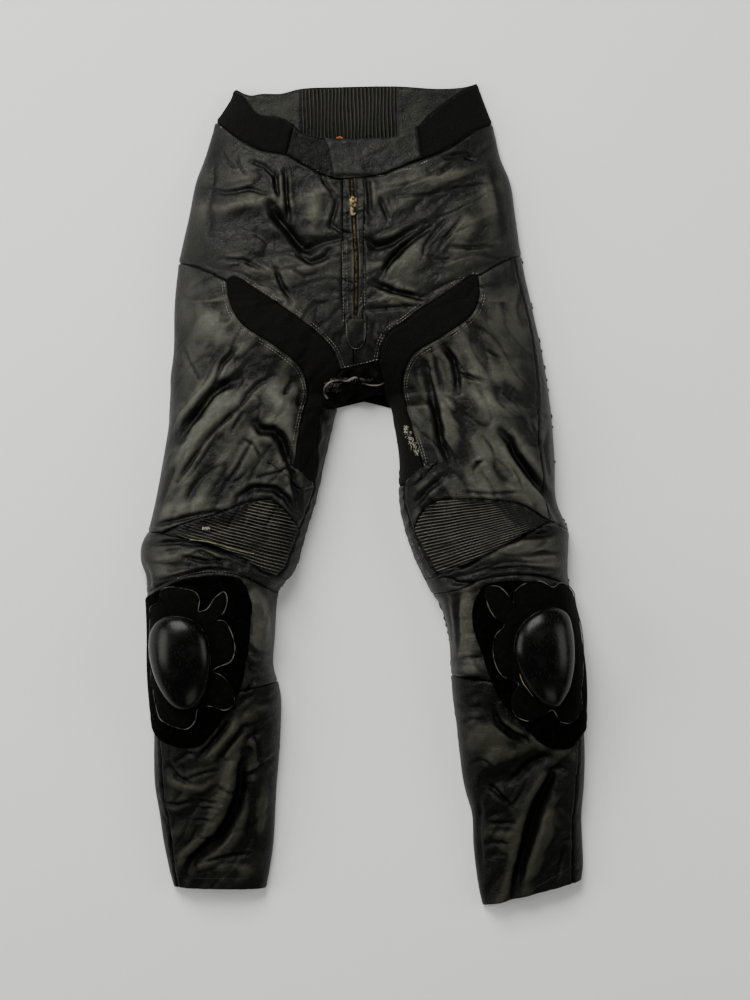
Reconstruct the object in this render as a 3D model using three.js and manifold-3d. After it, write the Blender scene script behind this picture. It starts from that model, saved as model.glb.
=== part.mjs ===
// Leather racing trousers, empty and laid on their back with the front up.
// Millimetres. X runs across the garment, Y runs up to the waist, Z is up from the ground.
// The origin is on the ground, under the middle of the garment. Left is the side of -X.

import * as THREE from 'three';
import Module from 'manifold-3d';
import { mergeVertices } from 'three/addons/utils/BufferGeometryUtils.js';

const wasm = await Module();
wasm.setup();

// Driving dimensions
const LEATHER = 2.0;
const STRETCH = 1.6;
const LOOP_FABRIC = 1.8;
const SEAM_GAP = 0.3;
const BACK_LAYER = 2.0;
const GROUND_CLEARANCE = BACK_LAYER + SEAM_GAP;
const OVERLAY_GAP = 0.6;
const SEAM_STEPS = 12;
const BULGE_TESTS = [0.25, 0.5, 0.75];
const ROUNDING = 1e-6;

const WAIST_Y = 501;
const HEM_Y = -486;
const FORK_Y = 104;
const FORK_BLEND = 126;
const WEB = 0.06;

// Cross-sections from the waist to the hem. Left and right give the outline seen from the
// front: above the fork the inner columns are the edges of the web between the legs. Height is
// to the top of the leg.
const SECTIONS = [
  { y: 501, outerLeft: -156, innerLeft: -8, innerRight: -8, outerRight: 138, height: 22 },
  { y: 482, outerLeft: -163, innerLeft: -8, innerRight: -8, outerRight: 145, height: 27 },
  { y: 453, outerLeft: -181, innerLeft: -8, innerRight: -8, outerRight: 156, height: 34 },
  { y: 438, outerLeft: -186, innerLeft: -8, innerRight: -8, outerRight: 160, height: 38 },
  { y: 409, outerLeft: -195, innerLeft: -8, innerRight: -8, outerRight: 167, height: 43 },
  { y: 379, outerLeft: -206, innerLeft: -8, innerRight: -8, outerRight: 179, height: 48 },
  { y: 339, outerLeft: -214, innerLeft: -8, innerRight: -8, outerRight: 185, height: 54 },
  { y: 284, outerLeft: -226, innerLeft: -8, innerRight: -8, outerRight: 193, height: 59 },
  { y: 229, outerLeft: -232, innerLeft: -9, innerRight: -3, outerRight: 205, height: 62 },
  { y: 174, outerLeft: -233, innerLeft: -12, innerRight: 8, outerRight: 217, height: 63 },
  { y: 140, outerLeft: -237, innerLeft: -20, innerRight: 20, outerRight: 223, height: 63 },
  { y: 126, outerLeft: -237, innerLeft: -25, innerRight: 25, outerRight: 225, height: 63 },
  { y: 104, outerLeft: -238, innerLeft: -33, innerRight: 33, outerRight: 228, height: 63 },
  { y: 83, outerLeft: -239, innerLeft: -38, innerRight: 37, outerRight: 230, height: 62 },
  { y: 40, outerLeft: -246, innerLeft: -48, innerRight: 43, outerRight: 233, height: 61 },
  { y: -9, outerLeft: -255, innerLeft: -59, innerRight: 43, outerRight: 235, height: 60 },
  { y: -45, outerLeft: -264, innerLeft: -70, innerRight: 50, outerRight: 249, height: 61 },
  { y: -63, outerLeft: -272, innerLeft: -75, innerRight: 56, outerRight: 250, height: 62 },
  { y: -82, outerLeft: -273, innerLeft: -80, innerRight: 63, outerRight: 249, height: 63 },
  { y: -100, outerLeft: -267, innerLeft: -88, innerRight: 72, outerRight: 249, height: 64 },
  { y: -118, outerLeft: -265, innerLeft: -104, innerRight: 81, outerRight: 251, height: 64 },
  { y: -137, outerLeft: -264, innerLeft: -107, innerRight: 93, outerRight: 253, height: 64 },
  { y: -173, outerLeft: -263, innerLeft: -109, innerRight: 103, outerRight: 262, height: 63 },
  { y: -210, outerLeft: -263, innerLeft: -111, innerRight: 106, outerRight: 268, height: 61 },
  { y: -246, outerLeft: -261, innerLeft: -102, innerRight: 108, outerRight: 270, height: 57 },
  { y: -283, outerLeft: -257, innerLeft: -102, innerRight: 113, outerRight: 269, height: 52 },
  { y: -320, outerLeft: -257, innerLeft: -104, innerRight: 117, outerRight: 270, height: 47 },
  { y: -356, outerLeft: -256, innerLeft: -107, innerRight: 122, outerRight: 269, height: 42 },
  { y: -393, outerLeft: -250, innerLeft: -109, innerRight: 132, outerRight: 266, height: 37 },
  { y: -429, outerLeft: -245, innerLeft: -111, innerRight: 134, outerRight: 267, height: 32 },
  { y: -466, outerLeft: -238, innerLeft: -116, innerRight: 140, outerRight: 268, height: 28 },
  { y: -486, outerLeft: -233, innerLeft: -120, innerRight: 145, outerRight: 266, height: 26 },
];

// How far each hem is pulled up at its outer and inner edge, over the last stretch of the leg.
const HEM_TILT = { start: -400, left: { outer: 6, inner: 4 }, right: { outer: 14, inner: -17 } };

// The largest folds. A negative depth is a trough. Reach is how far the fold's side spreads.
const FOLDS = [
  { from: [-221, 68], via: [-200, 95], to: [-168, 130], reach: 12, depth: -6 },
  { from: [-188, 123], via: [-173, 148], to: [-155, 172], reach: 11, depth: -4 },
  { from: [-151, 99], via: [-124, 132], to: [-109, 140], reach: 13, depth: 5 },
  { from: [-129, 83], via: [-96, 59], to: [-88, 40], reach: 12, depth: -5 },
  { from: [-224, 16], via: [-200, 52], to: [-173, 83], reach: 12, depth: -4 },
  { from: [-170, 4], via: [-145, 40], to: [-129, 65], reach: 12, depth: -4 },
  { from: [74, 156], via: [88, 89], to: [107, 22], reach: 12, depth: -5 },
  { from: [99, 174], via: [113, 132], to: [135, 40], reach: 12, depth: -5 },
  { from: [120, 138], via: [129, 77], to: [154, 16], reach: 14, depth: 4 },
  { from: [166, 72], via: [203, 22], to: [237, -27], reach: 12, depth: -6 },
  { from: [-109, 382], via: [-94, 357], to: [-92, 333], reach: 11, depth: -5 },
  { from: [-115, 351], via: [-82, 303], to: [-41, 282], reach: 12, depth: -6 },
  { from: [-194, 325], via: [-140, 318], to: [-100, 300], reach: 16, depth: 4 },
  { from: [-182, 309], via: [-127, 290], to: [-78, 248], reach: 12, depth: -3 },
  { from: [4, 311], via: [30, 292], to: [62, 331], reach: 12, depth: -5 },
  { from: [20, 254], via: [38, 282], to: [99, 351], reach: 12, depth: -5 },
  { from: [15, 250], via: [44, 239], to: [68, 235], reach: 10, depth: -4 },
  { from: [105, 296], via: [135, 299], to: [166, 300], reach: 11, depth: -3 },
  { from: [74, 357], via: [117, 376], to: [154, 406], reach: 12, depth: -4 },
  { from: [-221, -470], via: [-176, -421], to: [-149, -362], reach: 11, depth: -7 },
  { from: [-149, -362], via: [-145, -338], to: [-137, -301], reach: 11, depth: -7 },
  { from: [-194, -356], via: [-151, -307], to: [-139, -287], reach: 11, depth: 4 },
  { from: [182, -484], via: [200, -423], to: [206, -393], reach: 11, depth: -7 },
  { from: [206, -393], via: [217, -368], to: [239, -326], reach: 11, depth: -6 },
  { from: [221, -316], via: [178, -344], to: [132, -344], reach: 11, depth: -6 },
];

// Finishes
const finish = (color, roughness, metalness = 0) => (
  new THREE.MeshStandardMaterial({ color, roughness, metalness })
);
const leather = () => finish(0x2c2d29, 0.5);
const stretchCloth = () => finish(0x131412, 0.95);
const loopFabric = () => finish(0x0b0b0b, 1.0);
const boundCloth = () => finish(0x161616, 0.85);
const hardPlastic = () => finish(0x171a1c, 0.2);
const brass = () => finish(0x9b7c40, 0.35, 0.9);

// The outline and heights between the rows of SECTIONS
const stations = SECTIONS.map((row) => row.y);

function sectionAt(y) {
  const inside = THREE.MathUtils.clamp(y, HEM_Y, WAIST_Y);
  let row = 0;
  while (row < stations.length - 2 && inside < stations[row + 1]) {
    row += 1;
  }
  const before = SECTIONS[Math.max(row - 1, 0)];
  const start = SECTIONS[row];
  const end = SECTIONS[row + 1];
  const after = SECTIONS[Math.min(row + 2, SECTIONS.length - 1)];
  const span = end.y - start.y;
  const share = (inside - start.y) / span;
  const smooth = (column) => {
    const startSlope = ((end[column] - before[column]) / (end.y - before.y)) * span;
    const endSlope = ((after[column] - start[column]) / (after.y - start.y)) * span;
    const step = end[column] - start[column];
    const curve = startSlope * share * (1 - share) ** 2 - endSlope * (1 - share) * share ** 2;
    return start[column] + step * share ** 2 * (3 - 2 * share) + curve;
  };
  return {
    outerLeft: smooth('outerLeft'),
    innerLeft: smooth('innerLeft'),
    innerRight: smooth('innerRight'),
    outerRight: smooth('outerRight'),
    height: smooth('height'),
  };
}

// The cloth of the front. Across runs from -1 at the left outline to 1 at the right one. The web
// between the legs takes the middle, from -WEB to WEB, and ends at the fork. Leg is -1 or 1.
const archHeight = (angle) => Math.cos(angle) * Math.sqrt(1 + Math.sin(angle) ** 2);

// Which leg a place belongs to, and how far the cloth runs there. Above the fork it is one piece.
function legAt(across, y, side) {
  if (y <= FORK_Y) {
    return { leg: side, lowest: side < 0 ? -1 : WEB, highest: side < 0 ? -WEB : 1 };
  }
  return { leg: Math.sign(across) || side, lowest: -1, highest: 1 };
}

function forkShare(y) {
  return THREE.MathUtils.clamp((FORK_Y + FORK_BLEND - y) / FORK_BLEND, 0, 1) ** 3;
}

// The angle around a leg, from -90 degrees at its left side to 90 degrees at its right side.
function legAngle(across, leg) {
  const share = leg < 0 ? (across + 1) / (1 - WEB) : (across - WEB) / (1 - WEB);
  return (THREE.MathUtils.clamp(share, 0, 1) - 0.5) * Math.PI;
}

function acrossX(across, y, leg) {
  const section = sectionAt(y);
  const fork = forkShare(y);
  const hipHalf = (section.outerRight - section.outerLeft) / 2;
  const hipX = section.outerLeft + hipHalf * (1 + Math.sin((across * Math.PI) / 2));
  const webShare = (across + WEB) / (2 * WEB);
  const webX = section.innerLeft + (section.innerRight - section.innerLeft) * webShare;
  const [left, right] = leg < 0
    ? [section.outerLeft, section.innerLeft]
    : [section.innerRight, section.outerRight];
  const roundX = left + ((right - left) / 2) * (1 + Math.sin(legAngle(across, leg)));
  const legX = Math.abs(across) < WEB ? webX : roundX;
  return hipX * (1 - fork) + legX * fork;
}

function foldHeight(x, y) {
  let height = 0;
  for (const fold of FOLDS) {
    const away = Math.min(
      distanceToLine(x, y, fold.from, fold.via),
      distanceToLine(x, y, fold.via, fold.to),
    );
    height += fold.depth * Math.exp(-((away / fold.reach) ** 2));
  }
  return height;
}

function distanceToLine(x, y, start, end) {
  const alongX = end[0] - start[0];
  const alongY = end[1] - start[1];
  const share = ((x - start[0]) * alongX + (y - start[1]) * alongY) / (alongX ** 2 + alongY ** 2);
  const nearest = THREE.MathUtils.clamp(share, 0, 1);
  return Math.hypot(x - start[0] - nearest * alongX, y - start[1] - nearest * alongY);
}

function bodyPoint(wantedAcross, y, side) {
  const { leg, lowest, highest } = legAt(wantedAcross, y, side);
  const across = THREE.MathUtils.clamp(wantedAcross, lowest, highest);
  const section = sectionAt(y);
  const fork = forkShare(y);
  const angle = legAngle(across, leg);
  const softness = Math.min(1, 3 * (1 - fork));
  const onInnerHalf = angle * leg < 0;
  const roundInner = archHeight(angle) * (1 - softness) + Math.cos(angle) ** 2 * softness;
  const legShare = onInnerHalf ? roundInner : archHeight(angle);
  const hipShare = archHeight((across * Math.PI) / 2);
  const share = hipShare * (1 - fork) + legShare * fork;
  const tilt = leg < 0 ? HEM_TILT.left : HEM_TILT.right;
  const towardsOuter = (1 + leg * Math.sin(angle)) / 2;
  const nearHem = THREE.MathUtils.smoothstep(-y, -HEM_TILT.start, -HEM_Y);
  const lift = nearHem * (tilt.inner + (tilt.outer - tilt.inner) * towardsOuter);
  const z = GROUND_CLEARANCE + section.height * share;
  return { point: new THREE.Vector3(acrossX(across, y, leg), y + lift, z), share };
}

function clothNormal(across, y, side) {
  const { leg, lowest, highest } = legAt(across, y - 2, side);
  const stepAcross = 0.01;
  const stepUp = 1.5;
  const right = bodyPoint(Math.min(across + stepAcross, highest), y, leg).point;
  const left = bodyPoint(Math.max(across - stepAcross, lowest), y, leg).point;
  const upper = bodyPoint(across, y + stepUp, leg).point;
  const lower = bodyPoint(across, y - stepUp, leg).point;
  return right.sub(left).cross(upper.sub(lower)).normalize();
}

// The folds stand off the smooth body along its normal, and fade out at the outline.
function clothPoint(across, y, side) {
  const { point, share } = bodyPoint(across, y, side);
  return point.addScaledVector(clothNormal(across, y, side), foldHeight(point.x, y) * share ** 2);
}

function acrossAt(x, y, side) {
  let { lowest: low, highest: high } = legAt(0, y, side);
  for (let step = 0; step < 40; step += 1) {
    const middle = (low + high) / 2;
    if (acrossX(middle, y, legAt(middle, y, side).leg) < x) {
      low = middle;
    } else {
      high = middle;
    }
  }
  return (low + high) / 2;
}

// Edges of the panels, which give [across, y] at a share of their length on the cloth. A seam is
// a smooth line through points of the front view.
class Seam {
  constructor(points, whole = null, first = 0, last = points.length - 1) {
    this.points = points;
    this.whole = whole ?? this;
    this.first = first;
    this.last = last;
    this.places = {};
    this.marks = {};
  }

  between(start, end) {
    return new Seam(this.points, this.whole, this.points.indexOf(start), this.points.indexOf(end));
  }

  placesOn(side) {
    if (!this.places[side]) {
      const vectors = this.points.map(([x, y]) => new THREE.Vector3(x, y, 0));
      const curve = new THREE.CatmullRomCurve3(vectors, false, 'centripetal');
      const drawn = curve.getPoints((vectors.length - 1) * SEAM_STEPS);
      this.places[side] = drawn.map(({ x, y }) => [acrossAt(x, y, side), y]);
    }
    return this.places[side];
  }

  marksOn(side) {
    if (!this.marks[side]) {
      const places = this.whole.placesOn(side);
      const step = Math.sign(this.last - this.first);
      const marks = [];
      for (let at = this.first * SEAM_STEPS; at !== this.last * SEAM_STEPS + step; at += step) {
        const spot = bodyPoint(...places[at], side).point;
        const previous = marks.at(-1);
        const length = previous ? previous.length + spot.distanceTo(previous.spot) : 0;
        marks.push({ place: places[at], spot, length });
      }
      this.marks[side] = marks;
    }
    return this.marks[side];
  }

  lengthOn(side) {
    return this.marksOn(side).at(-1).length;
  }

  at(share, side) {
    const marks = this.marksOn(side);
    const wanted = share * marks.at(-1).length;
    const isBeyond = ({ length }) => length > 0 && length >= wanted - ROUNDING;
    const after = marks.findIndex(isBeyond);
    const [before, beyond] = [marks[after - 1], marks[after]];
    const inStep = (wanted - before.length) / (beyond.length - before.length);
    return before.place.map((value, axis) => value + (beyond.place[axis] - value) * inStep);
  }
}

// An outline runs along the garment's side, at a fixed place across.
class Outline {
  constructor(across, fromY, toY) {
    this.across = across;
    this.fromY = fromY;
    this.toY = toY;
  }

  lengthOn() {
    return Math.abs(this.toY - this.fromY);
  }

  at(share) {
    return [this.across, this.fromY + (this.toY - this.fromY) * share];
  }
}

// A level runs across the cloth at one height, such as a hem.
class Level {
  constructor(y, startX, endX) {
    this.y = y;
    this.startX = startX;
    this.endX = endX;
  }

  lengthOn() {
    return Math.abs(this.endX - this.startX);
  }

  at(share, side) {
    const start = acrossAt(this.startX, this.y, side);
    const end = acrossAt(this.endX, this.y, side);
    return [start + (end - start) * share, this.y];
  }
}

// Splits an edge made of several lines so that every joint between them is a vertex.
function sampleEdge(lines, count, side) {
  const lengths = lines.map((line) => line.lengthOn(side));
  const total = lengths.reduce((sum, length) => sum + length, 0);
  const counts = lengths.map((length) => Math.max(1, Math.round((count * length) / total)));
  const longest = counts.indexOf(Math.max(...counts));
  counts[longest] += count - counts.reduce((sum, part) => sum + part, 0);
  const points = [lines[0].at(0, side)];
  const tests = [];
  lines.forEach((line, index) => {
    for (let step = 0; step < counts[index]; step += 1) {
      points.push(line.at((step + 1) / counts[index], side));
      tests.push(BULGE_TESTS.map((share) => line.at((step + share) / counts[index], side)));
    }
  });
  return { points, tests };
}

// Closed walls
function closedGeometry(vertices, triangles) {
  let volume = 0;
  for (const [a, b, c] of triangles) {
    volume += vertices[a].dot(vertices[b].clone().cross(vertices[c]));
  }
  const index = triangles.flatMap(([a, b, c]) => (volume > 0 ? [a, b, c] : [a, c, b]));
  const geometry = new THREE.BufferGeometry();
  const numbers = vertices.flatMap((vertex) => vertex.toArray());
  geometry.setAttribute('position', new THREE.Float32BufferAttribute(numbers, 3));
  geometry.setIndex(index);
  geometry.computeVertexNormals();
  return geometry;
}

function gridWall(outer, inner) {
  const rows = outer.length;
  const columns = outer[0].length;
  const vertices = [...outer.flat(), ...inner.flat()];
  const outerAt = (row, column) => row * columns + column;
  const innerAt = (row, column) => rows * columns + outerAt(row, column);
  const triangles = [];
  const addQuad = (a, b, c, d) => {
    const straight = vertices[a].distanceTo(vertices[c]) <= vertices[b].distanceTo(vertices[d]);
    triangles.push(...(straight ? [[a, b, c], [a, c, d]] : [[a, b, d], [b, c, d]]));
  };
  for (let row = 0; row < rows - 1; row += 1) {
    for (let column = 0; column < columns - 1; column += 1) {
      const corners = [[row, column], [row + 1, column], [row + 1, column + 1], [row, column + 1]];
      addQuad(...corners.map((corner) => outerAt(...corner)));
      addQuad(...corners.reverse().map((corner) => innerAt(...corner)));
    }
  }
  const upTo = (count, cellAt) => Array.from({ length: count - 1 }, (_, step) => cellAt(step));
  const rim = [
    ...upTo(rows, (step) => [step, 0]),
    ...upTo(columns, (step) => [rows - 1, step]),
    ...upTo(rows, (step) => [rows - 1 - step, columns - 1]),
    ...upTo(columns, (step) => [0, columns - 1 - step]),
  ];
  rim.forEach((start, position) => {
    const end = rim[(position + 1) % rim.length];
    addQuad(outerAt(...end), outerAt(...start), innerAt(...start), innerAt(...end));
  });
  return closedGeometry(vertices, triangles);
}

function roundWall(outerCentre, outerRings, innerCentre, innerRings) {
  const spokes = outerRings[0].length;
  const rings = outerRings.length;
  const vertices = [outerCentre, ...outerRings.flat(), innerCentre, ...innerRings.flat()];
  const innerStart = 1 + rings * spokes;
  const at = (start, ring, spoke) => start + 1 + ring * spokes + (spoke % spokes);
  const triangles = [];
  for (const [start, turn] of [[0, false], [innerStart, true]]) {
    const add = (a, b, c) => triangles.push(turn ? [a, c, b] : [a, b, c]);
    for (let spoke = 0; spoke < spokes; spoke += 1) {
      add(start, at(start, 0, spoke), at(start, 0, spoke + 1));
      for (let ring = 0; ring < rings - 1; ring += 1) {
        add(at(start, ring, spoke), at(start, ring + 1, spoke), at(start, ring + 1, spoke + 1));
        add(at(start, ring, spoke), at(start, ring + 1, spoke + 1), at(start, ring, spoke + 1));
      }
    }
  }
  const last = rings - 1;
  for (let spoke = 0; spoke < spokes; spoke += 1) {
    const [outer, nextOuter] = [at(0, last, spoke), at(0, last, spoke + 1)];
    const [inner, nextInner] = [at(innerStart, last, spoke), at(innerStart, last, spoke + 1)];
    triangles.push([outer, inner, nextInner], [outer, nextInner, nextOuter]);
  }
  return closedGeometry(vertices, triangles);
}

function addPiece(name, geometry, material) {
  const piece = new THREE.Mesh(geometry, material);
  piece.name = name;
  group.add(piece);
  return piece;
}

// Fills the inside of four sampled edges, so that the rows and columns run with the seams.
function fillEdges(top, bottom, left, right) {
  const columns = top.length - 1;
  const rows = left.length - 1;
  const mix = (a, b, share) => a + (b - a) * share;
  return left.map((start, row) => top.map((above, column) => [0, 1].map((axis) => {
    const u = column / columns;
    const v = row / rows;
    const downwards = mix(above[axis], bottom[column][axis], v);
    const sideways = mix(start[axis], right[row][axis], u);
    const upperCorners = mix(top[0][axis], top[columns][axis], u);
    const lowerCorners = mix(bottom[0][axis], bottom[columns][axis], u);
    return downwards + sideways - mix(upperCorners, lowerCorners, v);
  })));
}

// How far each point of an edge is drawn in, so that straight facets stay on their own side.
function edgeRoom(edge, points, towardsInside, place) {
  const bulges = edge.tests.map((tests, index) => {
    const inwards = towardsInside[index].clone().add(towardsInside[index + 1]).normalize();
    const onChord = (share) => points[index].clone().lerp(points[index + 1], share);
    const rises = tests.map((test, at) => place(test).sub(onChord(BULGE_TESTS[at])).dot(inwards));
    return Math.max(0, ...rises);
  });
  return points.map((point, index) => {
    const before = bulges[Math.max(index - 1, 0)];
    const after = bulges[Math.min(index, bulges.length - 1)];
    return SEAM_GAP / 2 + Math.max(before, after);
  });
}

function drawIn(grid, edges, place) {
  const rows = grid.length - 1;
  const columns = grid[0].length - 1;
  const sides = [
    { edge: edges.top, cell: (i) => [0, i], next: (i) => [1, i], count: columns },
    { edge: edges.bottom, cell: (i) => [rows, i], next: (i) => [rows - 1, i], count: columns },
    { edge: edges.left, cell: (i) => [i, 0], next: (i) => [i, 1], count: rows },
    { edge: edges.right, cell: (i) => [i, columns], next: (i) => [i, columns - 1], count: rows },
  ];
  const pick = ([row, column]) => grid[row][column];
  const moves = [];
  for (const side of sides) {
    const points = Array.from({ length: side.count + 1 }, (_, i) => pick(side.cell(i)));
    const inwards = points.map((point, i) => {
      const [before, after] = [points[Math.max(i - 1, 0)], points[Math.min(i + 1, side.count)]];
      const along = after.clone().sub(before).normalize();
      const inside = pick(side.next(i)).clone().sub(point);
      return inside.addScaledVector(along, -inside.dot(along)).normalize();
    });
    const room = edgeRoom(side.edge, points, inwards, place);
    points.forEach((point, i) => moves.push([point, inwards[i].multiplyScalar(room[i])]));
  }
  moves.forEach(([point, move]) => point.add(move));
}

// Nothing of the front goes below the back layer's top.
const onGround = (point) => point.setZ(Math.max(point.z, GROUND_CLEARANCE));

// A panel of the front: a wall between four edges, each a list of lines.
function addPanel(name, material, options) {
  const { side, columns, rows, lift = 0, thickness = LEATHER, relief = () => 0 } = options;
  const edges = {
    top: sampleEdge(options.top, columns, side),
    bottom: sampleEdge(options.bottom, columns, side),
    left: sampleEdge(options.left, rows, side),
    right: sampleEdge(options.right, rows, side),
  };
  const cells = fillEdges(edges.top.points, edges.bottom.points, edges.left.points, edges.right.points);
  const place = ([across, y]) => clothPoint(across, y, side);
  const normals = cells.map((row) => row.map(([across, y]) => clothNormal(across, y, side)));
  const surface = cells.map((row) => row.map(place));
  drawIn(surface, edges, place);
  const moved = (distance) => surface.map((row, i) => row.map((point, j) => (
    onGround(point.clone().addScaledVector(normals[i][j], distance(j / columns, i / rows)))
  )));
  const outside = lift > 0 ? lift + thickness : 0;
  const outer = moved((u, v) => outside + relief(u, v));
  const inner = moved(() => outside - thickness);
  return addPiece(name, gridWall(outer, inner), material);
}

// A piece that lies on the front inside a closed outline, as thick as depthAt gives from its
// middle, at 0, to its rim, at 1.
function addRound(name, material, options) {
  const { side, centre, outline, rings, spokes, lift, depthAt } = options;
  const placeOf = (x, y) => [acrossAt(x, y, side), y];
  const middle = placeOf(...centre);
  const rim = Array.from({ length: spokes }, (_, spoke) => {
    const { x, y } = outline(spoke / spokes);
    return placeOf(x, y);
  });
  const raised = (place, distance) => (
    onGround(clothPoint(...place, side).addScaledVector(clothNormal(...place, side), distance))
  );
  const ringAt = (share, distance) => rim.map((end) => (
    raised(middle.map((value, axis) => value + (end[axis] - value) * share), distance)
  ));
  const outerRings = rings.map((share) => ringAt(share, lift + depthAt(share)));
  const innerRings = rings.map((share) => ringAt(share, lift));
  const outerCentre = raised(middle, lift + depthAt(0));
  const innerCentre = raised(middle, lift);
  return addPiece(name, roundWall(outerCentre, outerRings, innerCentre, innerRings), material);
}

const closedLine = (points) => {
  const vectors = points.map(([x, y]) => new THREE.Vector3(x, y, 0));
  const curve = new THREE.CatmullRomCurve3(vectors, true, 'centripetal');
  return (share) => curve.getPointAt(share % 1);
};

// A panel of the back: a flat layer on the ground, between edges of the same kinds.
function addBack(name, material, options) {
  const { side, columns, rows, thickness = BACK_LAYER, relief = () => 0 } = options;
  const edges = {
    top: sampleEdge(options.top, columns, side),
    bottom: sampleEdge(options.bottom, columns, side),
    left: sampleEdge(options.left, rows, side),
    right: sampleEdge(options.right, rows, side),
  };
  const flat = ([across, y]) => clothPoint(across, y, side).setZ(0);
  const place = (edge) => edge.points.map(flat).map((point) => [point.x, point.y]);
  const cells = fillEdges(place(edges.top), place(edges.bottom), place(edges.left), place(edges.right));
  const lower = cells.map((row) => row.map(([x, y]) => new THREE.Vector3(x, y, 0)));
  drawIn(lower, edges, flat);
  const upper = lower.map((row, i) => row.map((point, j) => (
    point.clone().setZ(thickness + relief(j / columns, i / rows))
  )));
  return addPiece(name, gridWall(upper, lower), material);
}

const group = new THREE.Group();

// Seams of the waist and hips, in points of the front view
const WAIST_CORNER_LEFT = [-157, 494];
const WAIST_CORNER_RIGHT = [139, 501];
const UNDER_TOP = [-85, 447];
const FLAP_TOP_LEFT = [-48, 429];
const UNDER_END_TOP = [-23, 427];
const STRETCH_END_TOP = [52, 439];
const FLAP_TOP_RIGHT = [64, 444];
const waistTop = new Seam([
  WAIST_CORNER_LEFT, [-139, 483], [-122, 461], [-99, 456], UNDER_TOP, [-76, 437], FLAP_TOP_LEFT,
  UNDER_END_TOP, [11, 428], [38, 430], STRETCH_END_TOP, FLAP_TOP_RIGHT, [78, 459], [102, 479],
  [121, 492], WAIST_CORNER_RIGHT,
]);

const SEAM_CORNER_LEFT = [-181, 454];
const SEAM_CORNER_RIGHT = [156, 451];
const UNDER_FOOT = [-95, 409];
const FLAP_FOOT_LEFT = [-37, 380];
const FLY_TOP_LEFT = [-25, 379];
const FLY_TOP_RIGHT = [0, 381];
const STRETCH_END_FOOT = [56, 399];
const FLAP_FOOT_RIGHT = [70, 404];
const waistSeam = new Seam([
  SEAM_CORNER_LEFT, [-151, 429], [-124, 415], UNDER_FOOT, [-72, 396], [-51, 384], FLAP_FOOT_LEFT,
  FLY_TOP_LEFT, FLY_TOP_RIGHT, [20, 384], [38, 391], STRETCH_END_FOOT, FLAP_FOOT_RIGHT,
  [93, 415], [111, 427], [132, 441], SEAM_CORNER_RIGHT,
]);

const CREST_LEFT = [-165, 255];
const CREST_INNER_LEFT = [-148, 256];
const FRONT_FOOT_LEFT = [-28, 148];
const CENTRE_FOOT = [-11, 151];
const FRONT_FOOT_RIGHT = [18, 158];
const CROTCH_HEM_Y = 119;
const CROTCH_HEM_RIGHT = [acrossX(WEB, CROTCH_HEM_Y, 1), CROTCH_HEM_Y];
const CREST_INNER_RIGHT = [120, 255];
const CREST_RIGHT = [138, 261];
const SIDE_SEAM_TOP = [182, 286];
const HIP_SEAM_END_RIGHT = [198, 292];
const hipSeamLeft = new Seam([[-230, 282], [-200, 272], CREST_LEFT]);
const crestLeft = new Seam([CREST_LEFT, [-156, 259], CREST_INNER_LEFT]);
const hipSeamRight = new Seam([CREST_RIGHT, [162, 276], SIDE_SEAM_TOP, HIP_SEAM_END_RIGHT]);
const crestRight = new Seam([CREST_INNER_RIGHT, [129, 261], CREST_RIGHT]);
const bendLeft = new Seam([
  CREST_INNER_LEFT, [-124, 240], [-102, 226], [-78, 209], [-54, 189], [-38, 171], FRONT_FOOT_LEFT,
]);
const bendRight = new Seam([
  FRONT_FOOT_RIGHT, [22, 178], [32, 194], [49, 205], [68, 220], [93, 236], CREST_INNER_RIGHT,
]);
const frontFoot = new Seam([FRONT_FOOT_LEFT, CENTRE_FOOT, FRONT_FOOT_RIGHT]);
const crotchEdgeRight = new Seam([FRONT_FOOT_RIGHT, [22, 139], CROTCH_HEM_RIGHT]);

const FLY_FOOT_LEFT = [-14, 178];
const FLY_FOOT_RIGHT = [-9, 178];
const flyLeft = new Seam([FLY_TOP_LEFT, [-25, 300], [-25, 225], FLY_FOOT_LEFT, CENTRE_FOOT]);
const flyRight = new Seam([FLY_TOP_RIGHT, [0, 300], [0, 225], FLY_FOOT_RIGHT, CENTRE_FOOT]);

// Seams of the thighs
const STRETCH_OUTER_FOOT_LEFT = [-83, 18];
const STRIP_TOP_LEFT = [-50, FORK_Y];
const STRETCH_INNER_FOOT_LEFT = [-60, 8];
const RIB_INNER_LEFT = [-78, -43];
const RIB_FOOT_LEFT = [-105, -102];
const stretchOuterLeft = new Seam([
  CREST_LEFT, [-162, 235], [-155, 215], [-143, 200], [-102, 173], [-75, 149], [-67, 120],
  [-72, 95], [-81, 52], STRETCH_OUTER_FOOT_LEFT,
]);
const stretchFootLeft = new Seam([STRETCH_OUTER_FOOT_LEFT, [-76, 5], STRETCH_INNER_FOOT_LEFT]);
const crotchEdgeLeft = new Seam([FRONT_FOOT_LEFT, [-39, 130], STRIP_TOP_LEFT]);
const stripLeft = new Seam([
  STRIP_TOP_LEFT, [-55, 65], STRETCH_INNER_FOOT_LEFT, [-65, -9], RIB_INNER_LEFT,
  [-86, -67], [-94, -87], RIB_FOOT_LEFT,
]);

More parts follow.
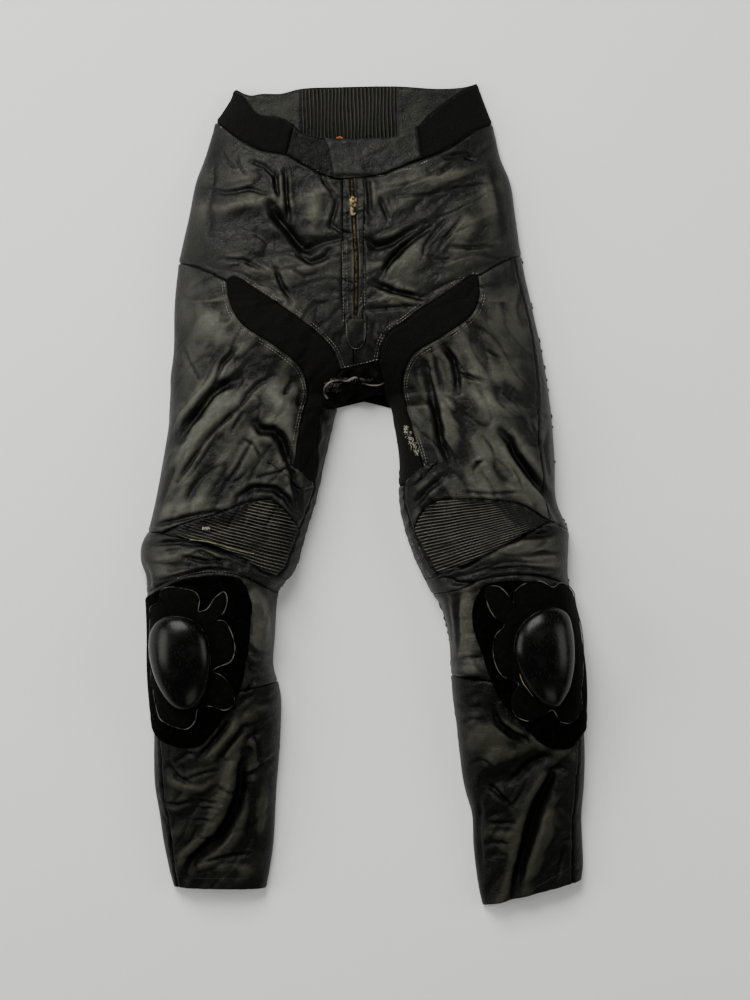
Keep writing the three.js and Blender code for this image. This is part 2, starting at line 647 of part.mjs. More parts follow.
const STRETCH_OUTER_FOOT_RIGHT = [72, 24];
const STRIP_TOP_RIGHT = [49, 9];
const RIB_INNER_RIGHT = [60, -43];
const RIB_FOOT_RIGHT = [90, -99];
const stretchOuterRight = new Seam([
  CREST_RIGHT, [139, 235], [133, 219], [121, 206], [93, 187], [59, 165], [46, 134], [51, 101],
  [65, 52], STRETCH_OUTER_FOOT_RIGHT,
]);
const stretchFootRight = new Seam([STRETCH_OUTER_FOOT_RIGHT, [64, 13], STRIP_TOP_RIGHT]);
const stripRight = new Seam([
  STRIP_TOP_RIGHT, [51, -15], RIB_INNER_RIGHT, [69, -63], [82, -87], RIB_FOOT_RIGHT,
]);
const RIB_OUTER_RIGHT = [224, -34];
const sideSeamRight = new Seam([
  SIDE_SEAM_TOP, [190, 250], [202, 199], [210, 138], [211, 77], [215, 28], RIB_OUTER_RIGHT,
]);

// Seams of the knees. The ribs run from the outer to the inner edge of their panel.
const RIB_OUTER_LEFT = [-243, -48];
const RIB_PEAK_OUTER_LEFT = [-122, -8];
const RIB_PEAK_INNER_LEFT = [-112, -8];
const ribTopOuterLeft = new Seam([
  RIB_PEAK_OUTER_LEFT, [-141, -12], [-163, -20], [-194, -30], [-224, -40], RIB_OUTER_LEFT,
]);
const ribPeakLeft = new Seam([RIB_PEAK_OUTER_LEFT, RIB_PEAK_INNER_LEFT]);
const ribTopInnerLeft = new Seam([RIB_PEAK_INNER_LEFT, [-96, -20], RIB_INNER_LEFT]);
const ribFootLeft = new Seam([
  RIB_OUTER_LEFT, [-222, -54], [-200, -59], [-170, -69], [-145, -80], [-124, -93], RIB_FOOT_LEFT,
]);

const RIB_PEAK_OUTER_RIGHT = [105, -8];
const RIB_PEAK_INNER_RIGHT = [95, -8];
const ribTopOuterRight = new Seam([
  RIB_PEAK_OUTER_RIGHT, [142, -8], [190, -14], RIB_OUTER_RIGHT,
]);
const ribPeakRight = new Seam([RIB_PEAK_INNER_RIGHT, RIB_PEAK_OUTER_RIGHT]);
const ribTopInnerRight = new Seam([RIB_PEAK_INNER_RIGHT, [74, -17], RIB_INNER_RIGHT]);
const ribFootRight = new Seam([
  RIB_FOOT_RIGHT, [117, -90], [142, -78], [166, -65], [190, -53], RIB_OUTER_RIGHT,
]);

const bandFootLeft = new Seam([
  [-275, -128], [-249, -112], [-224, -102], [-200, -96], [-176, -94], [-151, -98], [-124, -110],
  [-90, -131],
]);
const bandFootRight = new Seam([
  [80, -124], [113, -116], [135, -106], [154, -101], [178, -98], [215, -100], [239, -108],
  [262, -122],
]);
const KNEE_SEAM_START_LEFT = [-275, -234];
const KNEE_SEAM_OUTER_LEFT = [-256, -236];
const KNEE_SEAM_END_LEFT = [-95, -228];
const kneeSeamLeft = new Seam([
  KNEE_SEAM_START_LEFT, KNEE_SEAM_OUTER_LEFT, [-190, -242], [-150, -238], KNEE_SEAM_END_LEFT,
]);
const KNEE_SEAM_START_RIGHT = [95, -222];
const KNEE_SEAM_OUTER_RIGHT = [263, -236];
const KNEE_SEAM_END_RIGHT = [282, -234];
const kneeSeamRight = new Seam([
  KNEE_SEAM_START_RIGHT, [144, -226], [200, -236], KNEE_SEAM_OUTER_RIGHT, KNEE_SEAM_END_RIGHT,
]);
const CALF_FOOT_LEFT = [-227, HEM_Y];
const CALF_FOOT_RIGHT = [254, HEM_Y];
const calfSeamLeft = new Seam([
  KNEE_SEAM_OUTER_LEFT, [-250, -283], [-246, -326], [-245, -362], [-238, -393], [-234, -436],
  CALF_FOOT_LEFT,
]);
const calfSeamRight = new Seam([
  KNEE_SEAM_OUTER_RIGHT, [262, -283], [260, -326], [257, -362], [254, -411], CALF_FOOT_RIGHT,
]);

const LEFT = -1;
const RIGHT = 1;

// Waistband
const stretchEdge = new Seam([UNDER_TOP, UNDER_FOOT]);
addPanel('waist_stretch_left', stretchCloth(), {
  side: LEFT, columns: 6, rows: 3, thickness: STRETCH,
  top: [waistTop.between(WAIST_CORNER_LEFT, UNDER_TOP)],
  bottom: [waistSeam.between(SEAM_CORNER_LEFT, UNDER_FOOT)],
  left: [new Outline(-1, WAIST_CORNER_LEFT[1], SEAM_CORNER_LEFT[1])],
  right: [stretchEdge],
});
addPanel('waist_under', leather(), {
  side: LEFT, columns: 6, rows: 3,
  top: [waistTop.between(UNDER_TOP, UNDER_END_TOP)],
  bottom: [waistSeam.between(UNDER_FOOT, FLY_TOP_LEFT)],
  left: [stretchEdge],
  right: [new Seam([UNDER_END_TOP, FLY_TOP_LEFT])],
});
addPanel('waist_stretch_right', stretchCloth(), {
  side: RIGHT, columns: 6, rows: 3, thickness: STRETCH,
  top: [waistTop.between(STRETCH_END_TOP, WAIST_CORNER_RIGHT)],
  bottom: [waistSeam.between(STRETCH_END_FOOT, SEAM_CORNER_RIGHT)],
  left: [new Seam([STRETCH_END_TOP, STRETCH_END_FOOT])],
  right: [new Outline(1, WAIST_CORNER_RIGHT[1], SEAM_CORNER_RIGHT[1])],
});
addPanel('waist_flap', leather(), {
  side: RIGHT, columns: 9, rows: 3, lift: OVERLAY_GAP,
  top: [waistTop.between(FLAP_TOP_LEFT, FLAP_TOP_RIGHT)],
  bottom: [waistSeam.between(FLAP_FOOT_LEFT, FLAP_FOOT_RIGHT)],
  left: [new Seam([FLAP_TOP_LEFT, [-42, 412], FLAP_FOOT_LEFT])],
  right: [new Seam([FLAP_TOP_RIGHT, FLAP_FOOT_RIGHT])],
});

// Hips and fly
addPanel('hip_left', leather(), {
  side: LEFT, columns: 15, rows: 13,
  top: [waistSeam.between(SEAM_CORNER_LEFT, FLY_TOP_LEFT)],
  bottom: [hipSeamLeft, crestLeft, bendLeft, frontFoot.between(FRONT_FOOT_LEFT, CENTRE_FOOT)],
  left: [new Outline(-1, SEAM_CORNER_LEFT[1], 282)],
  right: [flyLeft],
});
addPanel('hip_right', leather(), {
  side: RIGHT, columns: 15, rows: 13,
  top: [waistSeam.between(FLY_TOP_RIGHT, SEAM_CORNER_RIGHT)],
  bottom: [frontFoot.between(CENTRE_FOOT, FRONT_FOOT_RIGHT), bendRight, crestRight, hipSeamRight],
  left: [flyRight],
  right: [new Outline(1, SEAM_CORNER_RIGHT[1], 292)],
});
addPanel('fly_tape', stretchCloth(), {
  side: LEFT, columns: 2, rows: 10, thickness: STRETCH,
  top: [waistSeam.between(FLY_TOP_LEFT, FLY_TOP_RIGHT)],
  bottom: [new Seam([FLY_FOOT_LEFT, FLY_FOOT_RIGHT])],
  left: [flyLeft.between(FLY_TOP_LEFT, FLY_FOOT_LEFT)],
  right: [flyRight.between(FLY_TOP_RIGHT, FLY_FOOT_RIGHT)],
});
const TAB_TOP_LEFT = [-23, 210];
const TAB_TOP_RIGHT = [4, 210];
const TAB_SIDE_LEFT = [-22, 190];
const TAB_SIDE_RIGHT = [3, 190];
addPanel('fly_tab', leather(), {
  side: LEFT, columns: 6, rows: 3, lift: OVERLAY_GAP,
  top: [new Seam([TAB_TOP_LEFT, TAB_TOP_RIGHT])],
  bottom: [new Seam([TAB_SIDE_LEFT, [-18, 178], [-9, 174], [-1, 178], TAB_SIDE_RIGHT])],
  left: [new Seam([TAB_TOP_LEFT, TAB_SIDE_LEFT])],
  right: [new Seam([TAB_TOP_RIGHT, TAB_SIDE_RIGHT])],
});

// Crotch and inner legs
addPanel('crotch_stretch_left', stretchCloth(), {
  side: LEFT, columns: 4, rows: 20, thickness: STRETCH,
  top: [crestLeft],
  bottom: [stretchFootLeft],
  left: [stretchOuterLeft],
  right: [bendLeft, crotchEdgeLeft, stripLeft.between(STRIP_TOP_LEFT, STRETCH_INNER_FOOT_LEFT)],
});
addPanel('crotch_stretch_right', stretchCloth(), {
  side: RIGHT, columns: 4, rows: 22, thickness: STRETCH,
  top: [crestRight],
  bottom: [stretchFootRight.between(STRIP_TOP_RIGHT, STRETCH_OUTER_FOOT_RIGHT)],
  left: [
    bendRight.between(CREST_INNER_RIGHT, FRONT_FOOT_RIGHT), crotchEdgeRight,
    new Outline(WEB, CROTCH_HEM_Y, STRIP_TOP_RIGHT[1]),
  ],
  right: [stretchOuterRight],
});
const stripHead = new Seam([STRIP_TOP_LEFT, [-30, FORK_Y]]);
const crotchHem = new Seam([[-33, FORK_Y], [-12, 111], [8, 117], CROTCH_HEM_RIGHT]);
addPanel('crotch_gusset', boundCloth(), {
  side: LEFT, columns: 5, rows: 5, thickness: STRETCH,
  top: [frontFoot],
  bottom: [stripHead, crotchHem],
  left: [crotchEdgeLeft],
  right: [crotchEdgeRight],
});
const STRIP_FOOT_Y = -112;
const stripFootLeft = new Seam([RIB_FOOT_LEFT, [-80, STRIP_FOOT_Y]]);
const stripFootRight = new Seam([[60, STRIP_FOOT_Y], RIB_FOOT_RIGHT]);
addPanel('inner_leg_left', leather(), {
  side: LEFT, columns: 2, rows: 16,
  top: [stripHead],
  bottom: [stripFootLeft],
  left: [stripLeft],
  right: [new Outline(-WEB, FORK_Y, STRIP_FOOT_Y)],
});
addPanel('inner_leg_right', leather(), {
  side: RIGHT, columns: 2, rows: 10,
  top: [new Seam([[30, STRIP_TOP_RIGHT[1]], STRIP_TOP_RIGHT])],
  bottom: [stripFootRight],
  left: [new Outline(WEB, STRIP_TOP_RIGHT[1], STRIP_FOOT_Y)],
  right: [stripRight],
});

// Thighs
const THIGH_FOOT_LEFT_Y = -46;
const THIGH_FOOT_RIGHT_Y = -50;
const thighFootLeft = new Seam([[-280, THIGH_FOOT_LEFT_Y], RIB_OUTER_LEFT]);
const thighFootRight = new Seam([RIB_OUTER_RIGHT, [262, THIGH_FOOT_RIGHT_Y]]);
addPanel('thigh_left', leather(), {
  side: LEFT, columns: 11, rows: 22,
  top: [hipSeamLeft],
  bottom: [
    thighFootLeft, ribTopOuterLeft.between(RIB_OUTER_LEFT, RIB_PEAK_OUTER_LEFT), ribPeakLeft,
    ribTopInnerLeft,
  ],
  left: [new Outline(-1, 282, THIGH_FOOT_LEFT_Y)],
  right: [stretchOuterLeft, stretchFootLeft, stripLeft.between(STRETCH_INNER_FOOT_LEFT, RIB_INNER_LEFT)],
});
addPanel('thigh_right', leather(), {
  side: RIGHT, columns: 11, rows: 18,
  top: [hipSeamRight.between(CREST_RIGHT, SIDE_SEAM_TOP)],
  bottom: [
    ribTopInnerRight.between(RIB_INNER_RIGHT, RIB_PEAK_INNER_RIGHT), ribPeakRight, ribTopOuterRight,
  ],
  left: [stretchOuterRight, stretchFootRight, stripRight.between(STRIP_TOP_RIGHT, RIB_INNER_RIGHT)],
  right: [sideSeamRight],
});
addPanel('outer_thigh_right', leather(), {
  side: RIGHT, columns: 3, rows: 16,
  top: [hipSeamRight.between(SIDE_SEAM_TOP, HIP_SEAM_END_RIGHT)],
  bottom: [thighFootRight],
  left: [sideSeamRight],
  right: [new Outline(1, HIP_SEAM_END_RIGHT[1], THIGH_FOOT_RIGHT_Y)],
});

// Ribbed panels above the knees
const RIBS = 16;
const RIB_HEIGHT = 2.2;
const RIB_FADE = 0.125;
const ribRelief = (u, v) => {
  const atEnds = Math.min(1, Math.min(u, 1 - u) / RIB_FADE);
  return RIB_HEIGHT * atEnds * Math.sin(Math.PI * RIBS * v) ** 2;
};
addPanel('accordion_left', leather(), {
  side: LEFT, columns: 7, rows: 2 * RIBS, relief: ribRelief,
  top: [ribPeakLeft],
  bottom: [ribFootLeft],
  left: [ribTopOuterLeft],
  right: [ribTopInnerLeft, stripLeft.between(RIB_INNER_LEFT, RIB_FOOT_LEFT)],
});
addPanel('accordion_right', leather(), {
  side: RIGHT, columns: 7, rows: 2 * RIBS, relief: ribRelief,
  top: [ribPeakRight],
  bottom: [ribFootRight],
  left: [ribTopInnerRight, stripRight.between(RIB_INNER_RIGHT, RIB_FOOT_RIGHT)],
  right: [ribTopOuterRight],
});

// Knees and lower legs
addPanel('knee_band_left', leather(), {
  side: LEFT, columns: 12, rows: 3,
  top: [thighFootLeft, ribFootLeft, stripFootLeft],
  bottom: [bandFootLeft],
  left: [new Outline(-1, THIGH_FOOT_LEFT_Y, -128)],
  right: [new Outline(-WEB, STRIP_FOOT_Y, -131)],
});
addPanel('knee_band_right', leather(), {
  side: RIGHT, columns: 12, rows: 3,
  top: [stripFootRight, ribFootRight, thighFootRight],
  bottom: [bandFootRight],
  left: [new Outline(WEB, STRIP_FOOT_Y, -124)],
  right: [new Outline(1, THIGH_FOOT_RIGHT_Y, -122)],
});
addPanel('knee_left', leather(), {
  side: LEFT, columns: 10, rows: 6,
  top: [bandFootLeft],
  bottom: [kneeSeamLeft],
  left: [new Outline(-1, -128, KNEE_SEAM_START_LEFT[1])],
  right: [new Outline(-WEB, -131, KNEE_SEAM_END_LEFT[1])],
});
addPanel('knee_right', leather(), {
  side: RIGHT, columns: 10, rows: 6,
  top: [bandFootRight],
  bottom: [kneeSeamRight],
  left: [new Outline(WEB, -124, KNEE_SEAM_START_RIGHT[1])],
  right: [new Outline(1, -122, KNEE_SEAM_END_RIGHT[1])],
});
addPanel('shin_left', leather(), {
  side: LEFT, columns: 9, rows: 15,
  top: [kneeSeamLeft.between(KNEE_SEAM_OUTER_LEFT, KNEE_SEAM_END_LEFT)],
  bottom: [new Level(HEM_Y, CALF_FOOT_LEFT[0], -100)],
  left: [calfSeamLeft],
  right: [new Outline(-WEB, KNEE_SEAM_END_LEFT[1], HEM_Y)],
});
addPanel('shin_right', leather(), {
  side: RIGHT, columns: 9, rows: 15,
  top: [kneeSeamRight.between(KNEE_SEAM_START_RIGHT, KNEE_SEAM_OUTER_RIGHT)],
  bottom: [new Level(HEM_Y, 130, CALF_FOOT_RIGHT[0])],
  left: [new Outline(WEB, KNEE_SEAM_START_RIGHT[1], HEM_Y)],
  right: [calfSeamRight],
});
addPanel('outer_calf_left', leather(), {
  side: LEFT, columns: 2, rows: 12,
  top: [kneeSeamLeft.between(KNEE_SEAM_START_LEFT, KNEE_SEAM_OUTER_LEFT)],
  bottom: [new Level(HEM_Y, -240, CALF_FOOT_LEFT[0])],
  left: [new Outline(-1, KNEE_SEAM_START_LEFT[1], HEM_Y)],
  right: [calfSeamLeft],
});
addPanel('outer_calf_right', leather(), {
  side: RIGHT, columns: 2, rows: 12,
  top: [kneeSeamRight.between(KNEE_SEAM_OUTER_RIGHT, KNEE_SEAM_END_RIGHT)],
  bottom: [new Level(HEM_Y, CALF_FOOT_RIGHT[0], 275)],
  left: [calfSeamRight],
  right: [new Outline(1, KNEE_SEAM_END_RIGHT[1], HEM_Y)],
});

// Knee armour: loop fabric on the knee, a lobed backing on it, and the hard slider on top
const LOBES = 7;
const LOBE_DEPTH = 0.16;
const BACKING = 2.0;
const PUCK_RIM = 6;
const PUCK_HEIGHT = 20;
const PAD_GAP = 1.2;
const BACKING_GAP = 1.8;
const padLift = PAD_GAP;
const backingLift = padLift + LOOP_FABRIC + BACKING_GAP;
const puckLift = backingLift + BACKING + PAD_GAP;
const puckDepth = (share) => PUCK_RIM + (PUCK_HEIGHT - PUCK_RIM) * (1 - share ** 2.4) ** 0.7;

const PAD_TOP_LEFT = [-141, -112];
const PAD_FOOT_LEFT = [-182, -288];
const padTopLeft = new Seam([
  [-275, -135], [-249, -118], [-224, -107], [-200, -101], [-176, -99], [-151, -102], PAD_TOP_LEFT,
]);
const padFootLeft = new Seam([
  [-275, -262], [-258, -286], [-243, -300], [-216, -307], [-196, -303], PAD_FOOT_LEFT,
]);
const padEdgeLeft = new Seam([
  PAD_TOP_LEFT, [-137, -135], [-139, -179], [-143, -210], [-151, -240], [-164, -262],
  PAD_FOOT_LEFT,
]);
addPanel('knee_pad_left', loopFabric(), {
  side: LEFT, columns: 12, rows: 12, lift: padLift, thickness: LOOP_FABRIC,
  top: [padTopLeft],
  bottom: [padFootLeft],
  left: [new Outline(-1, -135, -262)],
  right: [padEdgeLeft],
});
const PAD_TOP_RIGHT = [142, -112];
const PAD_FOOT_RIGHT = [186, -274];
const padTopRight = new Seam([
  PAD_TOP_RIGHT, [154, -108], [178, -105], [215, -108], [239, -115], [282, -131],
]);
const padFootRight = new Seam([
  PAD_FOOT_RIGHT, [212, -299], [227, -307], [249, -307], [260, -297], [284, -275],
]);
const padEdgeRight = new Seam([
  PAD_TOP_RIGHT, [132, -133], [132, -161], [142, -192], [154, -228], [168, -254],
  PAD_FOOT_RIGHT,
]);
addPanel('knee_pad_right', loopFabric(), {
  side: RIGHT, columns: 12, rows: 12, lift: padLift, thickness: LOOP_FABRIC,
  top: [padTopRight],
  bottom: [padFootRight],
  left: [padEdgeRight],
  right: [new Outline(1, -131, -275)],
});

const puckOutlines = {
  left: closedLine([
    [-257, -179], [-253, -161], [-242, -150], [-224, -148], [-206, -155], [-193, -171],
    [-188, -192], [-191, -222], [-201, -247], [-215, -258], [-229, -254], [-242, -238],
    [-252, -210],
  ]),
  right: closedLine([
    [187, -188], [192, -166], [204, -151], [221, -141], [235, -140], [245, -147], [251, -165],
    [254, -192], [253, -218], [248, -239], [238, -254], [224, -250], [207, -234], [194, -212],
  ]),
};

const backings = {
  left: { centre: [-209, -200], halfWidth: 51, halfLength: 82 },
  right: { centre: [209, -198], halfWidth: 53, halfLength: 82 },
};

function lobedLine({ centre, halfWidth, halfLength }) {
  return (share) => {
    const angle = 2 * Math.PI * share;
    const reach = 1 - LOBE_DEPTH * (1 - Math.abs(Math.cos((LOBES / 2) * angle)));
    return {
      x: centre[0] + halfWidth * reach * Math.cos(angle),
      y: centre[1] + halfLength * reach * Math.sin(angle),
    };
  };
}

for (const [word, side] of [['left', LEFT], ['right', RIGHT]]) {
  addRound(`puck_backing_${word}`, boundCloth(), {
    side, centre: backings[word].centre, outline: lobedLine(backings[word]),
    rings: [0.2, 0.4, 0.6, 0.8, 1], spokes: 4 * LOBES, lift: backingLift, depthAt: () => BACKING,
  });
  addRound(`puck_${word}`, hardPlastic(), {
    side, centre: [side * 222, -196], outline: puckOutlines[word], rings: [0.3, 0.6, 0.8, 0.93, 1],
    spokes: 24, lift: puckLift, depthAt: puckDepth,
  });
}

// Fly slider and its pull tab. The pull's cross bar turns in the window of the slider's bridge.
const SLIDER_PLACE = [-13, 351];
const SLIDER = { width: 8.5, length: 11, height: 3, rise: 0.6 };
const BRIDGE = { width: 2.2, bar: 1.1, window: 5.2, clearance: 2.6, sunk: 1 };
const PULL = {
  width: 6, length: 19, thickness: 1.6, bar: 1.6, window: 4.2, arm: 1.4, taper: 0.8, bevel: 3,
};

function boxPath(path, left, right, lower, upper) {
  path.moveTo(left, lower);
  path.lineTo(right, lower);
  path.lineTo(right, upper);
  path.lineTo(left, upper);
  path.closePath();
  return path;
}

function solidOf(geometry) {
  const bare = geometry.clone();
  bare.deleteAttribute('normal');
  bare.deleteAttribute('uv');
  const merged = mergeVertices(bare);
  const triVerts = Uint32Array.from(merged.index.array);
  const vertProperties = merged.attributes.position.array;
  return new wasm.Manifold(new wasm.Mesh({ numProp: 3, vertProperties, triVerts }));
}

function geometryOf(solid) {
  const { vertProperties, triVerts } = solid.getMesh();
  const geometry = new THREE.BufferGeometry();
  geometry.setAttribute('position', new THREE.BufferAttribute(vertProperties, 3));
  geometry.setIndex(new THREE.BufferAttribute(triVerts, 1));
  return geometry;
}

function sliderGeometry() {
  const base = new THREE.BoxGeometry(SLIDER.width, SLIDER.length, SLIDER.height);
  base.translate(0, 0, SLIDER.height / 2);
  const half = BRIDGE.window / 2;
  const outerHalf = half + BRIDGE.bar;
  const top = SLIDER.height + BRIDGE.clearance;
  const outerTop = top + BRIDGE.bar;
  const foot = SLIDER.height - BRIDGE.sunk;
  const outline = boxPath(new THREE.Shape(), -outerHalf, outerHalf, foot, outerTop);
  outline.holes.push(boxPath(new THREE.Path(), -half, half, foot + BRIDGE.sunk / 2, top));
  const bridge = new THREE.ExtrudeGeometry(outline, { depth: BRIDGE.width, bevelEnabled: false });
  bridge.translate(0, 0, -BRIDGE.width / 2);
  bridge.applyMatrix4(new THREE.Matrix4().makeBasis(
    new THREE.Vector3(0, 1, 0), new THREE.Vector3(0, 0, 1), new THREE.Vector3(1, 0, 0),
  ));
  return geometryOf(solidOf(base).add(solidOf(bridge)));
}

// The pull lies in the XY plane, with its turning axis along X through the origin.
function pullGeometry() {
  const barHalf = PULL.bar / 2;
  const half = PULL.width / 2;
  const outline = new THREE.Shape();
  outline.moveTo(-half, barHalf);
  outline.lineTo(-half, PULL.bevel - PULL.length);
  outline.lineTo(-half + PULL.taper, -PULL.length);
  outline.lineTo(half - PULL.taper, -PULL.length);
  outline.lineTo(half, PULL.bevel - PULL.length);
  outline.lineTo(half, barHalf);
  outline.closePath();
  const windowHalf = half - PULL.arm;
  const windowFoot = -barHalf - PULL.window;
  outline.holes.push(boxPath(new THREE.Path(), -windowHalf, windowHalf, windowFoot, -barHalf));
  const plate = new THREE.ExtrudeGeometry(outline, { depth: PULL.thickness, bevelEnabled: false });
  plate.translate(0, 0, -PULL.thickness / 2);
  return plate;
}

const fastener = new THREE.Group();
const sliderAcross = acrossAt(...SLIDER_PLACE, LEFT);
const sliderNormal = clothNormal(sliderAcross, SLIDER_PLACE[1], LEFT);
const sliderFoot = clothPoint(sliderAcross, SLIDER_PLACE[1], LEFT);
fastener.position.copy(sliderFoot.addScaledVector(sliderNormal, SLIDER.rise));
fastener.rotation.x = -Math.atan2(sliderNormal.y, sliderNormal.z);
fastener.add(addPiece('fly_slider', sliderGeometry(), brass()));
const pull = addPiece('fly_pull', pullGeometry(), brass());
pull.position.z = SLIDER.height + BRIDGE.clearance / 2;
fastener.add(pull);
group.add(fastener);

// Back, flat on the ground
const SMOCK_TOP_LEFT = [-77, 495];
const SMOCK_TOP_RIGHT = [39, 498];
const backTop = new Seam([
  WAIST_CORNER_LEFT, [-139, 487], [-124, 489], [-102, 489], SMOCK_TOP_LEFT, [-29, 497],
  SMOCK_TOP_RIGHT, [93, 495], [123, 497], WAIST_CORNER_RIGHT,
]);
const BACK_SEAM_LEFT = [-215, 428];
const SMOCK_FOOT_LEFT = [-76, 416];
const BACK_CENTRE_TOP = [-18, 415];
const SMOCK_FOOT_RIGHT = [40, 416];
const BACK_SEAM_RIGHT = [185, 428];
const backSeam = new Seam([
  BACK_SEAM_LEFT, SMOCK_FOOT_LEFT, BACK_CENTRE_TOP, SMOCK_FOOT_RIGHT, BACK_SEAM_RIGHT,
]);
const smockLeft = new Seam([SMOCK_TOP_LEFT, SMOCK_FOOT_LEFT]);
const smockRight = new Seam([SMOCK_TOP_RIGHT, SMOCK_FOOT_RIGHT]);
const SMOCK_RIBS = 24;
const SMOCK_HEIGHT = 1.6;
addBack('back_waist_left', leather(), {
  side: LEFT, columns: 5, rows: 3,
  top: [backTop.between(WAIST_CORNER_LEFT, SMOCK_TOP_LEFT)],
  bottom: [backSeam.between(BACK_SEAM_LEFT, SMOCK_FOOT_LEFT)],
  left: [new Outline(-1, WAIST_CORNER_LEFT[1], BACK_SEAM_LEFT[1])],
  right: [smockLeft],
});
addBack('back_smock', leather(), {
  side: LEFT, columns: 2 * SMOCK_RIBS, rows: 3,
  relief: (u) => SMOCK_HEIGHT * Math.sin(Math.PI * SMOCK_RIBS * u) ** 2,
  top: [backTop.between(SMOCK_TOP_LEFT, SMOCK_TOP_RIGHT)],
  bottom: [backSeam.between(SMOCK_FOOT_LEFT, SMOCK_FOOT_RIGHT)],
  left: [smockLeft],
  right: [smockRight],
});
addBack('back_waist_right', leather(), {
  side: RIGHT, columns: 5, rows: 3,
  top: [backTop.between(SMOCK_TOP_RIGHT, WAIST_CORNER_RIGHT)],
  bottom: [backSeam.between(SMOCK_FOOT_RIGHT, BACK_SEAM_RIGHT)],
  left: [smockRight],
  right: [new Outline(1, WAIST_CORNER_RIGHT[1], BACK_SEAM_RIGHT[1])],
});

const BACK_FORK = [0, 112];
const backCentre = new Seam([BACK_CENTRE_TOP, [-12, 300], [-4, 200], BACK_FORK]);
const seatWebLeft = new Seam([[-33, FORK_Y], BACK_FORK]);
const seatWebRight = new Seam([BACK_FORK, [33, FORK_Y]]);
const seatFootLeft = new Seam([[-250, 122], [-140, 96], [-25, FORK_Y]]);
const seatFootRight = new Seam([[25, FORK_Y], [140, 96], [240, 122]]);
const kneeTopLeft = new Seam([[-285, -70], [-180, -60], [-60, -78]]);
const kneeTopRight = new Seam([[45, -78], [160, -60], [262, -70]]);
const kneeFootLeft = new Seam([[-280, -215], [-185, -226], [-90, -212]]);
const kneeFootRight = new Seam([[90, -212], [190, -226], [285, -215]]);
addBack('seat_left', leather(), {
  side: LEFT, columns: 3, rows: 12,
  top: [backSeam.between(BACK_SEAM_LEFT, BACK_CENTRE_TOP)],
  bottom: [seatFootLeft, seatWebLeft],
  left: [new Outline(-1, BACK_SEAM_LEFT[1], 122)],
  right: [backCentre],
});
addBack('seat_right', leather(), {
  side: RIGHT, columns: 3, rows: 12,
  top: [backSeam.between(BACK_CENTRE_TOP, BACK_SEAM_RIGHT)],
  bottom: [seatWebRight, seatFootRight],
  left: [backCentre],
  right: [new Outline(1, BACK_SEAM_RIGHT[1], 122)],
});
addBack('back_thigh_left', leather(), {
  side: LEFT, columns: 2, rows: 8,
  top: [seatFootLeft],
  bottom: [kneeTopLeft],
  left: [new Outline(-1, 122, -70)],
  right: [new Outline(-WEB, FORK_Y, -78)],
});
addBack('back_thigh_right', leather(), {
  side: RIGHT, columns: 2, rows: 8,
  top: [seatFootRight],
  bottom: [kneeTopRight],
  left: [new Outline(WEB, FORK_Y, -78)],
  right: [new Outline(1, 122, -70)],
});
addBack('back_knee_left', stretchCloth(), {
  side: LEFT, columns: 2, rows: 7,
  top: [kneeTopLeft],
  bottom: [kneeFootLeft],
  left: [new Outline(-1, -70, -215)],
  right: [new Outline(-WEB, -78, -212)],
});
addBack('back_knee_right', stretchCloth(), {
  side: RIGHT, columns: 2, rows: 7,
  top: [kneeTopRight],
  bottom: [kneeFootRight],
  left: [new Outline(WEB, -78, -212)],
  right: [new Outline(1, -70, -215)],
});
addBack('back_calf_left', leather(), {
  side: LEFT, columns: 2, rows: 9,
  top: [kneeFootLeft],
  bottom: [new Level(HEM_Y, -240, -100)],
  left: [new Outline(-1, -215, HEM_Y)],
  right: [new Outline(-WEB, -212, HEM_Y)],
});
addBack('back_calf_right', leather(), {
  side: RIGHT, columns: 2, rows: 9,
  top: [kneeFootRight],
  bottom: [new Level(HEM_Y, 130, 275)],
  left: [new Outline(WEB, -212, HEM_Y)],
  right: [new Outline(1, -215, HEM_Y)],
});

export default group;
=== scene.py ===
"""Looks for a pair of worn leather racing trousers, laid on their back with the front up.

Lengths in the tables are millimetres. X runs across the garment, Y runs up to the waist, and Z
is up from the ground. Left is the side of -X.
"""

import logging
import math
import random
from collections.abc import Callable, Sequence
from dataclasses import dataclass, field
from enum import Enum, IntEnum

import bmesh
import bpy
import numpy as np
from mathutils import Matrix, Vector, kdtree, noise

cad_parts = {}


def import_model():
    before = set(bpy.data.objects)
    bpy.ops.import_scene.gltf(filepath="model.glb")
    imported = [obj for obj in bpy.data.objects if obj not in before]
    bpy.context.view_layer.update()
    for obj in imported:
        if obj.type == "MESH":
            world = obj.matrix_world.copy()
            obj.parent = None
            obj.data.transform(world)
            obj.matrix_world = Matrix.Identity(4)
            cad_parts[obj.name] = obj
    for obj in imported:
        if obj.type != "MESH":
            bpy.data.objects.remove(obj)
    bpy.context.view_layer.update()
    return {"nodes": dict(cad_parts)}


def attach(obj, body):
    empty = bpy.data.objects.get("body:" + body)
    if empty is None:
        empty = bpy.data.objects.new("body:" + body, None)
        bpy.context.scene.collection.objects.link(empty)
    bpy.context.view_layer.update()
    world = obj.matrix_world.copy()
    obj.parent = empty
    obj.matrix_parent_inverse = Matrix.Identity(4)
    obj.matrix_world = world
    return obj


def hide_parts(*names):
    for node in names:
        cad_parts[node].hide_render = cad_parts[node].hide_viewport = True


LOG = logging.getLogger("trousers")
METRES = 0.001
GRID = 1.22
GRID_ORIGIN = (364.0, 493.0)
BODY = "trousers"
Point = tuple[float, float]
Array = np.ndarray


class Side(IntEnum):
    """The leg that a piece belongs to."""

    LEFT = -1
    RIGHT = 1


def drawn(column: float, row: float) -> Point:
    """Turns a crossing of the drawing grid, counted right and down, into millimetres."""
    return (column - GRID_ORIGIN[0]) * GRID, (GRID_ORIGIN[1] - row) * GRID


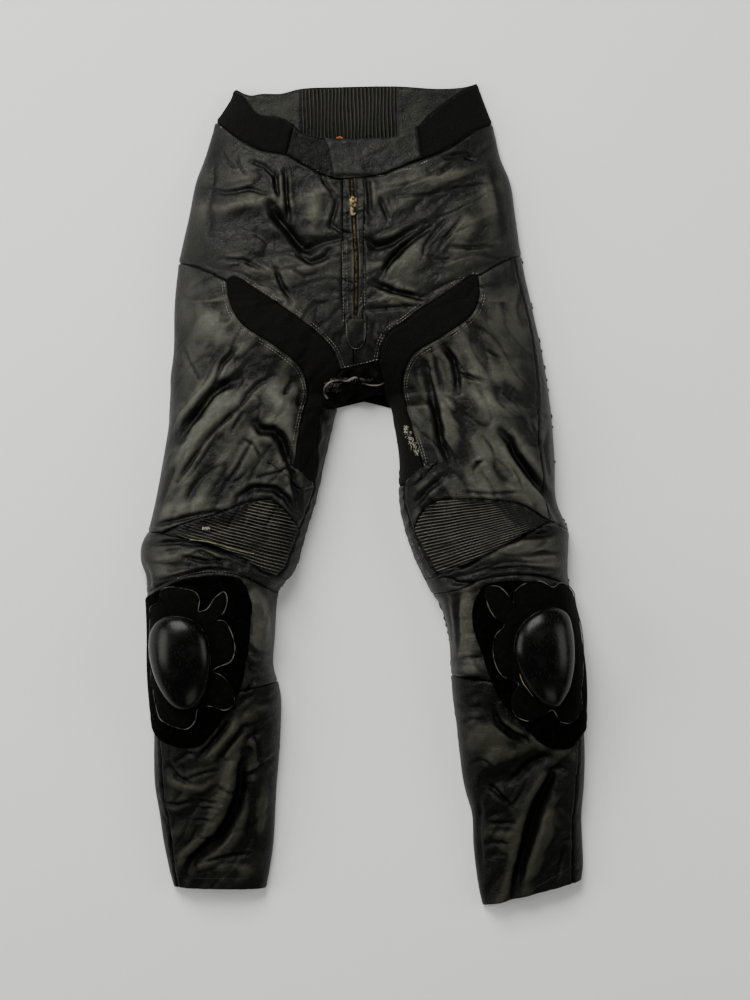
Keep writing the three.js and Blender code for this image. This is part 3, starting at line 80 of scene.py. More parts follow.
FAR_AWAY = 1e9
FOLD_GAIN = 1.3
FOLD_END = 0.22
FOLD_LEAST = 0.35
LIP_HEIGHT = 0.3
LIP_PLACE = 2.1
LIP_REACH = 1.2


class Profile(Enum):
    """How a fold runs across its own line."""

    SOFT = "soft"
    CREASE = "crease"


@dataclass(frozen=True)
class Fold:
    """A fold of the leather, placed on the drawing grid.

    It dies out over FOLD_END of its length at each end. A crease has a lip on each side, whose
    place and reach are shares of the fold's own reach.
    """

    line: tuple[Point, ...]
    reach: float
    depth: float
    profile: Profile = Profile.SOFT

    def height(self, x: Array, y: Array) -> Array:
        """Gives how far the cloth stands out at each place.

        Args:
            x: Places across, in millimetres.
            y: Places up, in millimetres.

        Returns:
            Heights in millimetres, below zero in a trough.
        """
        points = np.array([drawn(*point) for point in self.line])
        steps = np.diff(points, axis=0)
        lengths = np.hypot(*steps.T)
        total = lengths.sum()
        away = np.full(x.shape, FAR_AWAY)
        along = np.zeros(x.shape)
        done = 0.0
        for start, step, length in zip(points, steps, lengths):
            share = np.clip(((x - start[0]) * step[0] + (y - start[1]) * step[1]) / length**2, 0, 1)
            distance = np.hypot(x - start[0] - share * step[0], y - start[1] - share * step[1])
            nearer = distance < away
            along = np.where(nearer, (done + share * length) / total, along)
            away = np.where(nearer, distance, away)
            done += length
        ends = np.clip(np.minimum(along, 1 - along) / FOLD_END, 0, 1)
        strength = FOLD_LEAST + (1 - FOLD_LEAST) * ends * ends * (3 - 2 * ends)
        shape = np.exp(-((away / self.reach) ** 2))
        if self.profile is Profile.CREASE:
            lip = np.exp(-(((away - LIP_PLACE * self.reach) / (LIP_REACH * self.reach)) ** 2))
            shape = shape - LIP_HEIGHT * lip
        return FOLD_GAIN * self.depth * strength * shape


def soft(reach: float, depth: float, *line: Point) -> Fold:
    """A rounded trough, or a ridge where the depth is above zero."""
    return Fold(line, reach, depth)


def crease(reach: float, depth: float, *line: Point) -> Fold:
    """A sharp trough between two raised lips."""
    return Fold(line, reach, -depth, Profile.CREASE)


HIP_FOLDS = (
    soft(9, 3.2, (207, 160), (201, 195), (197, 235)), crease(3.4, 2.2, (216, 158), (212, 195), (209, 235)),
    crease(3.4, 2.6, (488, 165), (497, 200), (501, 240)), soft(8, 2.6, (480, 170), (489, 205), (492, 245)),
    crease(4.5, 5.0, (271, 205), (277, 219), (289, 233), (299, 246), (309, 255)),
    soft(11, -5.0, (275, 212), (292, 236), (306, 252), (326, 256)),
    crease(3.2, 3.6, (300, 259), (312, 266), (322, 263), (331, 256)),
    crease(2.8, 4.0, (277, 178), (278, 190), (281, 204)),
    crease(2.8, 4.5, (286, 176), (287, 198), (290, 223)),
    soft(7, 2.2, (282, 172), (283, 196), (285, 216)),
    crease(2.4, 2.4, (252, 164), (266, 170), (276, 180)),
    crease(2.2, 2.0, (206, 190), (228, 196), (250, 192), (268, 198)),
    soft(12, 3.0, (200, 206), (228, 212), (252, 206), (270, 210)),
    soft(9, -2.4, (204, 216), (232, 220), (258, 214)),
    crease(2.2, 1.8, (222, 262), (246, 264), (266, 274)),
    soft(8, -2.2, (214, 240), (246, 234), (276, 242), (292, 254)),
    crease(2.8, 3.0, (277, 272), (283, 288), (291, 300)),
    crease(2.6, 3.0, (303, 254), (325, 246), (351, 240)),
    crease(2.4, 2.8, (331, 228), (342, 236), (352, 238)),
    crease(2.4, 3.0, (338, 203), (335, 216), (330, 231)),
    soft(7, 2.0, (312, 190), (318, 210), (314, 232)),
    crease(2.2, 2.4, (322, 180), (329, 192), (336, 200)),
    crease(1.8, 1.6, (222, 152), (228, 164), (238, 172)),
    crease(1.8, 1.4, (238, 160), (241, 170), (248, 178)),
    soft(6, -1.6, (196, 182), (208, 196), (220, 206)),
    crease(1.8, 1.4, (292, 272), (306, 280), (318, 278)),
    soft(7, 1.6, (250, 280), (276, 300), (302, 322)),
    crease(4.0, 5.0, (364, 243), (378, 250), (394, 245), (412, 234), (424, 228)),
    soft(10, -4.0, (366, 252), (386, 258), (402, 248)),
    crease(3.4, 5.0, (380, 281), (389, 266), (402, 251), (416, 240), (430, 231)),
    soft(7, -2.2, (430, 231), (442, 214), (458, 200), (482, 186)),
    crease(3.2, 5.0, (374, 286), (394, 295), (420, 301)),
    soft(9, 3.0, (396, 276), (408, 262), (424, 252)),
    crease(2.2, 2.2, (420, 264), (424, 250), (433, 237), (446, 222)),
    crease(2.2, 2.0, (438, 252), (448, 237), (460, 222)),
    soft(10, 2.4, (450, 262), (462, 240), (478, 222)),
    crease(2.0, 1.8, (448, 250), (474, 251), (500, 247)),
    crease(3.0, 3.2, (367, 180), (369, 197), (370, 216)),
    crease(2.4, 2.4, (380, 202), (384, 212), (388, 222)),
    crease(2.2, 2.0, (366, 313), (392, 311), (418, 309)),
    soft(5, 1.6, (372, 304), (396, 302), (422, 306)),
    crease(3.2, 3.6, (446, 161), (464, 157), (476, 164)),
    crease(2.6, 2.8, (478, 158), (487, 149), (498, 143)),
    crease(2.2, 2.2, (438, 178), (452, 166), (470, 160)),
    crease(1.8, 1.4, (394, 200), (428, 199), (458, 191), (488, 186)),
    soft(8, 2.0, (402, 186), (434, 184), (462, 176), (490, 168)),
    crease(2.4, 2.4, (374, 326), (372, 342), (381, 354)),
    crease(1.8, 1.4, (500, 205), (502, 222), (504, 236)),
    crease(1.8, 1.5, (462, 285), (480, 290), (496, 284)),
)
THIGH_FOLDS = (
    crease(5.5, 7.0, (183, 439), (190, 424), (201, 413), (212, 397), (222, 388), (241, 380)),
    crease(2.6, 3.0, (213, 392), (220, 378), (224, 366), (238, 351)),
    crease(2.4, 2.8, (240, 414), (249, 397), (260, 386), (276, 377)),
    crease(2.0, 1.8, (234, 432), (241, 420), (247, 411)),
    crease(5.0, 6.5, (258, 424), (263, 431), (275, 432), (284, 441), (289, 456), (294, 472)),
    crease(3.4, 4.0, (292, 468), (296, 488), (300, 510)),
    crease(3.0, 4.0, (283, 399), (290, 389), (296, 381)),
    crease(2.2, 2.2, (299, 384), (301, 396), (300, 410)),
    soft(9, 3.4, (262, 398), (276, 392), (288, 410), (292, 436)),
    crease(2.6, 2.8, (180, 482), (194, 461), (208, 441), (222, 426), (240, 411)),
    soft(10, 3.2, (190, 456), (206, 432), (226, 408), (246, 392)),
    crease(2.2, 2.2, (224, 492), (240, 468), (249, 451), (256, 440)),
    soft(8, -2.2, (188, 502), (200, 482), (216, 462)),
    crease(2.0, 1.8, (164, 502), (171, 482), (178, 464)),
    crease(2.0, 2.0, (186, 349), (192, 364), (200, 379)),
    soft(9, -2.4, (196, 300), (193, 322), (184, 342)),
    soft(9, 2.4, (206, 312), (214, 330), (232, 350)),
    crease(3.4, 4.2, (240, 498), (256, 488), (276, 489), (288, 498), (297, 515)),
    crease(1.8, 1.6, (260, 478), (278, 473), (292, 466)),
    crease(2.6, 2.8, (150, 527), (172, 522), (198, 515), (228, 510)),
    soft(7, 1.8, (158, 516), (184, 508), (214, 500)),
    crease(1.8, 1.6, (246, 440), (256, 446), (262, 458)),
    crease(3.8, 5.5, (424, 366), (428, 385), (433, 405), (437, 425), (439, 442), (446, 458), (451, 474)),
    crease(3.4, 5.0, (443, 349), (452, 362), (456, 380), (456, 393)),
    soft(8, -3.2, (458, 404), (463, 424), (466, 444)),
    crease(2.2, 2.6, (457, 376), (470, 379), (483, 383)),
    crease(2.4, 2.6, (434, 361), (438, 378), (441, 392)),
    soft(8, 3.0, (446, 396), (448, 420), (454, 448)),
    crease(4.6, 6.5, (499, 433), (508, 442), (514, 456), (523, 468), (534, 482), (547, 498), (557, 516)),
    soft(10, 3.0, (506, 476), (520, 492), (536, 506)),
    crease(1.6, 1.8, (486, 352), (492, 356), (499, 360)),
    crease(2.2, 3.0, (472, 470), (476, 464), (481, 462)),
    crease(3.4, 4.0, (413, 505), (426, 490), (441, 478)),
    crease(1.8, 1.8, (442, 402), (450, 412), (456, 422)),
    crease(1.8, 1.8, (438, 436), (450, 452), (458, 466)),
    crease(3.0, 3.0, (519, 268), (521, 288), (516, 308), (521, 328)),
    crease(2.4, 2.6, (546, 428), (543, 448), (547, 474)),
    crease(1.6, 1.4, (482, 438), (489, 448), (494, 460)),
    soft(8, -1.8, (494, 384), (514, 396), (532, 404)),
    soft(9, 2.0, (478, 398), (500, 412), (524, 420)),
    crease(2.0, 2.0, (510, 468), (516, 478), (520, 488)),
    crease(1.8, 1.6, (462, 492), (490, 494), (520, 492)),
    crease(3.0, 3.0, (322, 412), (328, 430), (322, 452)),
)
KNEE_FOLDS = (
    soft(8, 3.2, (249, 596), (262, 618), (268, 645)), crease(3.4, 2.6, (243, 655), (256, 667), (270, 670)),
    crease(3.4, 2.6, (240, 702), (255, 692), (272, 684)), soft(7, 2.8, (246, 718), (259, 707), (271, 702)),
    crease(3.4, 2.2, (246, 738), (260, 730), (274, 718)), soft(6, 2.2, (455, 640), (462, 655), (474, 662)),
    crease(3.4, 2.0, (452, 700), (464, 706), (480, 704)),
    crease(3.0, 3.4, (150, 544), (182, 541), (212, 545), (242, 557)),
    crease(2.4, 2.4, (184, 555), (206, 560), (230, 560)),
    soft(5, 2.0, (152, 560), (176, 556), (204, 550)),
    crease(2.0, 2.2, (164, 580), (186, 573), (212, 568), (238, 570)),
    crease(2.0, 1.8, (200, 549), (214, 555), (228, 564)),
    crease(3.0, 3.0, (142, 560), (150, 572), (152, 590)),
    crease(3.4, 3.6, (503, 544), (520, 536), (546, 533), (562, 530)),
    crease(2.2, 2.2, (518, 556), (540, 552), (562, 554)),
    crease(1.8, 2.0, (482, 569), (520, 566), (562, 570)),
    soft(6, 2.4, (484, 560), (504, 548), (532, 544)),
    crease(2.6, 2.8, (440, 576), (456, 582), (476, 582)),
    crease(2.0, 2.4, (444, 566), (462, 566), (478, 558)),
    soft(8, 4.0, (250, 588), (262, 604), (269, 624), (270, 642)),
    crease(2.6, 3.0, (248, 640), (258, 652), (272, 650)),
    crease(2.6, 3.0, (248, 668), (262, 660), (276, 664)),
    crease(2.4, 2.6, (246, 694), (256, 678), (274, 672)),
    crease(2.2, 2.4, (262, 702), (272, 696), (280, 690)),
    crease(2.4, 2.6, (254, 600), (262, 620), (266, 612)),
    crease(3.2, 3.6, (450, 677), (464, 677), (480, 676)),
    crease(2.4, 2.4, (454, 658), (466, 655), (480, 656)),
    crease(2.2, 2.4, (446, 596), (450, 620), (453, 648)),
    crease(2.2, 2.4, (457, 592), (457, 624), (458, 652)),
    soft(5, 2.2, (464, 594), (465, 624), (466, 652)),
    soft(6, 3.0, (452, 667), (464, 667), (478, 667)),
)
CALF_FOLDS = (
    crease(
        6.0, 8.0, (184, 880), (193, 862), (206, 849), (220, 836), (229, 821), (237, 805), (242, 788),
        (243, 768), (248, 748),
    ),
    soft(9, 4.0, (212, 822), (224, 800), (232, 776), (238, 752)),
    crease(3.0, 4.0, (201, 754), (213, 742), (225, 728), (233, 714)),
    crease(3.0, 4.0, (220, 758), (230, 742), (246, 724)),
    soft(6, 3.4, (210, 756), (226, 738), (240, 722)),
    crease(2.0, 2.2, (188, 776), (202, 771), (218, 767)),
    soft(4.5, 2.6, (163, 766), (173, 779), (186, 785), (204, 787), (214, 779), (224, 768)),
    crease(2.4, 2.6, (170, 762), (180, 775), (192, 780)),
    crease(2.0, 2.2, (178, 759), (190, 751), (198, 750)),
    crease(2.4, 2.6, (221, 784), (230, 790), (240, 789)),
    crease(1.6, 1.6, (198, 800), (212, 799), (226, 800)),
    crease(1.6, 1.6, (200, 806), (212, 805), (222, 806)),
    crease(1.6, 1.6, (194, 818), (206, 817), (216, 819)),
    crease(1.4, 1.2, (200, 834), (208, 837), (216, 835)),
    crease(3.0, 3.6, (246, 776), (258, 768), (270, 759), (280, 752)),
    soft(5, -2.4, (256, 782), (252, 812), (250, 846)),
    soft(5, 2.4, (265, 778), (263, 806), (259, 838)),
    crease(2.2, 2.2, (256, 722), (259, 744), (262, 764)),
    crease(2.2, 2.4, (202, 863), (222, 857), (250, 854)),
    soft(6, 1.8, (214, 868), (236, 866), (252, 874)),
    crease(2.4, 2.6, (162, 800), (178, 803), (194, 798)),
    crease(2.0, 2.0, (164, 812), (170, 828), (174, 846)),
    crease(1.6, 1.4, (186, 846), (194, 836), (198, 824)),
    crease(
        6.0, 8.0, (512, 892), (516, 875), (521, 860), (527, 840), (532, 820), (538, 801), (546, 785),
        (552, 770), (562, 760),
    ),
    soft(9, 3.6, (528, 880), (536, 852), (544, 824), (552, 800)),
    soft(11, -5.0, (474, 776), (494, 779), (513, 774), (528, 760), (546, 752)),
    crease(3.4, 3.8, (506, 782), (518, 772), (530, 760), (546, 754)),
    soft(9, 3.4, (486, 758), (500, 752), (516, 750)),
    crease(2.6, 3.4, (485, 783), (496, 790), (508, 802)),
    crease(1.8, 2.8, (487, 821), (500, 821), (514, 820)),
    crease(1.8, 2.4, (482, 841), (494, 839), (507, 840)),
    soft(4, 1.8, (486, 832), (500, 832), (512, 833)),
    crease(3.6, 4.4, (489, 703), (497, 721), (511, 732), (529, 738)),
    soft(5, 3.4, (500, 716), (516, 727), (532, 738), (548, 750)),
    soft(12, 3.0, (470, 724), (486, 736), (510, 742)),
    crease(2.0, 2.0, (470, 762), (480, 757), (492, 762)),
    crease(3.0, 3.0, (479, 796), (478, 826), (481, 860)),
    crease(1.8, 1.8, (508, 806), (516, 796), (522, 786)),
    crease(1.8, 1.6, (486, 852), (498, 848), (506, 850)),
    crease(2.2, 2.4, (546, 768), (556, 764), (566, 768)),
    crease(2.2, 2.2, (556, 884), (560, 866), (564, 846)),
    crease(1.6, 1.4, (558, 842), (568, 839), (576, 840)),
    crease(1.8, 1.6, (462, 722), (470, 716), (480, 716)),
)
FOLDS = HIP_FOLDS + THIGH_FOLDS + KNEE_FOLDS + CALF_FOLDS


@dataclass(frozen=True)
class Patch:
    """A place on the drawing grid that is lighter, partly from real rubbing and partly as a painted
    highlight, or darker below zero as painted shade.
    """

    column: float
    row: float
    width: float
    length: float
    amount: float

    def strength(self, x: Array, y: Array) -> Array:
        """Gives the amount at each place.

        Args:
            x: Places across, in millimetres.
            y: Places up, in millimetres.

        Returns:
            The amounts.
        """
        middle = drawn(self.column, self.row)
        over = (x - middle[0]) / (self.width * GRID)
        down = (y - middle[1]) / (self.length * GRID)
        return self.amount * np.exp(-(over**2 + down**2))


# Painted light: lighter places are worn leather and painted highlights, darker ones painted shade in
# creases and hollows.
WEAR_AND_LIGHT_PATCHES = (
    Patch(244, 615, 7, 46, -0.55), Patch(262, 618, 7, 26, 0.30), Patch(466, 622, 6, 32, 0.30),
    Patch(453, 620, 4, 40, -0.45), Patch(500, 400, 50, 90, 0.13), Patch(345, 410, 12, 30, -0.30),
    Patch(250, 670, 14, 12, -0.30), Patch(262, 700, 10, 8, 0.20), Patch(268, 740, 8, 20, -0.25),
    Patch(200, 740, 16, 8, 0.20), Patch(240, 770, 10, 26, 0.20), Patch(470, 745, 12, 20, 0.20),
    Patch(313, 215, 14, 26, 0.30), Patch(214, 215, 22, 10, 0.25), Patch(240, 205, 30, 9, -0.30),
    Patch(300, 248, 16, 12, -0.40), Patch(268, 182, 14, 14, -0.25), Patch(215, 150, 16, 12, -0.10),
    Patch(340, 232, 14, 12, -0.35), Patch(372, 250, 14, 10, -0.35), Patch(412, 234, 22, 10, -0.25),
    Patch(466, 162, 20, 10, -0.35), Patch(350, 190, 10, 12, -0.30), Patch(398, 280, 20, 16, 0.15),
    Patch(450, 225, 26, 22, 0.12), Patch(400, 200, 22, 14, 0.10), Patch(270, 280, 26, 12, 0.15),
    Patch(330, 350, 22, 14, -0.35), Patch(370, 350, 18, 12, -0.30), Patch(250, 240, 26, 8, -0.20),
    Patch(195, 310, 16, 34, 0.22), Patch(222, 330, 20, 20, 0.12), Patch(215, 370, 22, 14, 0.12),
    Patch(210, 412, 14, 18, -0.30), Patch(282, 445, 14, 24, -0.30), Patch(240, 450, 26, 30, 0.14),
    Patch(190, 480, 22, 24, 0.16), Patch(290, 400, 14, 12, -0.10), Patch(292, 500, 14, 14, -0.30),
    Patch(262, 500, 28, 10, -0.15), Patch(225, 520, 40, 6, -0.20), Patch(166, 562, 16, 16, 0.35),
    Patch(222, 574, 34, 12, -0.45), Patch(260, 605, 8, 26, 0.35), Patch(255, 690, 18, 24, -0.30),
    Patch(434, 420, 12, 44, -0.30), Patch(456, 380, 10, 18, -0.25), Patch(470, 360, 26, 14, 0.12),
    Patch(490, 420, 20, 30, 0.14), Patch(532, 470, 20, 22, -0.20), Patch(530, 400, 12, 50, -0.12),
    Patch(505, 320, 16, 24, 0.10), Patch(470, 480, 26, 14, 0.14), Patch(430, 500, 18, 10, -0.30),
    Patch(535, 552, 24, 12, 0.30), Patch(470, 566, 24, 10, -0.25), Patch(465, 620, 8, 34, 0.25),
    Patch(464, 680, 14, 8, -0.35), Patch(480, 730, 20, 22, 0.30), Patch(525, 728, 22, 10, -0.30),
    Patch(228, 745, 16, 18, 0.40), Patch(236, 812, 14, 30, -0.30), Patch(185, 770, 18, 12, 0.15),
    Patch(264, 805, 8, 30, 0.25), Patch(205, 815, 18, 18, 0.10), Patch(225, 872, 30, 10, 0.10),
    Patch(498, 765, 20, 12, -0.30), Patch(534, 820, 12, 44, -0.30), Patch(495, 815, 18, 24, 0.12),
    Patch(535, 745, 20, 12, 0.25), Patch(566, 865, 14, 20, -0.30), Patch(520, 700, 12, 12, 0.10),
    Patch(316, 470, 12, 60, -0.30), Patch(404, 500, 8, 40, -0.25), Patch(300, 555, 12, 26, -0.35),
)


# The same smooth form as the solids
WAIST_Y = 501.0
HEM_Y = -486.0
FORK_Y = 104.0
FORK_BLEND = 126.0
WEB = 0.06
GROUND_CLEARANCE = 2.3
HEM_START = -400.0
HEM_TILT = {Side.LEFT: (6.0, 4.0), Side.RIGHT: (14.0, -17.0)}
SECTIONS = np.array(
    [
        # y, outer left, inner left, inner right, outer right, height
        (501, -156, -8, -8, 138, 22),
        (482, -163, -8, -8, 145, 27),
        (453, -181, -8, -8, 156, 34),
        (438, -186, -8, -8, 160, 38),
        (409, -195, -8, -8, 167, 43),
        (379, -206, -8, -8, 179, 48),
        (339, -214, -8, -8, 185, 54),
        (284, -226, -8, -8, 193, 59),
        (229, -232, -9, -3, 205, 62),
        (174, -233, -12, 8, 217, 63),
        (140, -237, -20, 20, 223, 63),
        (126, -237, -25, 25, 225, 63),
        (104, -238, -33, 33, 228, 63),
        (83, -239, -38, 37, 230, 62),
        (40, -246, -48, 43, 233, 61),
        (-9, -255, -59, 43, 235, 60),
        (-45, -264, -70, 50, 249, 61),
        (-63, -272, -75, 56, 250, 62),
        (-82, -273, -80, 63, 249, 63),
        (-100, -267, -88, 72, 249, 64),
        (-118, -265, -104, 81, 251, 64),
        (-137, -264, -107, 93, 253, 64),
        (-173, -263, -109, 103, 262, 63),
        (-210, -263, -111, 106, 268, 61),
        (-246, -261, -102, 108, 270, 57),
        (-283, -257, -102, 113, 269, 52),
        (-320, -257, -104, 117, 270, 47),
        (-356, -256, -107, 122, 269, 42),
        (-393, -250, -109, 132, 266, 37),
        (-429, -245, -111, 134, 267, 32),
        (-466, -238, -116, 140, 268, 28),
        (-486, -233, -120, 145, 266, 26),
    ],
    float,
)


# Height, length, width and layer of noise of the uneven folds, in millimetres
ROLLS = ((2.6, 62, 21, 1.0), (1.3, 34, 10, 4.0))
DIMPLE_HEIGHT, DIMPLE_SIZE, DIMPLE_LAYER = 0.7, 11, 9.0
# Depth, length, width, layer of noise and sharpness of the uneven creases
FINE_CREASES = ((1.5, 70, 26, 6.0, 0.11), (0.6, 30, 15, 8.0, 0.09))
BAND_FOOT_Y = 392
BAND_CALM = 0.35
# The cloth's pull above each y, on the left and on the right, in radians from X
PULLS = ((230, 0.15, 0.45), (-40, 0.95, -0.95), (-240, 0.1, 0.1))
CALF_PULL = 0.9
RIM_REACH = 1.12
RIM_FADE = 2.2
SIDE_STEP = 0.01
ROW_STEP = 1.5
HALVINGS = 34


def arch(angle: Array) -> Array:
    """Gives the height share of a softly flattened arch at an angle from its top."""
    return np.cos(angle) * np.sqrt(1 + np.sin(angle) ** 2)


def smooth(value: Array, low: float, high: float) -> Array:
    """Runs from 0 at low to 1 at high with level ends."""
    share = np.clip((value - low) / (high - low), 0, 1)
    return share * share * (3 - 2 * share)


class TrouserForm:
    """The smooth front of the laid trousers, and the folds on it.

    A place on it is across, from -1 at the left outline to 1 at the right one, and y. The web
    between the legs takes the middle, and ends at the fork.
    """

    def __init__(self) -> None:
        """Works out the slopes of the outline at each row of the table."""
        self.stations = SECTIONS[:, 0]
        values = SECTIONS[:, 1:]
        last = len(SECTIONS) - 1
        before = np.maximum(np.arange(last + 1) - 1, 0)
        after = np.minimum(np.arange(last + 1) + 1, last)
        rise = values[after] - values[before]
        self.slopes = rise / (self.stations[after] - self.stations[before])[:, None]

    def section(self, y: Array) -> Array:
        """Gives the outline's four places and the height at each y, one column each.

        Args:
            y: Places up, in millimetres.

        Returns:
            The four places and the height, one column each.
        """
        inside = np.clip(y, HEM_Y, WAIST_Y)
        row = np.clip(np.searchsorted(-self.stations, -inside) - 1, 0, len(SECTIONS) - 2)
        start, end = SECTIONS[row, 1:], SECTIONS[row + 1, 1:]
        span = (self.stations[row + 1] - self.stations[row])[..., None]
        share = ((inside - self.stations[row])[..., None]) / span
        lean = self.slopes[row] * share * (1 - share) ** 2
        lean -= self.slopes[row + 1] * (1 - share) * share**2
        return start + (end - start) * share**2 * (3 - 2 * share) + lean * span

    def legs(self, across: Array, y: Array, side: Array) -> tuple[Array, Array, Array]:
        """Gives the leg of each place, and the least and greatest across there.

        Args:
            across: Places from the left outline to the right one.
            y: Places up, in millimetres.
            side: The leg that is meant below the fork.

        Returns:
            The legs, the least and the greatest places.
        """
        below = y <= FORK_Y
        leg = np.where(below, side, np.where(across == 0, side, np.sign(across)))
        low = np.where(below & (side > 0), WEB, -1.0)
        high = np.where(below & (side < 0), -WEB, 1.0)
        return leg, low, high

    def leg_angle(self, across: Array, leg: Array) -> Array:
        """Gives the angle round a leg, from a quarter turn left of its top to one right of it."""
        share = np.where(leg < 0, across + 1, across - WEB) / (1 - WEB)
        return (np.clip(share, 0, 1) - 0.5) * math.pi

    def fork(self, y: Array) -> Array:
        """Gives how far the two legs are parted, from 0 at the hips to 1 at the fork."""
        return np.clip((FORK_Y + FORK_BLEND - y) / FORK_BLEND, 0, 1) ** 3

    def x(self, across: Array, y: Array, leg: Array) -> Array:
        """Gives the x of each place.

        Args:
            across: Places from the left outline to the right one.
            y: Places up, in millimetres.
            leg: The leg of each place.

        Returns:
            Places in millimetres.
        """
        part = self.section(y)
        parted = self.fork(y)
        half = (part[..., 3] - part[..., 0]) / 2
        hip = part[..., 0] + half * (1 + np.sin(across * math.pi / 2))
        web_share = (across + WEB) / (2 * WEB)
        web = part[..., 1] + (part[..., 2] - part[..., 1]) * web_share
        left = np.where(leg < 0, part[..., 0], part[..., 2])
        right = np.where(leg < 0, part[..., 1], part[..., 3])
        round_x = left + (right - left) / 2 * (1 + np.sin(self.leg_angle(across, leg)))
        return hip * (1 - parted) + np.where(np.abs(across) < WEB, web, round_x) * parted

    def body(self, across: Array, y: Array, side: Array) -> tuple[Array, Array]:
        """Gives points on the unfolded cloth, and their share of the full height.

        Args:
            across: Places from the left outline to the right one.
            y: Places up, in millimetres.
            side: The leg of each place.

        Returns:
            Points in millimetres, and shares from 0 to 1.
        """
        leg, low, high = self.legs(across, y, side)
        across = np.clip(across, low, high)
        parted = self.fork(y)
        angle = self.leg_angle(across, leg)
        softness = np.minimum(1, 3 * (1 - parted))
        inner = arch(angle) * (1 - softness) + np.cos(angle) ** 2 * softness
        leg_share = np.where(angle * leg < 0, inner, arch(angle))
        share = arch(across * math.pi / 2) * (1 - parted) + leg_share * parted
        outwards = (1 + leg * np.sin(angle)) / 2
        tilt_outer = np.where(leg < 0, HEM_TILT[Side.LEFT][0], HEM_TILT[Side.RIGHT][0])
        tilt_inner = np.where(leg < 0, HEM_TILT[Side.LEFT][1], HEM_TILT[Side.RIGHT][1])
        lift = smooth(-y, -HEM_START, -HEM_Y) * (tilt_inner + (tilt_outer - tilt_inner) * outwards)
        z = GROUND_CLEARANCE + self.section(y)[..., 4] * share
        return np.stack([self.x(across, y, leg), y + lift, z], axis=-1), share

    def normal(self, across: Array, y: Array, side: Array) -> Array:
        """Gives the outward direction of the unfolded cloth.

        Args:
            across: Places from the left outline to the right one.
            y: Places up, in millimetres.
            side: The leg of each place.

        Returns:
            Directions of length 1.
        """
        leg, low, high = self.legs(across, y - 2, side)
        right = self.body(np.minimum(across + SIDE_STEP, high), y, leg)[0]
        left = self.body(np.maximum(across - SIDE_STEP, low), y, leg)[0]
        upper = self.body(across, y + ROW_STEP, leg)[0]
        lower = self.body(across, y - ROW_STEP, leg)[0]
        out = np.cross(right - left, upper - lower)
        return out / np.linalg.norm(out, axis=-1, keepdims=True)

    def fold(self, x: Array, y: Array) -> Array:
        """Gives the height of the listed folds."""
        return sum((each.height(x, y) for each in FOLDS), np.zeros(np.shape(x)))

    def crumple(self, x: Array, y: Array) -> Array:
        """Gives the small uneven folds between the large ones, long along each part's own pull.

        Args:
            x: Places across, in millimetres.
            y: Places up, in millimetres.

        Returns:
            Heights in millimetres.
        """
        found = []
        for a, b in zip(np.ravel(x), np.ravel(y)):
            turn = self.pull(a, b)
            along = a * math.cos(turn) + b * math.sin(turn)
            over = b * math.cos(turn) - a * math.sin(turn)
            high = 0.0
            for height, length, width, layer in ROLLS:
                high += height * noise.noise(Vector((along / length, over / width, layer)))
            high += DIMPLE_HEIGHT * noise.noise(Vector((a / DIMPLE_SIZE, b / DIMPLE_SIZE, DIMPLE_LAYER)))
            high -= sum(
                depth
                * max(0.0, 1 - abs(noise.noise(Vector((along / length, over / width, layer)))) / sharp)
                for depth, length, width, layer, sharp in FINE_CREASES
            )
            found.append(high * (BAND_CALM if b > BAND_FOOT_Y else 1.0))
        return np.reshape(found, np.shape(x))

    def pull(self, x: float, y: float) -> float:
        """Gives the direction, from X, that the cloth is pulled in at a place.

        Args:
            x: The place across, in millimetres.
            y: The place up, in millimetres.

        Returns:
            The angle in radians.
        """
        for foot, left, right in PULLS:
            if y > foot:
                return left if x < 0 else right
        return CALF_PULL

    def cloth(self, across: Array, y: Array, side: int) -> tuple[Array, Array, Array]:
        """Gives points on the folded cloth, its outward directions and the folds' heights.

        Args:
            across: Places from the left outline to the right one.
            y: Places up, in millimetres.
            side: The one leg of all places.

        Returns:
            The points, the directions and the heights.
        """
        sides = np.full(np.shape(y), float(side))
        point, share = self.body(across, y, sides)
        out = self.normal(across, y, sides)
        high = self.fold(point[..., 0], y) + self.crumple(point[..., 0], y)
        high = high * np.minimum(1, share * RIM_REACH) ** RIM_FADE
        return point + out * high[..., None], out, high

    def across(self, x: Array, y: Array, side: int) -> Array:
        """Finds the place across that has each x, held inside the outline.

        Args:
            x: Places across, in millimetres.
            y: Places up, in millimetres.
            side: The one leg of all places.

        Returns:
            Places from -1 to 1.
        """
        sides = np.full(np.shape(y), float(side))
        _, low, high = self.legs(np.zeros(np.shape(y)), y, sides)
        low, high = low.copy(), high.copy()
        for _ in range(HALVINGS):
            middle = (low + high) / 2
            leg = self.legs(middle, y, sides)[0]
            short = self.x(middle, y, leg) < x
            low, high = np.where(short, middle, low), np.where(short, high, middle)
        return (low + high) / 2


FORM = TrouserForm()
STEPS = 16


def smooth_line(points: Sequence[Point], steps: int = STEPS) -> Array:
    """Draws a smooth line through points, with even steps between each two.

    Args:
        points: The points that the line passes.
        steps: How many steps lie between two points.

    Returns:
        Rows of x and y.
    """
    known = np.array(points, float)
    ends = np.vstack([2 * known[0] - known[1], known, 2 * known[-1] - known[-2]])
    share = np.linspace(0, 1, steps, endpoint=False)[:, None]
    rows = []
    for p0, p1, p2, p3 in zip(ends, ends[1:], ends[2:], ends[3:]):
        d0, d1, d2 = (math.sqrt(math.dist(a, b)) for a, b in ((p0, p1), (p1, p2), (p2, p3)))
        start = ((p1 - p0) / d0 - (p2 - p0) / (d0 + d1) + (p2 - p1) / d1) * d1
        end = ((p2 - p1) / d1 - (p3 - p1) / (d1 + d2) + (p3 - p2) / d2) * d1
        third = -3 * p1 + 3 * p2 - 2 * start - end
        fourth = 2 * p1 - 2 * p2 + start + end
        rows.append(p1 + share * (start + share * (third + share * fourth)))
    return np.vstack([*rows, known[-1:]])


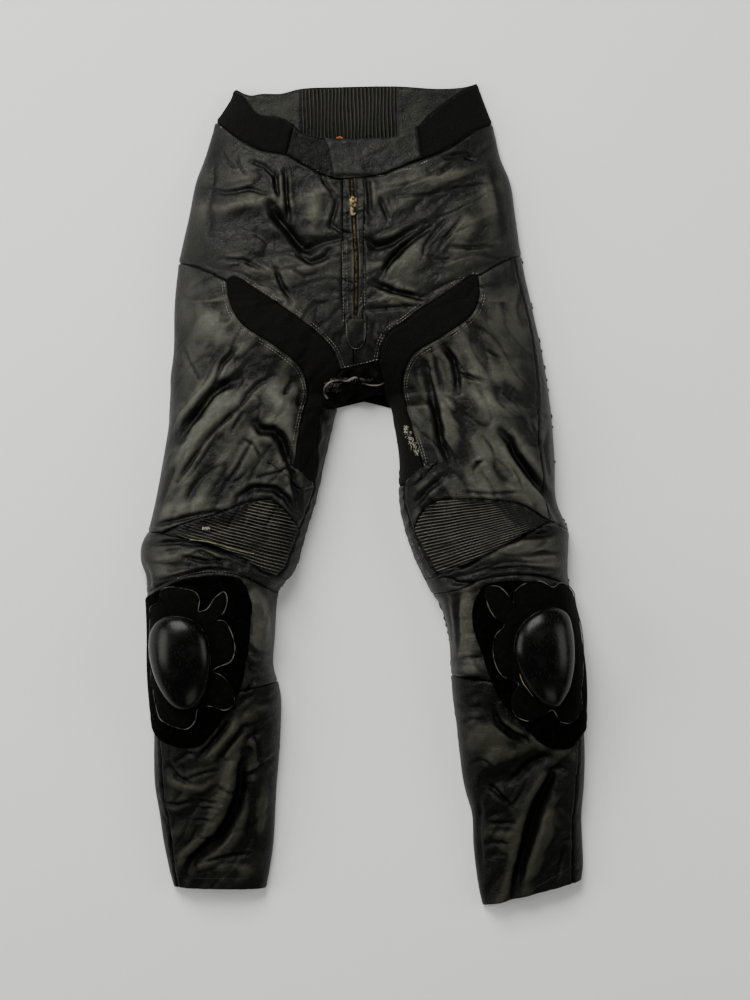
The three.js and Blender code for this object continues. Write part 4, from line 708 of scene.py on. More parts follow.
class Seam:
    """A sewing line through points of the front view."""

    sewn = True

    def __init__(
        self, *points: Point, whole: "Seam | None" = None, span: tuple[int, int] = (0, 0)
    ) -> None:
        """Keeps the points, and the stretch of the whole line that is meant.

        Args:
            points: What the line passes.
            whole: The line that this is a stretch of, if any.
            span: The first and the last point of the stretch.
        """
        self.points = points
        self.whole = whole or self
        self.span = span if whole else (0, len(points) - 1)
        self.found: dict[int, tuple[Array, Array]] = {}

    def between(self, start: Point, end: Point) -> "Seam":
        """Gives the stretch from one of the points to another."""
        span = (self.points.index(start), self.points.index(end))
        return Seam(*self.points, whole=self.whole, span=span)

    def plan(self) -> Array:
        """Gives the stretch as drawn, in rows of x and y.

        Returns:
            Rows of x and y.
        """
        line = smooth_line(self.whole.points)
        first, last = (at * STEPS for at in self.span)
        return line[first : last + 1] if last > first else line[last : first + 1][::-1]

    def marks(self, side: int) -> tuple[Array, Array]:
        """Gives the places along the stretch, and the length up to each.

        Args:
            side: The leg that the seam is on.

        Returns:
            Rows of across and y, and lengths in millimetres.
        """
        if side not in self.found:
            plan = self.plan()
            across = FORM.across(plan[:, 0], plan[:, 1], side)
            sides = np.full(len(plan), float(side))
            spots = FORM.body(across, plan[:, 1], sides)[0]
            lengths = np.linalg.norm(np.diff(spots, axis=0), axis=1)
            self.found[side] = (np.stack([across, plan[:, 1]], -1), np.append(0, np.cumsum(lengths)))
        return self.found[side]

    def length(self, side: int) -> float:
        """Gives the length on the cloth."""
        return float(self.marks(side)[1][-1])

    def at(self, shares: Array, side: int) -> Array:
        """Gives the places at shares of the length.

        Args:
            shares: Shares of the length, from 0 to 1.
            side: The leg that the seam is on.

        Returns:
            Rows of across and y.
        """
        places, lengths = self.marks(side)
        wanted = shares * lengths[-1]
        return np.stack([np.interp(wanted, lengths, places[:, axis]) for axis in (0, 1)], -1)


@dataclass(frozen=True)
class Outline:
    """A stretch of the garment's side, where the cloth turns under."""

    across: float
    from_y: float
    to_y: float
    sewn: bool = False

    def length(self, side: int) -> float:
        """Gives the length along the side."""
        return abs(self.to_y - self.from_y)

    def at(self, shares: Array, side: int) -> Array:
        """Gives the places at shares of the length."""
        y = self.from_y + (self.to_y - self.from_y) * shares
        return np.stack([np.full(len(shares), self.across), y], -1)


@dataclass(frozen=True)
class Hem:
    """The level foot of a leg."""

    start_x: float
    end_x: float
    sewn: bool = False

    def length(self, side: int) -> float:
        """Gives the length across."""
        return abs(self.end_x - self.start_x)

    def at(self, shares: Array, side: int) -> Array:
        """Gives the places at shares of the length."""
        ends = FORM.across(np.array([self.start_x, self.end_x]), np.full(2, HEM_Y), side)
        return np.stack([ends[0] + (ends[1] - ends[0]) * shares, np.full(len(shares), HEM_Y)], -1)


Edge = Sequence[Seam | Outline | Hem]


def sample(edge: Edge, count: int, side: int) -> tuple[Array, Array]:
    """Splits an edge into even steps, with a step's end at each joint.

    Args:
        edge: The lines of the edge, in order.
        count: How many steps there are in all.
        side: The leg that the edge belongs to.

    Returns:
        The places, and for each whether it is sewn.
    """
    lengths = np.array([line.length(side) for line in edge])
    counts = np.maximum(1, np.round(count * lengths / lengths.sum())).astype(int)
    counts[np.argmax(counts)] += count - counts.sum()
    places, sewn = [edge[0].at(np.zeros(1), side)], [float(edge[0].sewn)]
    for line, steps in zip(edge, counts):
        places.append(line.at(np.arange(1, steps + 1) / steps, side))
        sewn += [float(line.sewn)] * steps
    return np.vstack(places), np.array(sewn)


def fill(top: Array, bottom: Array, left: Array, right: Array) -> Array:
    """Fills the inside of four edges, so that the rows and columns run with them.

    Args:
        top: The top edge, from left to right.
        bottom: The foot, from left to right.
        left: The left edge, from the top down.
        right: The right edge, from the top down.

    Returns:
        The places, row by row.
    """
    u = np.linspace(0, 1, len(top))[None, :, None]
    v = np.linspace(0, 1, len(left))[:, None, None]
    down = top[None] * (1 - v) + bottom[None] * v
    over = left[:, None] * (1 - u) + right[:, None] * u
    upper = top[0] * (1 - u) + top[-1] * u
    lower = bottom[0] * (1 - u) + bottom[-1] * u
    return down + over - (upper * (1 - v) + lower * v)


# Seams of the waist and hips
WAIST_CORNER_LEFT = (-157, 494)
WAIST_CORNER_RIGHT = (139, 501)
UNDER_TOP = (-85, 447)
FLAP_TOP_LEFT = (-48, 429)
UNDER_END_TOP = (-23, 427)
STRETCH_END_TOP = (52, 439)
FLAP_TOP_RIGHT = (64, 444)
WAIST_TOP = Seam(
    WAIST_CORNER_LEFT, (-139, 483), (-122, 461), (-99, 456), UNDER_TOP, (-76, 437), FLAP_TOP_LEFT,
    UNDER_END_TOP, (11, 428), (38, 430), STRETCH_END_TOP, FLAP_TOP_RIGHT, (78, 459), (102, 479),
    (121, 492), WAIST_CORNER_RIGHT,
)
SEAM_CORNER_LEFT = (-181, 454)
SEAM_CORNER_RIGHT = (156, 451)
UNDER_FOOT = (-95, 409)
FLAP_FOOT_LEFT = (-37, 380)
FLY_TOP_LEFT = (-25, 379)
FLY_TOP_RIGHT = (0, 381)
STRETCH_END_FOOT = (56, 399)
FLAP_FOOT_RIGHT = (70, 404)
WAIST_SEAM = Seam(
    SEAM_CORNER_LEFT, (-151, 429), (-124, 415), UNDER_FOOT, (-72, 396), (-51, 384), FLAP_FOOT_LEFT,
    FLY_TOP_LEFT, FLY_TOP_RIGHT, (20, 384), (38, 391), STRETCH_END_FOOT, FLAP_FOOT_RIGHT,
    (93, 415), (111, 427), (132, 441), SEAM_CORNER_RIGHT,
)
CREST_LEFT = (-165, 255)
CREST_INNER_LEFT = (-148, 256)
FRONT_FOOT_LEFT = (-28, 148)
CENTRE_FOOT = (-11, 151)
FRONT_FOOT_RIGHT = (18, 158)
CREST_INNER_RIGHT = (120, 255)
CREST_RIGHT = (138, 261)
SIDE_SEAM_TOP = (182, 286)
HIP_SEAM_END_RIGHT = (198, 292)
CROTCH_HEM_RIGHT = (25.6, 119)
HIP_SEAM_LEFT = Seam((-230, 282), (-200, 272), CREST_LEFT)
CREST_SEAM_LEFT = Seam(CREST_LEFT, (-156, 259), CREST_INNER_LEFT)
HIP_SEAM_RIGHT = Seam(CREST_RIGHT, (162, 276), SIDE_SEAM_TOP, HIP_SEAM_END_RIGHT)
CREST_SEAM_RIGHT = Seam(CREST_INNER_RIGHT, (129, 261), CREST_RIGHT)
BEND_LEFT = Seam(
    CREST_INNER_LEFT, (-124, 240), (-102, 226), (-78, 209), (-54, 189), (-38, 171), FRONT_FOOT_LEFT
)
BEND_RIGHT = Seam(
    FRONT_FOOT_RIGHT, (22, 178), (32, 194), (49, 205), (68, 220), (93, 236), CREST_INNER_RIGHT
)
FRONT_FOOT = Seam(FRONT_FOOT_LEFT, CENTRE_FOOT, FRONT_FOOT_RIGHT)
CROTCH_EDGE_RIGHT = Seam(FRONT_FOOT_RIGHT, (22, 139), CROTCH_HEM_RIGHT)
FLY_FOOT_LEFT = (-14, 178)
FLY_FOOT_RIGHT = (-9, 178)
FLY_LEFT = Seam(FLY_TOP_LEFT, (-25, 300), (-25, 225), FLY_FOOT_LEFT, CENTRE_FOOT)
FLY_RIGHT = Seam(FLY_TOP_RIGHT, (0, 300), (0, 225), FLY_FOOT_RIGHT, CENTRE_FOOT)

# Seams of the thighs
STRETCH_OUTER_FOOT_LEFT = (-83, 18)
STRIP_TOP_LEFT = (-50, FORK_Y)
STRETCH_INNER_FOOT_LEFT = (-60, 8)
RIB_INNER_LEFT = (-78, -43)
RIB_FOOT_INNER_LEFT = (-105, -102)
STRETCH_OUTER_LEFT = Seam(
    CREST_LEFT, (-162, 235), (-155, 215), (-143, 200), (-102, 173), (-75, 149), (-67, 120),
    (-72, 95), (-81, 52), STRETCH_OUTER_FOOT_LEFT,
)
STRETCH_FOOT_LEFT = Seam(STRETCH_OUTER_FOOT_LEFT, (-76, 5), STRETCH_INNER_FOOT_LEFT)
CROTCH_EDGE_LEFT = Seam(FRONT_FOOT_LEFT, (-39, 130), STRIP_TOP_LEFT)
STRIP_LEFT = Seam(
    STRIP_TOP_LEFT, (-55, 65), STRETCH_INNER_FOOT_LEFT, (-65, -9), RIB_INNER_LEFT, (-86, -67),
    (-94, -87), RIB_FOOT_INNER_LEFT,
)
STRETCH_OUTER_FOOT_RIGHT = (72, 24)
STRIP_TOP_RIGHT = (49, 9)
RIB_INNER_RIGHT = (60, -43)
RIB_FOOT_INNER_RIGHT = (90, -99)
STRETCH_OUTER_RIGHT = Seam(
    CREST_RIGHT, (139, 235), (133, 219), (121, 206), (93, 187), (59, 165), (46, 134), (51, 101),
    (65, 52), STRETCH_OUTER_FOOT_RIGHT,
)
STRETCH_FOOT_RIGHT = Seam(STRETCH_OUTER_FOOT_RIGHT, (64, 13), STRIP_TOP_RIGHT)
STRIP_RIGHT = Seam(
    STRIP_TOP_RIGHT, (51, -15), RIB_INNER_RIGHT, (69, -63), (82, -87), RIB_FOOT_INNER_RIGHT
)
RIB_OUTER_RIGHT = (224, -34)
SIDE_SEAM_RIGHT = Seam(
    SIDE_SEAM_TOP, (190, 250), (202, 199), (210, 138), (211, 77), (215, 28), RIB_OUTER_RIGHT
)

# Seams of the knees
RIB_OUTER_LEFT = (-243, -48)
RIB_PEAK_OUTER_LEFT = (-122, -8)
RIB_PEAK_INNER_LEFT = (-112, -8)
RIB_TOP_OUTER_LEFT = Seam(
    RIB_PEAK_OUTER_LEFT, (-141, -12), (-163, -20), (-194, -30), (-224, -40), RIB_OUTER_LEFT
)
RIB_PEAK_LEFT = Seam(RIB_PEAK_OUTER_LEFT, RIB_PEAK_INNER_LEFT)
RIB_TOP_INNER_LEFT = Seam(RIB_PEAK_INNER_LEFT, (-96, -20), RIB_INNER_LEFT)
RIB_FOOT_LEFT = Seam(
    RIB_OUTER_LEFT, (-222, -54), (-200, -59), (-170, -69), (-145, -80), (-124, -93),
    RIB_FOOT_INNER_LEFT,
)
RIB_PEAK_OUTER_RIGHT = (105, -8)
RIB_PEAK_INNER_RIGHT = (95, -8)
RIB_TOP_OUTER_RIGHT = Seam(RIB_PEAK_OUTER_RIGHT, (142, -8), (190, -14), RIB_OUTER_RIGHT)
RIB_PEAK_RIGHT = Seam(RIB_PEAK_INNER_RIGHT, RIB_PEAK_OUTER_RIGHT)
RIB_TOP_INNER_RIGHT = Seam(RIB_PEAK_INNER_RIGHT, (74, -17), RIB_INNER_RIGHT)
RIB_FOOT_RIGHT = Seam(
    RIB_FOOT_INNER_RIGHT, (117, -90), (142, -78), (166, -65), (190, -53), RIB_OUTER_RIGHT
)
BAND_FOOT_LEFT = Seam(
    (-275, -128), (-249, -112), (-224, -102), (-200, -96), (-176, -94), (-151, -98), (-124, -110),
    (-90, -131),
)
BAND_FOOT_RIGHT = Seam(
    (80, -124), (113, -116), (135, -106), (154, -101), (178, -98), (215, -100), (239, -108),
    (262, -122),
)
KNEE_SEAM_START_LEFT = (-275, -234)
KNEE_SEAM_OUTER_LEFT = (-256, -236)
KNEE_SEAM_END_LEFT = (-95, -228)
KNEE_SEAM_LEFT = Seam(
    KNEE_SEAM_START_LEFT, KNEE_SEAM_OUTER_LEFT, (-190, -242), (-150, -238), KNEE_SEAM_END_LEFT
)
KNEE_SEAM_START_RIGHT = (95, -222)
KNEE_SEAM_OUTER_RIGHT = (263, -236)
KNEE_SEAM_END_RIGHT = (282, -234)
KNEE_SEAM_RIGHT = Seam(
    KNEE_SEAM_START_RIGHT, (144, -226), (200, -236), KNEE_SEAM_OUTER_RIGHT, KNEE_SEAM_END_RIGHT
)
CALF_FOOT_LEFT = (-227, HEM_Y)
CALF_FOOT_RIGHT = (254, HEM_Y)
CALF_SEAM_LEFT = Seam(
    KNEE_SEAM_OUTER_LEFT, (-250, -283), (-246, -326), (-245, -362), (-238, -393), (-234, -436),
    CALF_FOOT_LEFT,
)
CALF_SEAM_RIGHT = Seam(
    KNEE_SEAM_OUTER_RIGHT, (262, -283), (260, -326), (257, -362), (254, -411), CALF_FOOT_RIGHT
)
STRIP_HEAD = Seam(STRIP_TOP_LEFT, (-30, FORK_Y))
CROTCH_HEM = Seam((-33, FORK_Y), (-12, 111), (8, 117), CROTCH_HEM_RIGHT)
STRIP_FOOT_Y = -112
STRIP_FOOT_LEFT = Seam(RIB_FOOT_INNER_LEFT, (-80, STRIP_FOOT_Y))
STRIP_FOOT_RIGHT = Seam((60, STRIP_FOOT_Y), RIB_FOOT_INNER_RIGHT)
THIGH_FOOT_LEFT = Seam((-280, -46), RIB_OUTER_LEFT)
THIGH_FOOT_RIGHT = Seam(RIB_OUTER_RIGHT, (262, -50))

# Seams of the back
SMOCK_TOP_LEFT = (-77, 495)
SMOCK_TOP_RIGHT = (39, 498)
BACK_TOP = Seam(
    WAIST_CORNER_LEFT, (-139, 487), (-124, 489), (-102, 489), SMOCK_TOP_LEFT, (-29, 497),
    SMOCK_TOP_RIGHT, (93, 495), (123, 497), WAIST_CORNER_RIGHT,
)
BACK_SEAM_LEFT = (-215, 428)
SMOCK_FOOT_LEFT = (-76, 416)
BACK_CENTRE_TOP = (-18, 415)
SMOCK_FOOT_RIGHT = (40, 416)
BACK_SEAM_RIGHT = (185, 428)
BACK_SEAM = Seam(
    BACK_SEAM_LEFT, SMOCK_FOOT_LEFT, BACK_CENTRE_TOP, SMOCK_FOOT_RIGHT, BACK_SEAM_RIGHT
)
SMOCK_LEFT = Seam(SMOCK_TOP_LEFT, SMOCK_FOOT_LEFT)
SMOCK_RIGHT = Seam(SMOCK_TOP_RIGHT, SMOCK_FOOT_RIGHT)
BACK_FORK = (0, 112)
BACK_CENTRE = Seam(BACK_CENTRE_TOP, (-12, 300), (-4, 200), BACK_FORK)
SEAT_WEB_LEFT = Seam((-33, FORK_Y), BACK_FORK)
SEAT_WEB_RIGHT = Seam(BACK_FORK, (33, FORK_Y))
SEAT_FOOT_LEFT = Seam((-250, 122), (-140, 96), (-25, FORK_Y))
SEAT_FOOT_RIGHT = Seam((25, FORK_Y), (140, 96), (240, 122))
BACK_KNEE_TOP_LEFT = Seam((-285, -70), (-180, -60), (-60, -78))
BACK_KNEE_TOP_RIGHT = Seam((45, -78), (160, -60), (262, -70))
BACK_KNEE_FOOT_LEFT = Seam((-280, -215), (-185, -226), (-90, -212))
BACK_KNEE_FOOT_RIGHT = Seam((90, -212), (190, -226), (285, -215))


class Value:
    """A number that varies over a surface, worked with Python's own operators."""

    def __init__(self, finish: "Shader", socket: bpy.types.NodeSocket) -> None:
        """Keeps the socket that the number comes from."""
        self.finish = finish
        self.socket = socket

    def worked(self, operation: str, first: "Value | float", second: "Value | float") -> "Value":
        """Gives a number worked out from two others."""
        return self.finish.node("ShaderNodeMath", {"operation": operation}, {0: first, 1: second})

    def __add__(self, other: "Value | float") -> "Value":
        """Adds."""
        return self.worked("ADD", self, other)

    __radd__ = __add__

    def __sub__(self, other: "Value | float") -> "Value":
        """Subtracts."""
        return self.worked("SUBTRACT", self, other)

    def __rsub__(self, other: float) -> "Value":
        """Subtracts this number from another."""
        return self.worked("SUBTRACT", other, self)

    def __mul__(self, other: "Value | float") -> "Value":
        """Multiplies."""
        return self.worked("MULTIPLY", self, other)

    __rmul__ = __mul__

    def __abs__(self) -> "Value":
        """Drops the sign."""
        return self.worked("ABSOLUTE", self, 0.0)

    def between(self, low: float, high: float, start: float = 0.0, end: float = 1.0) -> "Value":
        """Runs smoothly from start, where this is low, to end, where it is high.

        Args:
            low: Where it begins to change.
            high: Where it has changed.
            start: What it gives up to low.
            end: What it gives from high on.

        Returns:
            The new value.
        """
        return self.finish.node(
            "ShaderNodeMapRange",
            {"interpolation_type": "SMOOTHSTEP"},
            {"Value": self, "From Min": low, "From Max": high, "To Min": start, "To Max": end},
        )


Colour = tuple[float, float, float]


class Shader:
    """A material and its nodes."""

    def __init__(self, name: str) -> None:
        """Makes the material with its one Principled shader.

        Args:
            name: The material's name.
        """
        self.material = bpy.data.materials.new(name)
        self.material.use_nodes = True
        self.tree = self.material.node_tree
        self.surface = self.tree.nodes["Principled BSDF"]
        self.place = self.node("ShaderNodeTexCoord", {}, {}, "Object")

    def node(
        self, kind: str, settings: dict[str, object], sockets: dict[str | int, object],
        output: str | int = 0,
    ) -> Value:
        """Adds a node.

        Args:
            kind: The node's type.
            settings: Its own settings, set first.
            sockets: The value or the link of each input.
            output: The output that is wanted.

        Returns:
            The output.
        """
        made = self.tree.nodes.new(kind)
        for name, value in settings.items():
            setattr(made, name, value)
        for name, value in sockets.items():
            self.feed(made.inputs[name], value)
        return Value(self, made.outputs[output])

    def feed(self, socket: bpy.types.NodeSocket, value: object) -> None:
        """Links a value to a socket, or sets it there.

        Args:
            socket: The input.
            value: A number that varies, a colour or a constant.
        """
        if isinstance(value, Value):
            self.tree.links.new(value.socket, socket)
        elif isinstance(value, tuple) and socket.type == "RGBA":
            socket.default_value = (*value, 1.0)
        else:
            socket.default_value = value

    def noise(self, size: float, detail: float = 3.0, place: Value | None = None) -> Value:
        """Gives soft noise, from 0 to 1, with features of a size in millimetres."""
        sockets = {"Vector": place or self.place, "Scale": 1 / (size * METRES), "Detail": detail}
        return self.node("ShaderNodeTexNoise", {}, sockets)

    def cells(self, size: float, feature: str = "F1") -> Value:
        """Gives the distance to the middle or the edge of cells of a size in millimetres."""
        sockets = {"Vector": self.place, "Scale": 1 / (size * METRES)}
        return self.node("ShaderNodeTexVoronoi", {"feature": feature}, sockets, "Distance")

    def stored(self, name: str) -> Value:
        """Gives a number kept on the mesh."""
        return self.node("ShaderNodeAttribute", {"attribute_name": name}, {}, "Fac")

    def mixed(self, share: Value, first: Value | Colour, second: Value | Colour) -> Value:
        """Mixes two colours."""
        sockets = {0: share, 6: first, 7: second}
        return self.node("ShaderNodeMix", {"data_type": "RGBA"}, sockets, 2)

    def bumped(self, height: Value, depth: float, strength: float = 1.0) -> None:
        """Gives the surface a relief of a depth in millimetres."""
        sockets = {"Height": height, "Distance": depth * METRES, "Strength": strength}
        self.feed(self.surface.inputs["Normal"], self.node("ShaderNodeBump", {}, sockets, "Normal"))

    def set(self, **inputs: object) -> None:
        """Sets or links inputs of the surface, whose names' spaces are underscores here."""
        for name, value in inputs.items():
            self.feed(self.surface.inputs[name.replace("_", " ")], value)


@dataclass(frozen=True)
class LeatherFinish:
    """Worn black leather: grain, creases, and a lighter grey base colour on raised and rubbed places,
    partly real wear and partly painted sheen, with painted shade in the hollows.
    """

    name: str = "worn_leather"
    base: Colour = (0.0005, 0.0005, 0.0004)
    # The colour of raised places: partly real rubbing, partly painted sheen.
    worn: Colour = (0.058, 0.059, 0.046)
    patch: Colour = (0.0066, 0.0069, 0.0051)
    shine: float = 0.22
    slot: str = "leather"

    def material(self) -> bpy.types.Material:
        """Makes the material.

        Returns:
            The material.
        """
        finish = Shader(self.name)
        wear = finish.stored("wear")
        clouds = finish.noise(75, 4)
        mottle = finish.noise(16, 5)
        scuff = finish.noise(4.5, 6).between(0.5, 0.74)
        raised = wear + clouds * 0.6 - 0.36 + mottle * 0.3 - 0.17
        # Painted light: the stored amount makes ridges lighter as painted sheen besides real wear, and
        # hollows darker as painted shade.
        colour = finish.mixed(raised.between(0.24, 0.58), self.base, self.patch)
        colour = finish.mixed(raised.between(0.45, 0.95) * (0.65 + 0.35 * scuff), colour, self.worn)
        crack = 1 - abs(finish.noise(13, 4) - 0.5).between(0.0, 0.04)
        fine = 1 - abs(finish.noise(5.0, 3) - 0.5).between(0.0, 0.07)
        grain = finish.cells(1.4)
        relief = mottle * 0.35 - crack * 0.12 - fine * 0.1 - grain * 0.08
        finish.bumped(relief, 2.0, 0.8)
        finish.set(
            Base_Color=colour,
            Roughness=0.40 + mottle * 0.14 + scuff * 0.08,
            Specular_IOR_Level=self.shine,
        )
        return finish.material


@dataclass(frozen=True)
class StretchFinish:
    """Matte black stretch cloth with a fine rib."""

    name: str = "stretch_cloth"
    slot: str = "stretch"

    def material(self) -> bpy.types.Material:
        """Makes the material.

        Returns:
            The material.
        """
        finish = Shader(self.name)
        cut = finish.node("ShaderNodeUVMap", {"uv_map": "cut"}, {})
        wave = {"wave_type": "BANDS", "bands_direction": "X"}
        sockets = {"Vector": cut, "Scale": 110.0, "Distortion": 0.6}
        ribs = finish.node("ShaderNodeTexWave", wave, sockets, "Fac")
        dust = finish.noise(2.4, 6).between(0.55, 0.8)
        clouds = finish.noise(38, 3)
        colour = finish.mixed(clouds, (0.0010, 0.0010, 0.0009), (0.0028, 0.0028, 0.0024))
        colour = finish.mixed(dust * 0.3, colour, (0.022, 0.022, 0.019))
        finish.bumped(ribs * 0.6 + finish.noise(6, 4) * 0.8, 0.7)
        finish.set(Base_Color=colour, Roughness=0.86 + clouds * 0.12, Specular_IOR_Level=0.12)
        return finish.material


@dataclass(frozen=True)
class LoopFinish:
    """Matte black loop fabric, fuzzy and a little dusty."""

    name: str = "loop_fabric"
    slot: str = "loop"

    def material(self) -> bpy.types.Material:
        """Makes the material.

        Returns:
            The material.
        """
        finish = Shader(self.name)
        tufts = finish.cells(1.8, "SMOOTH_F1")
        fuzz = finish.noise(1.0, 6)
        dust = finish.noise(5, 6).between(0.5, 0.78)
        colour = finish.mixed(dust, (0.0003, 0.0003, 0.0003), (0.0024, 0.0024, 0.0021))
        colour = finish.mixed(fuzz.between(0.62, 0.8) * 0.4, colour, (0.012, 0.012, 0.011))
        finish.bumped(fuzz * 0.7 - tufts * 0.6, 1.3)
        finish.set(Base_Color=colour, Roughness=0.97, Specular_IOR_Level=0.03)
        return finish.material


@dataclass(frozen=True)
class BoundFinish:
    """Dark cloth of the slider backings and of the gusset."""

    name: str = "bound_cloth"
    base: Colour = (0.0003, 0.0003, 0.0003)
    dusty: Colour = (0.0026, 0.0026, 0.0022)
    slot: str = "backing"

    def material(self) -> bpy.types.Material:
        """Makes the material.

        Returns:
            The material.
        """
        finish = Shader(self.name)
        dust = finish.noise(6, 6).between(0.45, 0.75)
        weave = finish.cells(0.9)
        finish.bumped(finish.noise(9, 5) * 1.2 - weave * 0.3, 1.0)
        finish.set(Base_Color=finish.mixed(dust, self.base, self.dusty), Roughness=0.8 + dust * 0.15)
        finish.set(Specular_IOR_Level=0.06)
        return finish.material


@dataclass(frozen=True)
class PlasticFinish:
    """Glossy black plastic with fine scratches and scuffs."""

    name: str = "slider_plastic"
    slot: str = "slider"

    def material(self) -> bpy.types.Material:
        """Makes the material.

        Returns:
            The material.
        """
        finish = Shader(self.name)
        sockets = {"Vector": finish.place, "Rotation": (0.0, 0.0, 0.5), "Scale": (9.0, 1.0, 1.0)}
        drag = finish.node("ShaderNodeMapping", {}, sockets)
        lines = finish.noise(5, 8, drag).between(0.6, 0.72)
        haze = finish.noise(22, 5).between(0.45, 0.75)
        marked = lines * 0.6 + haze * 0.25
        colour = finish.mixed(marked, (0.0006, 0.0007, 0.0007), (0.010, 0.0105, 0.0105))
        finish.bumped(lines * -0.3 + finish.noise(45, 1), 0.3)
        finish.set(Base_Color=colour, Roughness=0.25 + haze * 0.08 + lines * 0.1)
        finish.set(Specular_IOR_Level=0.17)
        return finish.material


@dataclass(frozen=True)
class BrassFinish:
    """Worn brass, brighter where it rubs."""

    name: str = "worn_brass"
    slot: str = "zip"

    def material(self) -> bpy.types.Material:
        """Makes the material.

        Returns:
            The material.
        """
        finish = Shader(self.name)
        tarnish = finish.noise(4.5, 5).between(0.36, 0.6)
        colour = finish.mixed(tarnish, (0.15, 0.115, 0.055), (0.012, 0.010, 0.006))
        finish.bumped(finish.noise(1.1, 4), 0.12)
        finish.set(Base_Color=colour, Metallic=1.0, Roughness=0.26 + tarnish * 0.3)
        return finish.material


@dataclass(frozen=True)
class ThreadFinish:
    """Twisted thread or fibre of one colour, greyed in places."""

    name: str
    colour: Colour
    worn: Colour
    slot: str = "stretch"

    def material(self) -> bpy.types.Material:
        """Makes the material.

        Returns:
            The material.
        """
        finish = Shader(self.name)
        worn = finish.noise(17, 4).between(0.40, 0.58)
        finish.bumped(finish.noise(0.5, 2), 0.15)
        finish.set(Base_Color=finish.mixed(worn, self.colour, self.worn), Roughness=0.75 + worn * 0.1)
        finish.set(Specular_IOR_Level=0.12)
        return finish.material


@dataclass(frozen=True)
class FloorFinish:
    """The plain pale floor."""

    name: str = "pale_floor"
    slot: str = "leather"

    def material(self) -> bpy.types.Material:
        """Makes the material.

        Returns:
            The material.
        """
        finish = Shader(self.name)
        colour = finish.mixed(finish.noise(400, 2), (0.83, 0.835, 0.87), (0.86, 0.865, 0.90))
        finish.set(Base_Color=colour, Roughness=0.9)
        return finish.material


LEATHER = LeatherFinish()
# Painted shade: a darker copy of the leather, used on the lower legs and the inner leg strips.
CALF_LEATHER_PAINTED_SHADE = LeatherFinish(
    "calf_leather", (0.0002, 0.0002, 0.0001), (0.030, 0.031, 0.022), (0.0012, 0.0013, 0.0009), 0.13
)
BACK_LEATHER = LeatherFinish(
    "back_leather", (0.0003, 0.0003, 0.0002), (0.020, 0.0205, 0.016), (0.0022, 0.0023, 0.0018), 0.1
)
THIGH_LEATHER = LeatherFinish(
    "thigh_leather", (0.0005, 0.0005, 0.0004), (0.074, 0.075, 0.061), (0.0230, 0.0236, 0.0190)
)
BAND_LEATHER = LeatherFinish(
    "band_leather", (0.0004, 0.0004, 0.0003), (0.032, 0.033, 0.028), (0.0058, 0.0060, 0.0050), 0.2
)
# Painted light: rib crests get a bright painted highlight colour, and the gaps between them are nearly
# black as painted shade.
RIB_LEATHER_PAINTED_LIGHT = LeatherFinish(
    "rib_leather", (0.0001, 0.0001, 0.0001), (0.125, 0.126, 0.104), (0.0036, 0.0038, 0.0029), 0.2
)
# Painted shade: a darker copy of the leather for the gathered back inside the waist opening, under the
# front.
SMOCK_LEATHER_PAINTED_SHADE = LeatherFinish(
    "smock_leather", (0.0002, 0.0002, 0.0001), (0.036, 0.037, 0.030), (0.0024, 0.0025, 0.0019), 0.15
)
STRETCH = StretchFinish()
LOOP = LoopFinish()
BACKING = BoundFinish()
GUSSET = BoundFinish("gusset_cloth", (0.0008, 0.0008, 0.0008), (0.006, 0.006, 0.0054), "stretch")
PLASTIC = PlasticFinish()
BRASS = BrassFinish()
PALE_THREAD = ThreadFinish("pale_thread", (0.22, 0.22, 0.185), (0.06, 0.06, 0.05))
DARK_THREAD = ThreadFinish("dark_thread", (0.045, 0.045, 0.038), (0.012, 0.012, 0.010))
BINDING = ThreadFinish("edge_binding", (0.085, 0.085, 0.076), (0.0006, 0.0006, 0.0005), "backing")
LINING = ThreadFinish("frayed_lining", (0.13, 0.127, 0.11), (0.03, 0.029, 0.026))
ORANGE = ThreadFinish("orange_lining", (0.20, 0.065, 0.018), (0.12, 0.04, 0.012))
TAN = ThreadFinish("tan_thread", (0.26, 0.215, 0.115), (0.09, 0.075, 0.042))
WELT = ThreadFinish("centre_welt", (0.010, 0.010, 0.008), (0.006, 0.006, 0.005))
CRUMB = ThreadFinish("rubbed_crumbs", (0.055, 0.055, 0.046), (0.008, 0.008, 0.007))
TORN = ThreadFinish("torn_hide", (0.52, 0.50, 0.41), (0.26, 0.25, 0.20))
# Painted highlights: pale specks that stand in for glints along the waist seam.
GLINT = ThreadFinish("bright_thread", (0.48, 0.48, 0.44), (0.12, 0.12, 0.11))
Finish = (
    LeatherFinish | StretchFinish | LoopFinish | BoundFinish | PlasticFinish | BrassFinish
    | ThreadFinish | FloorFinish
)


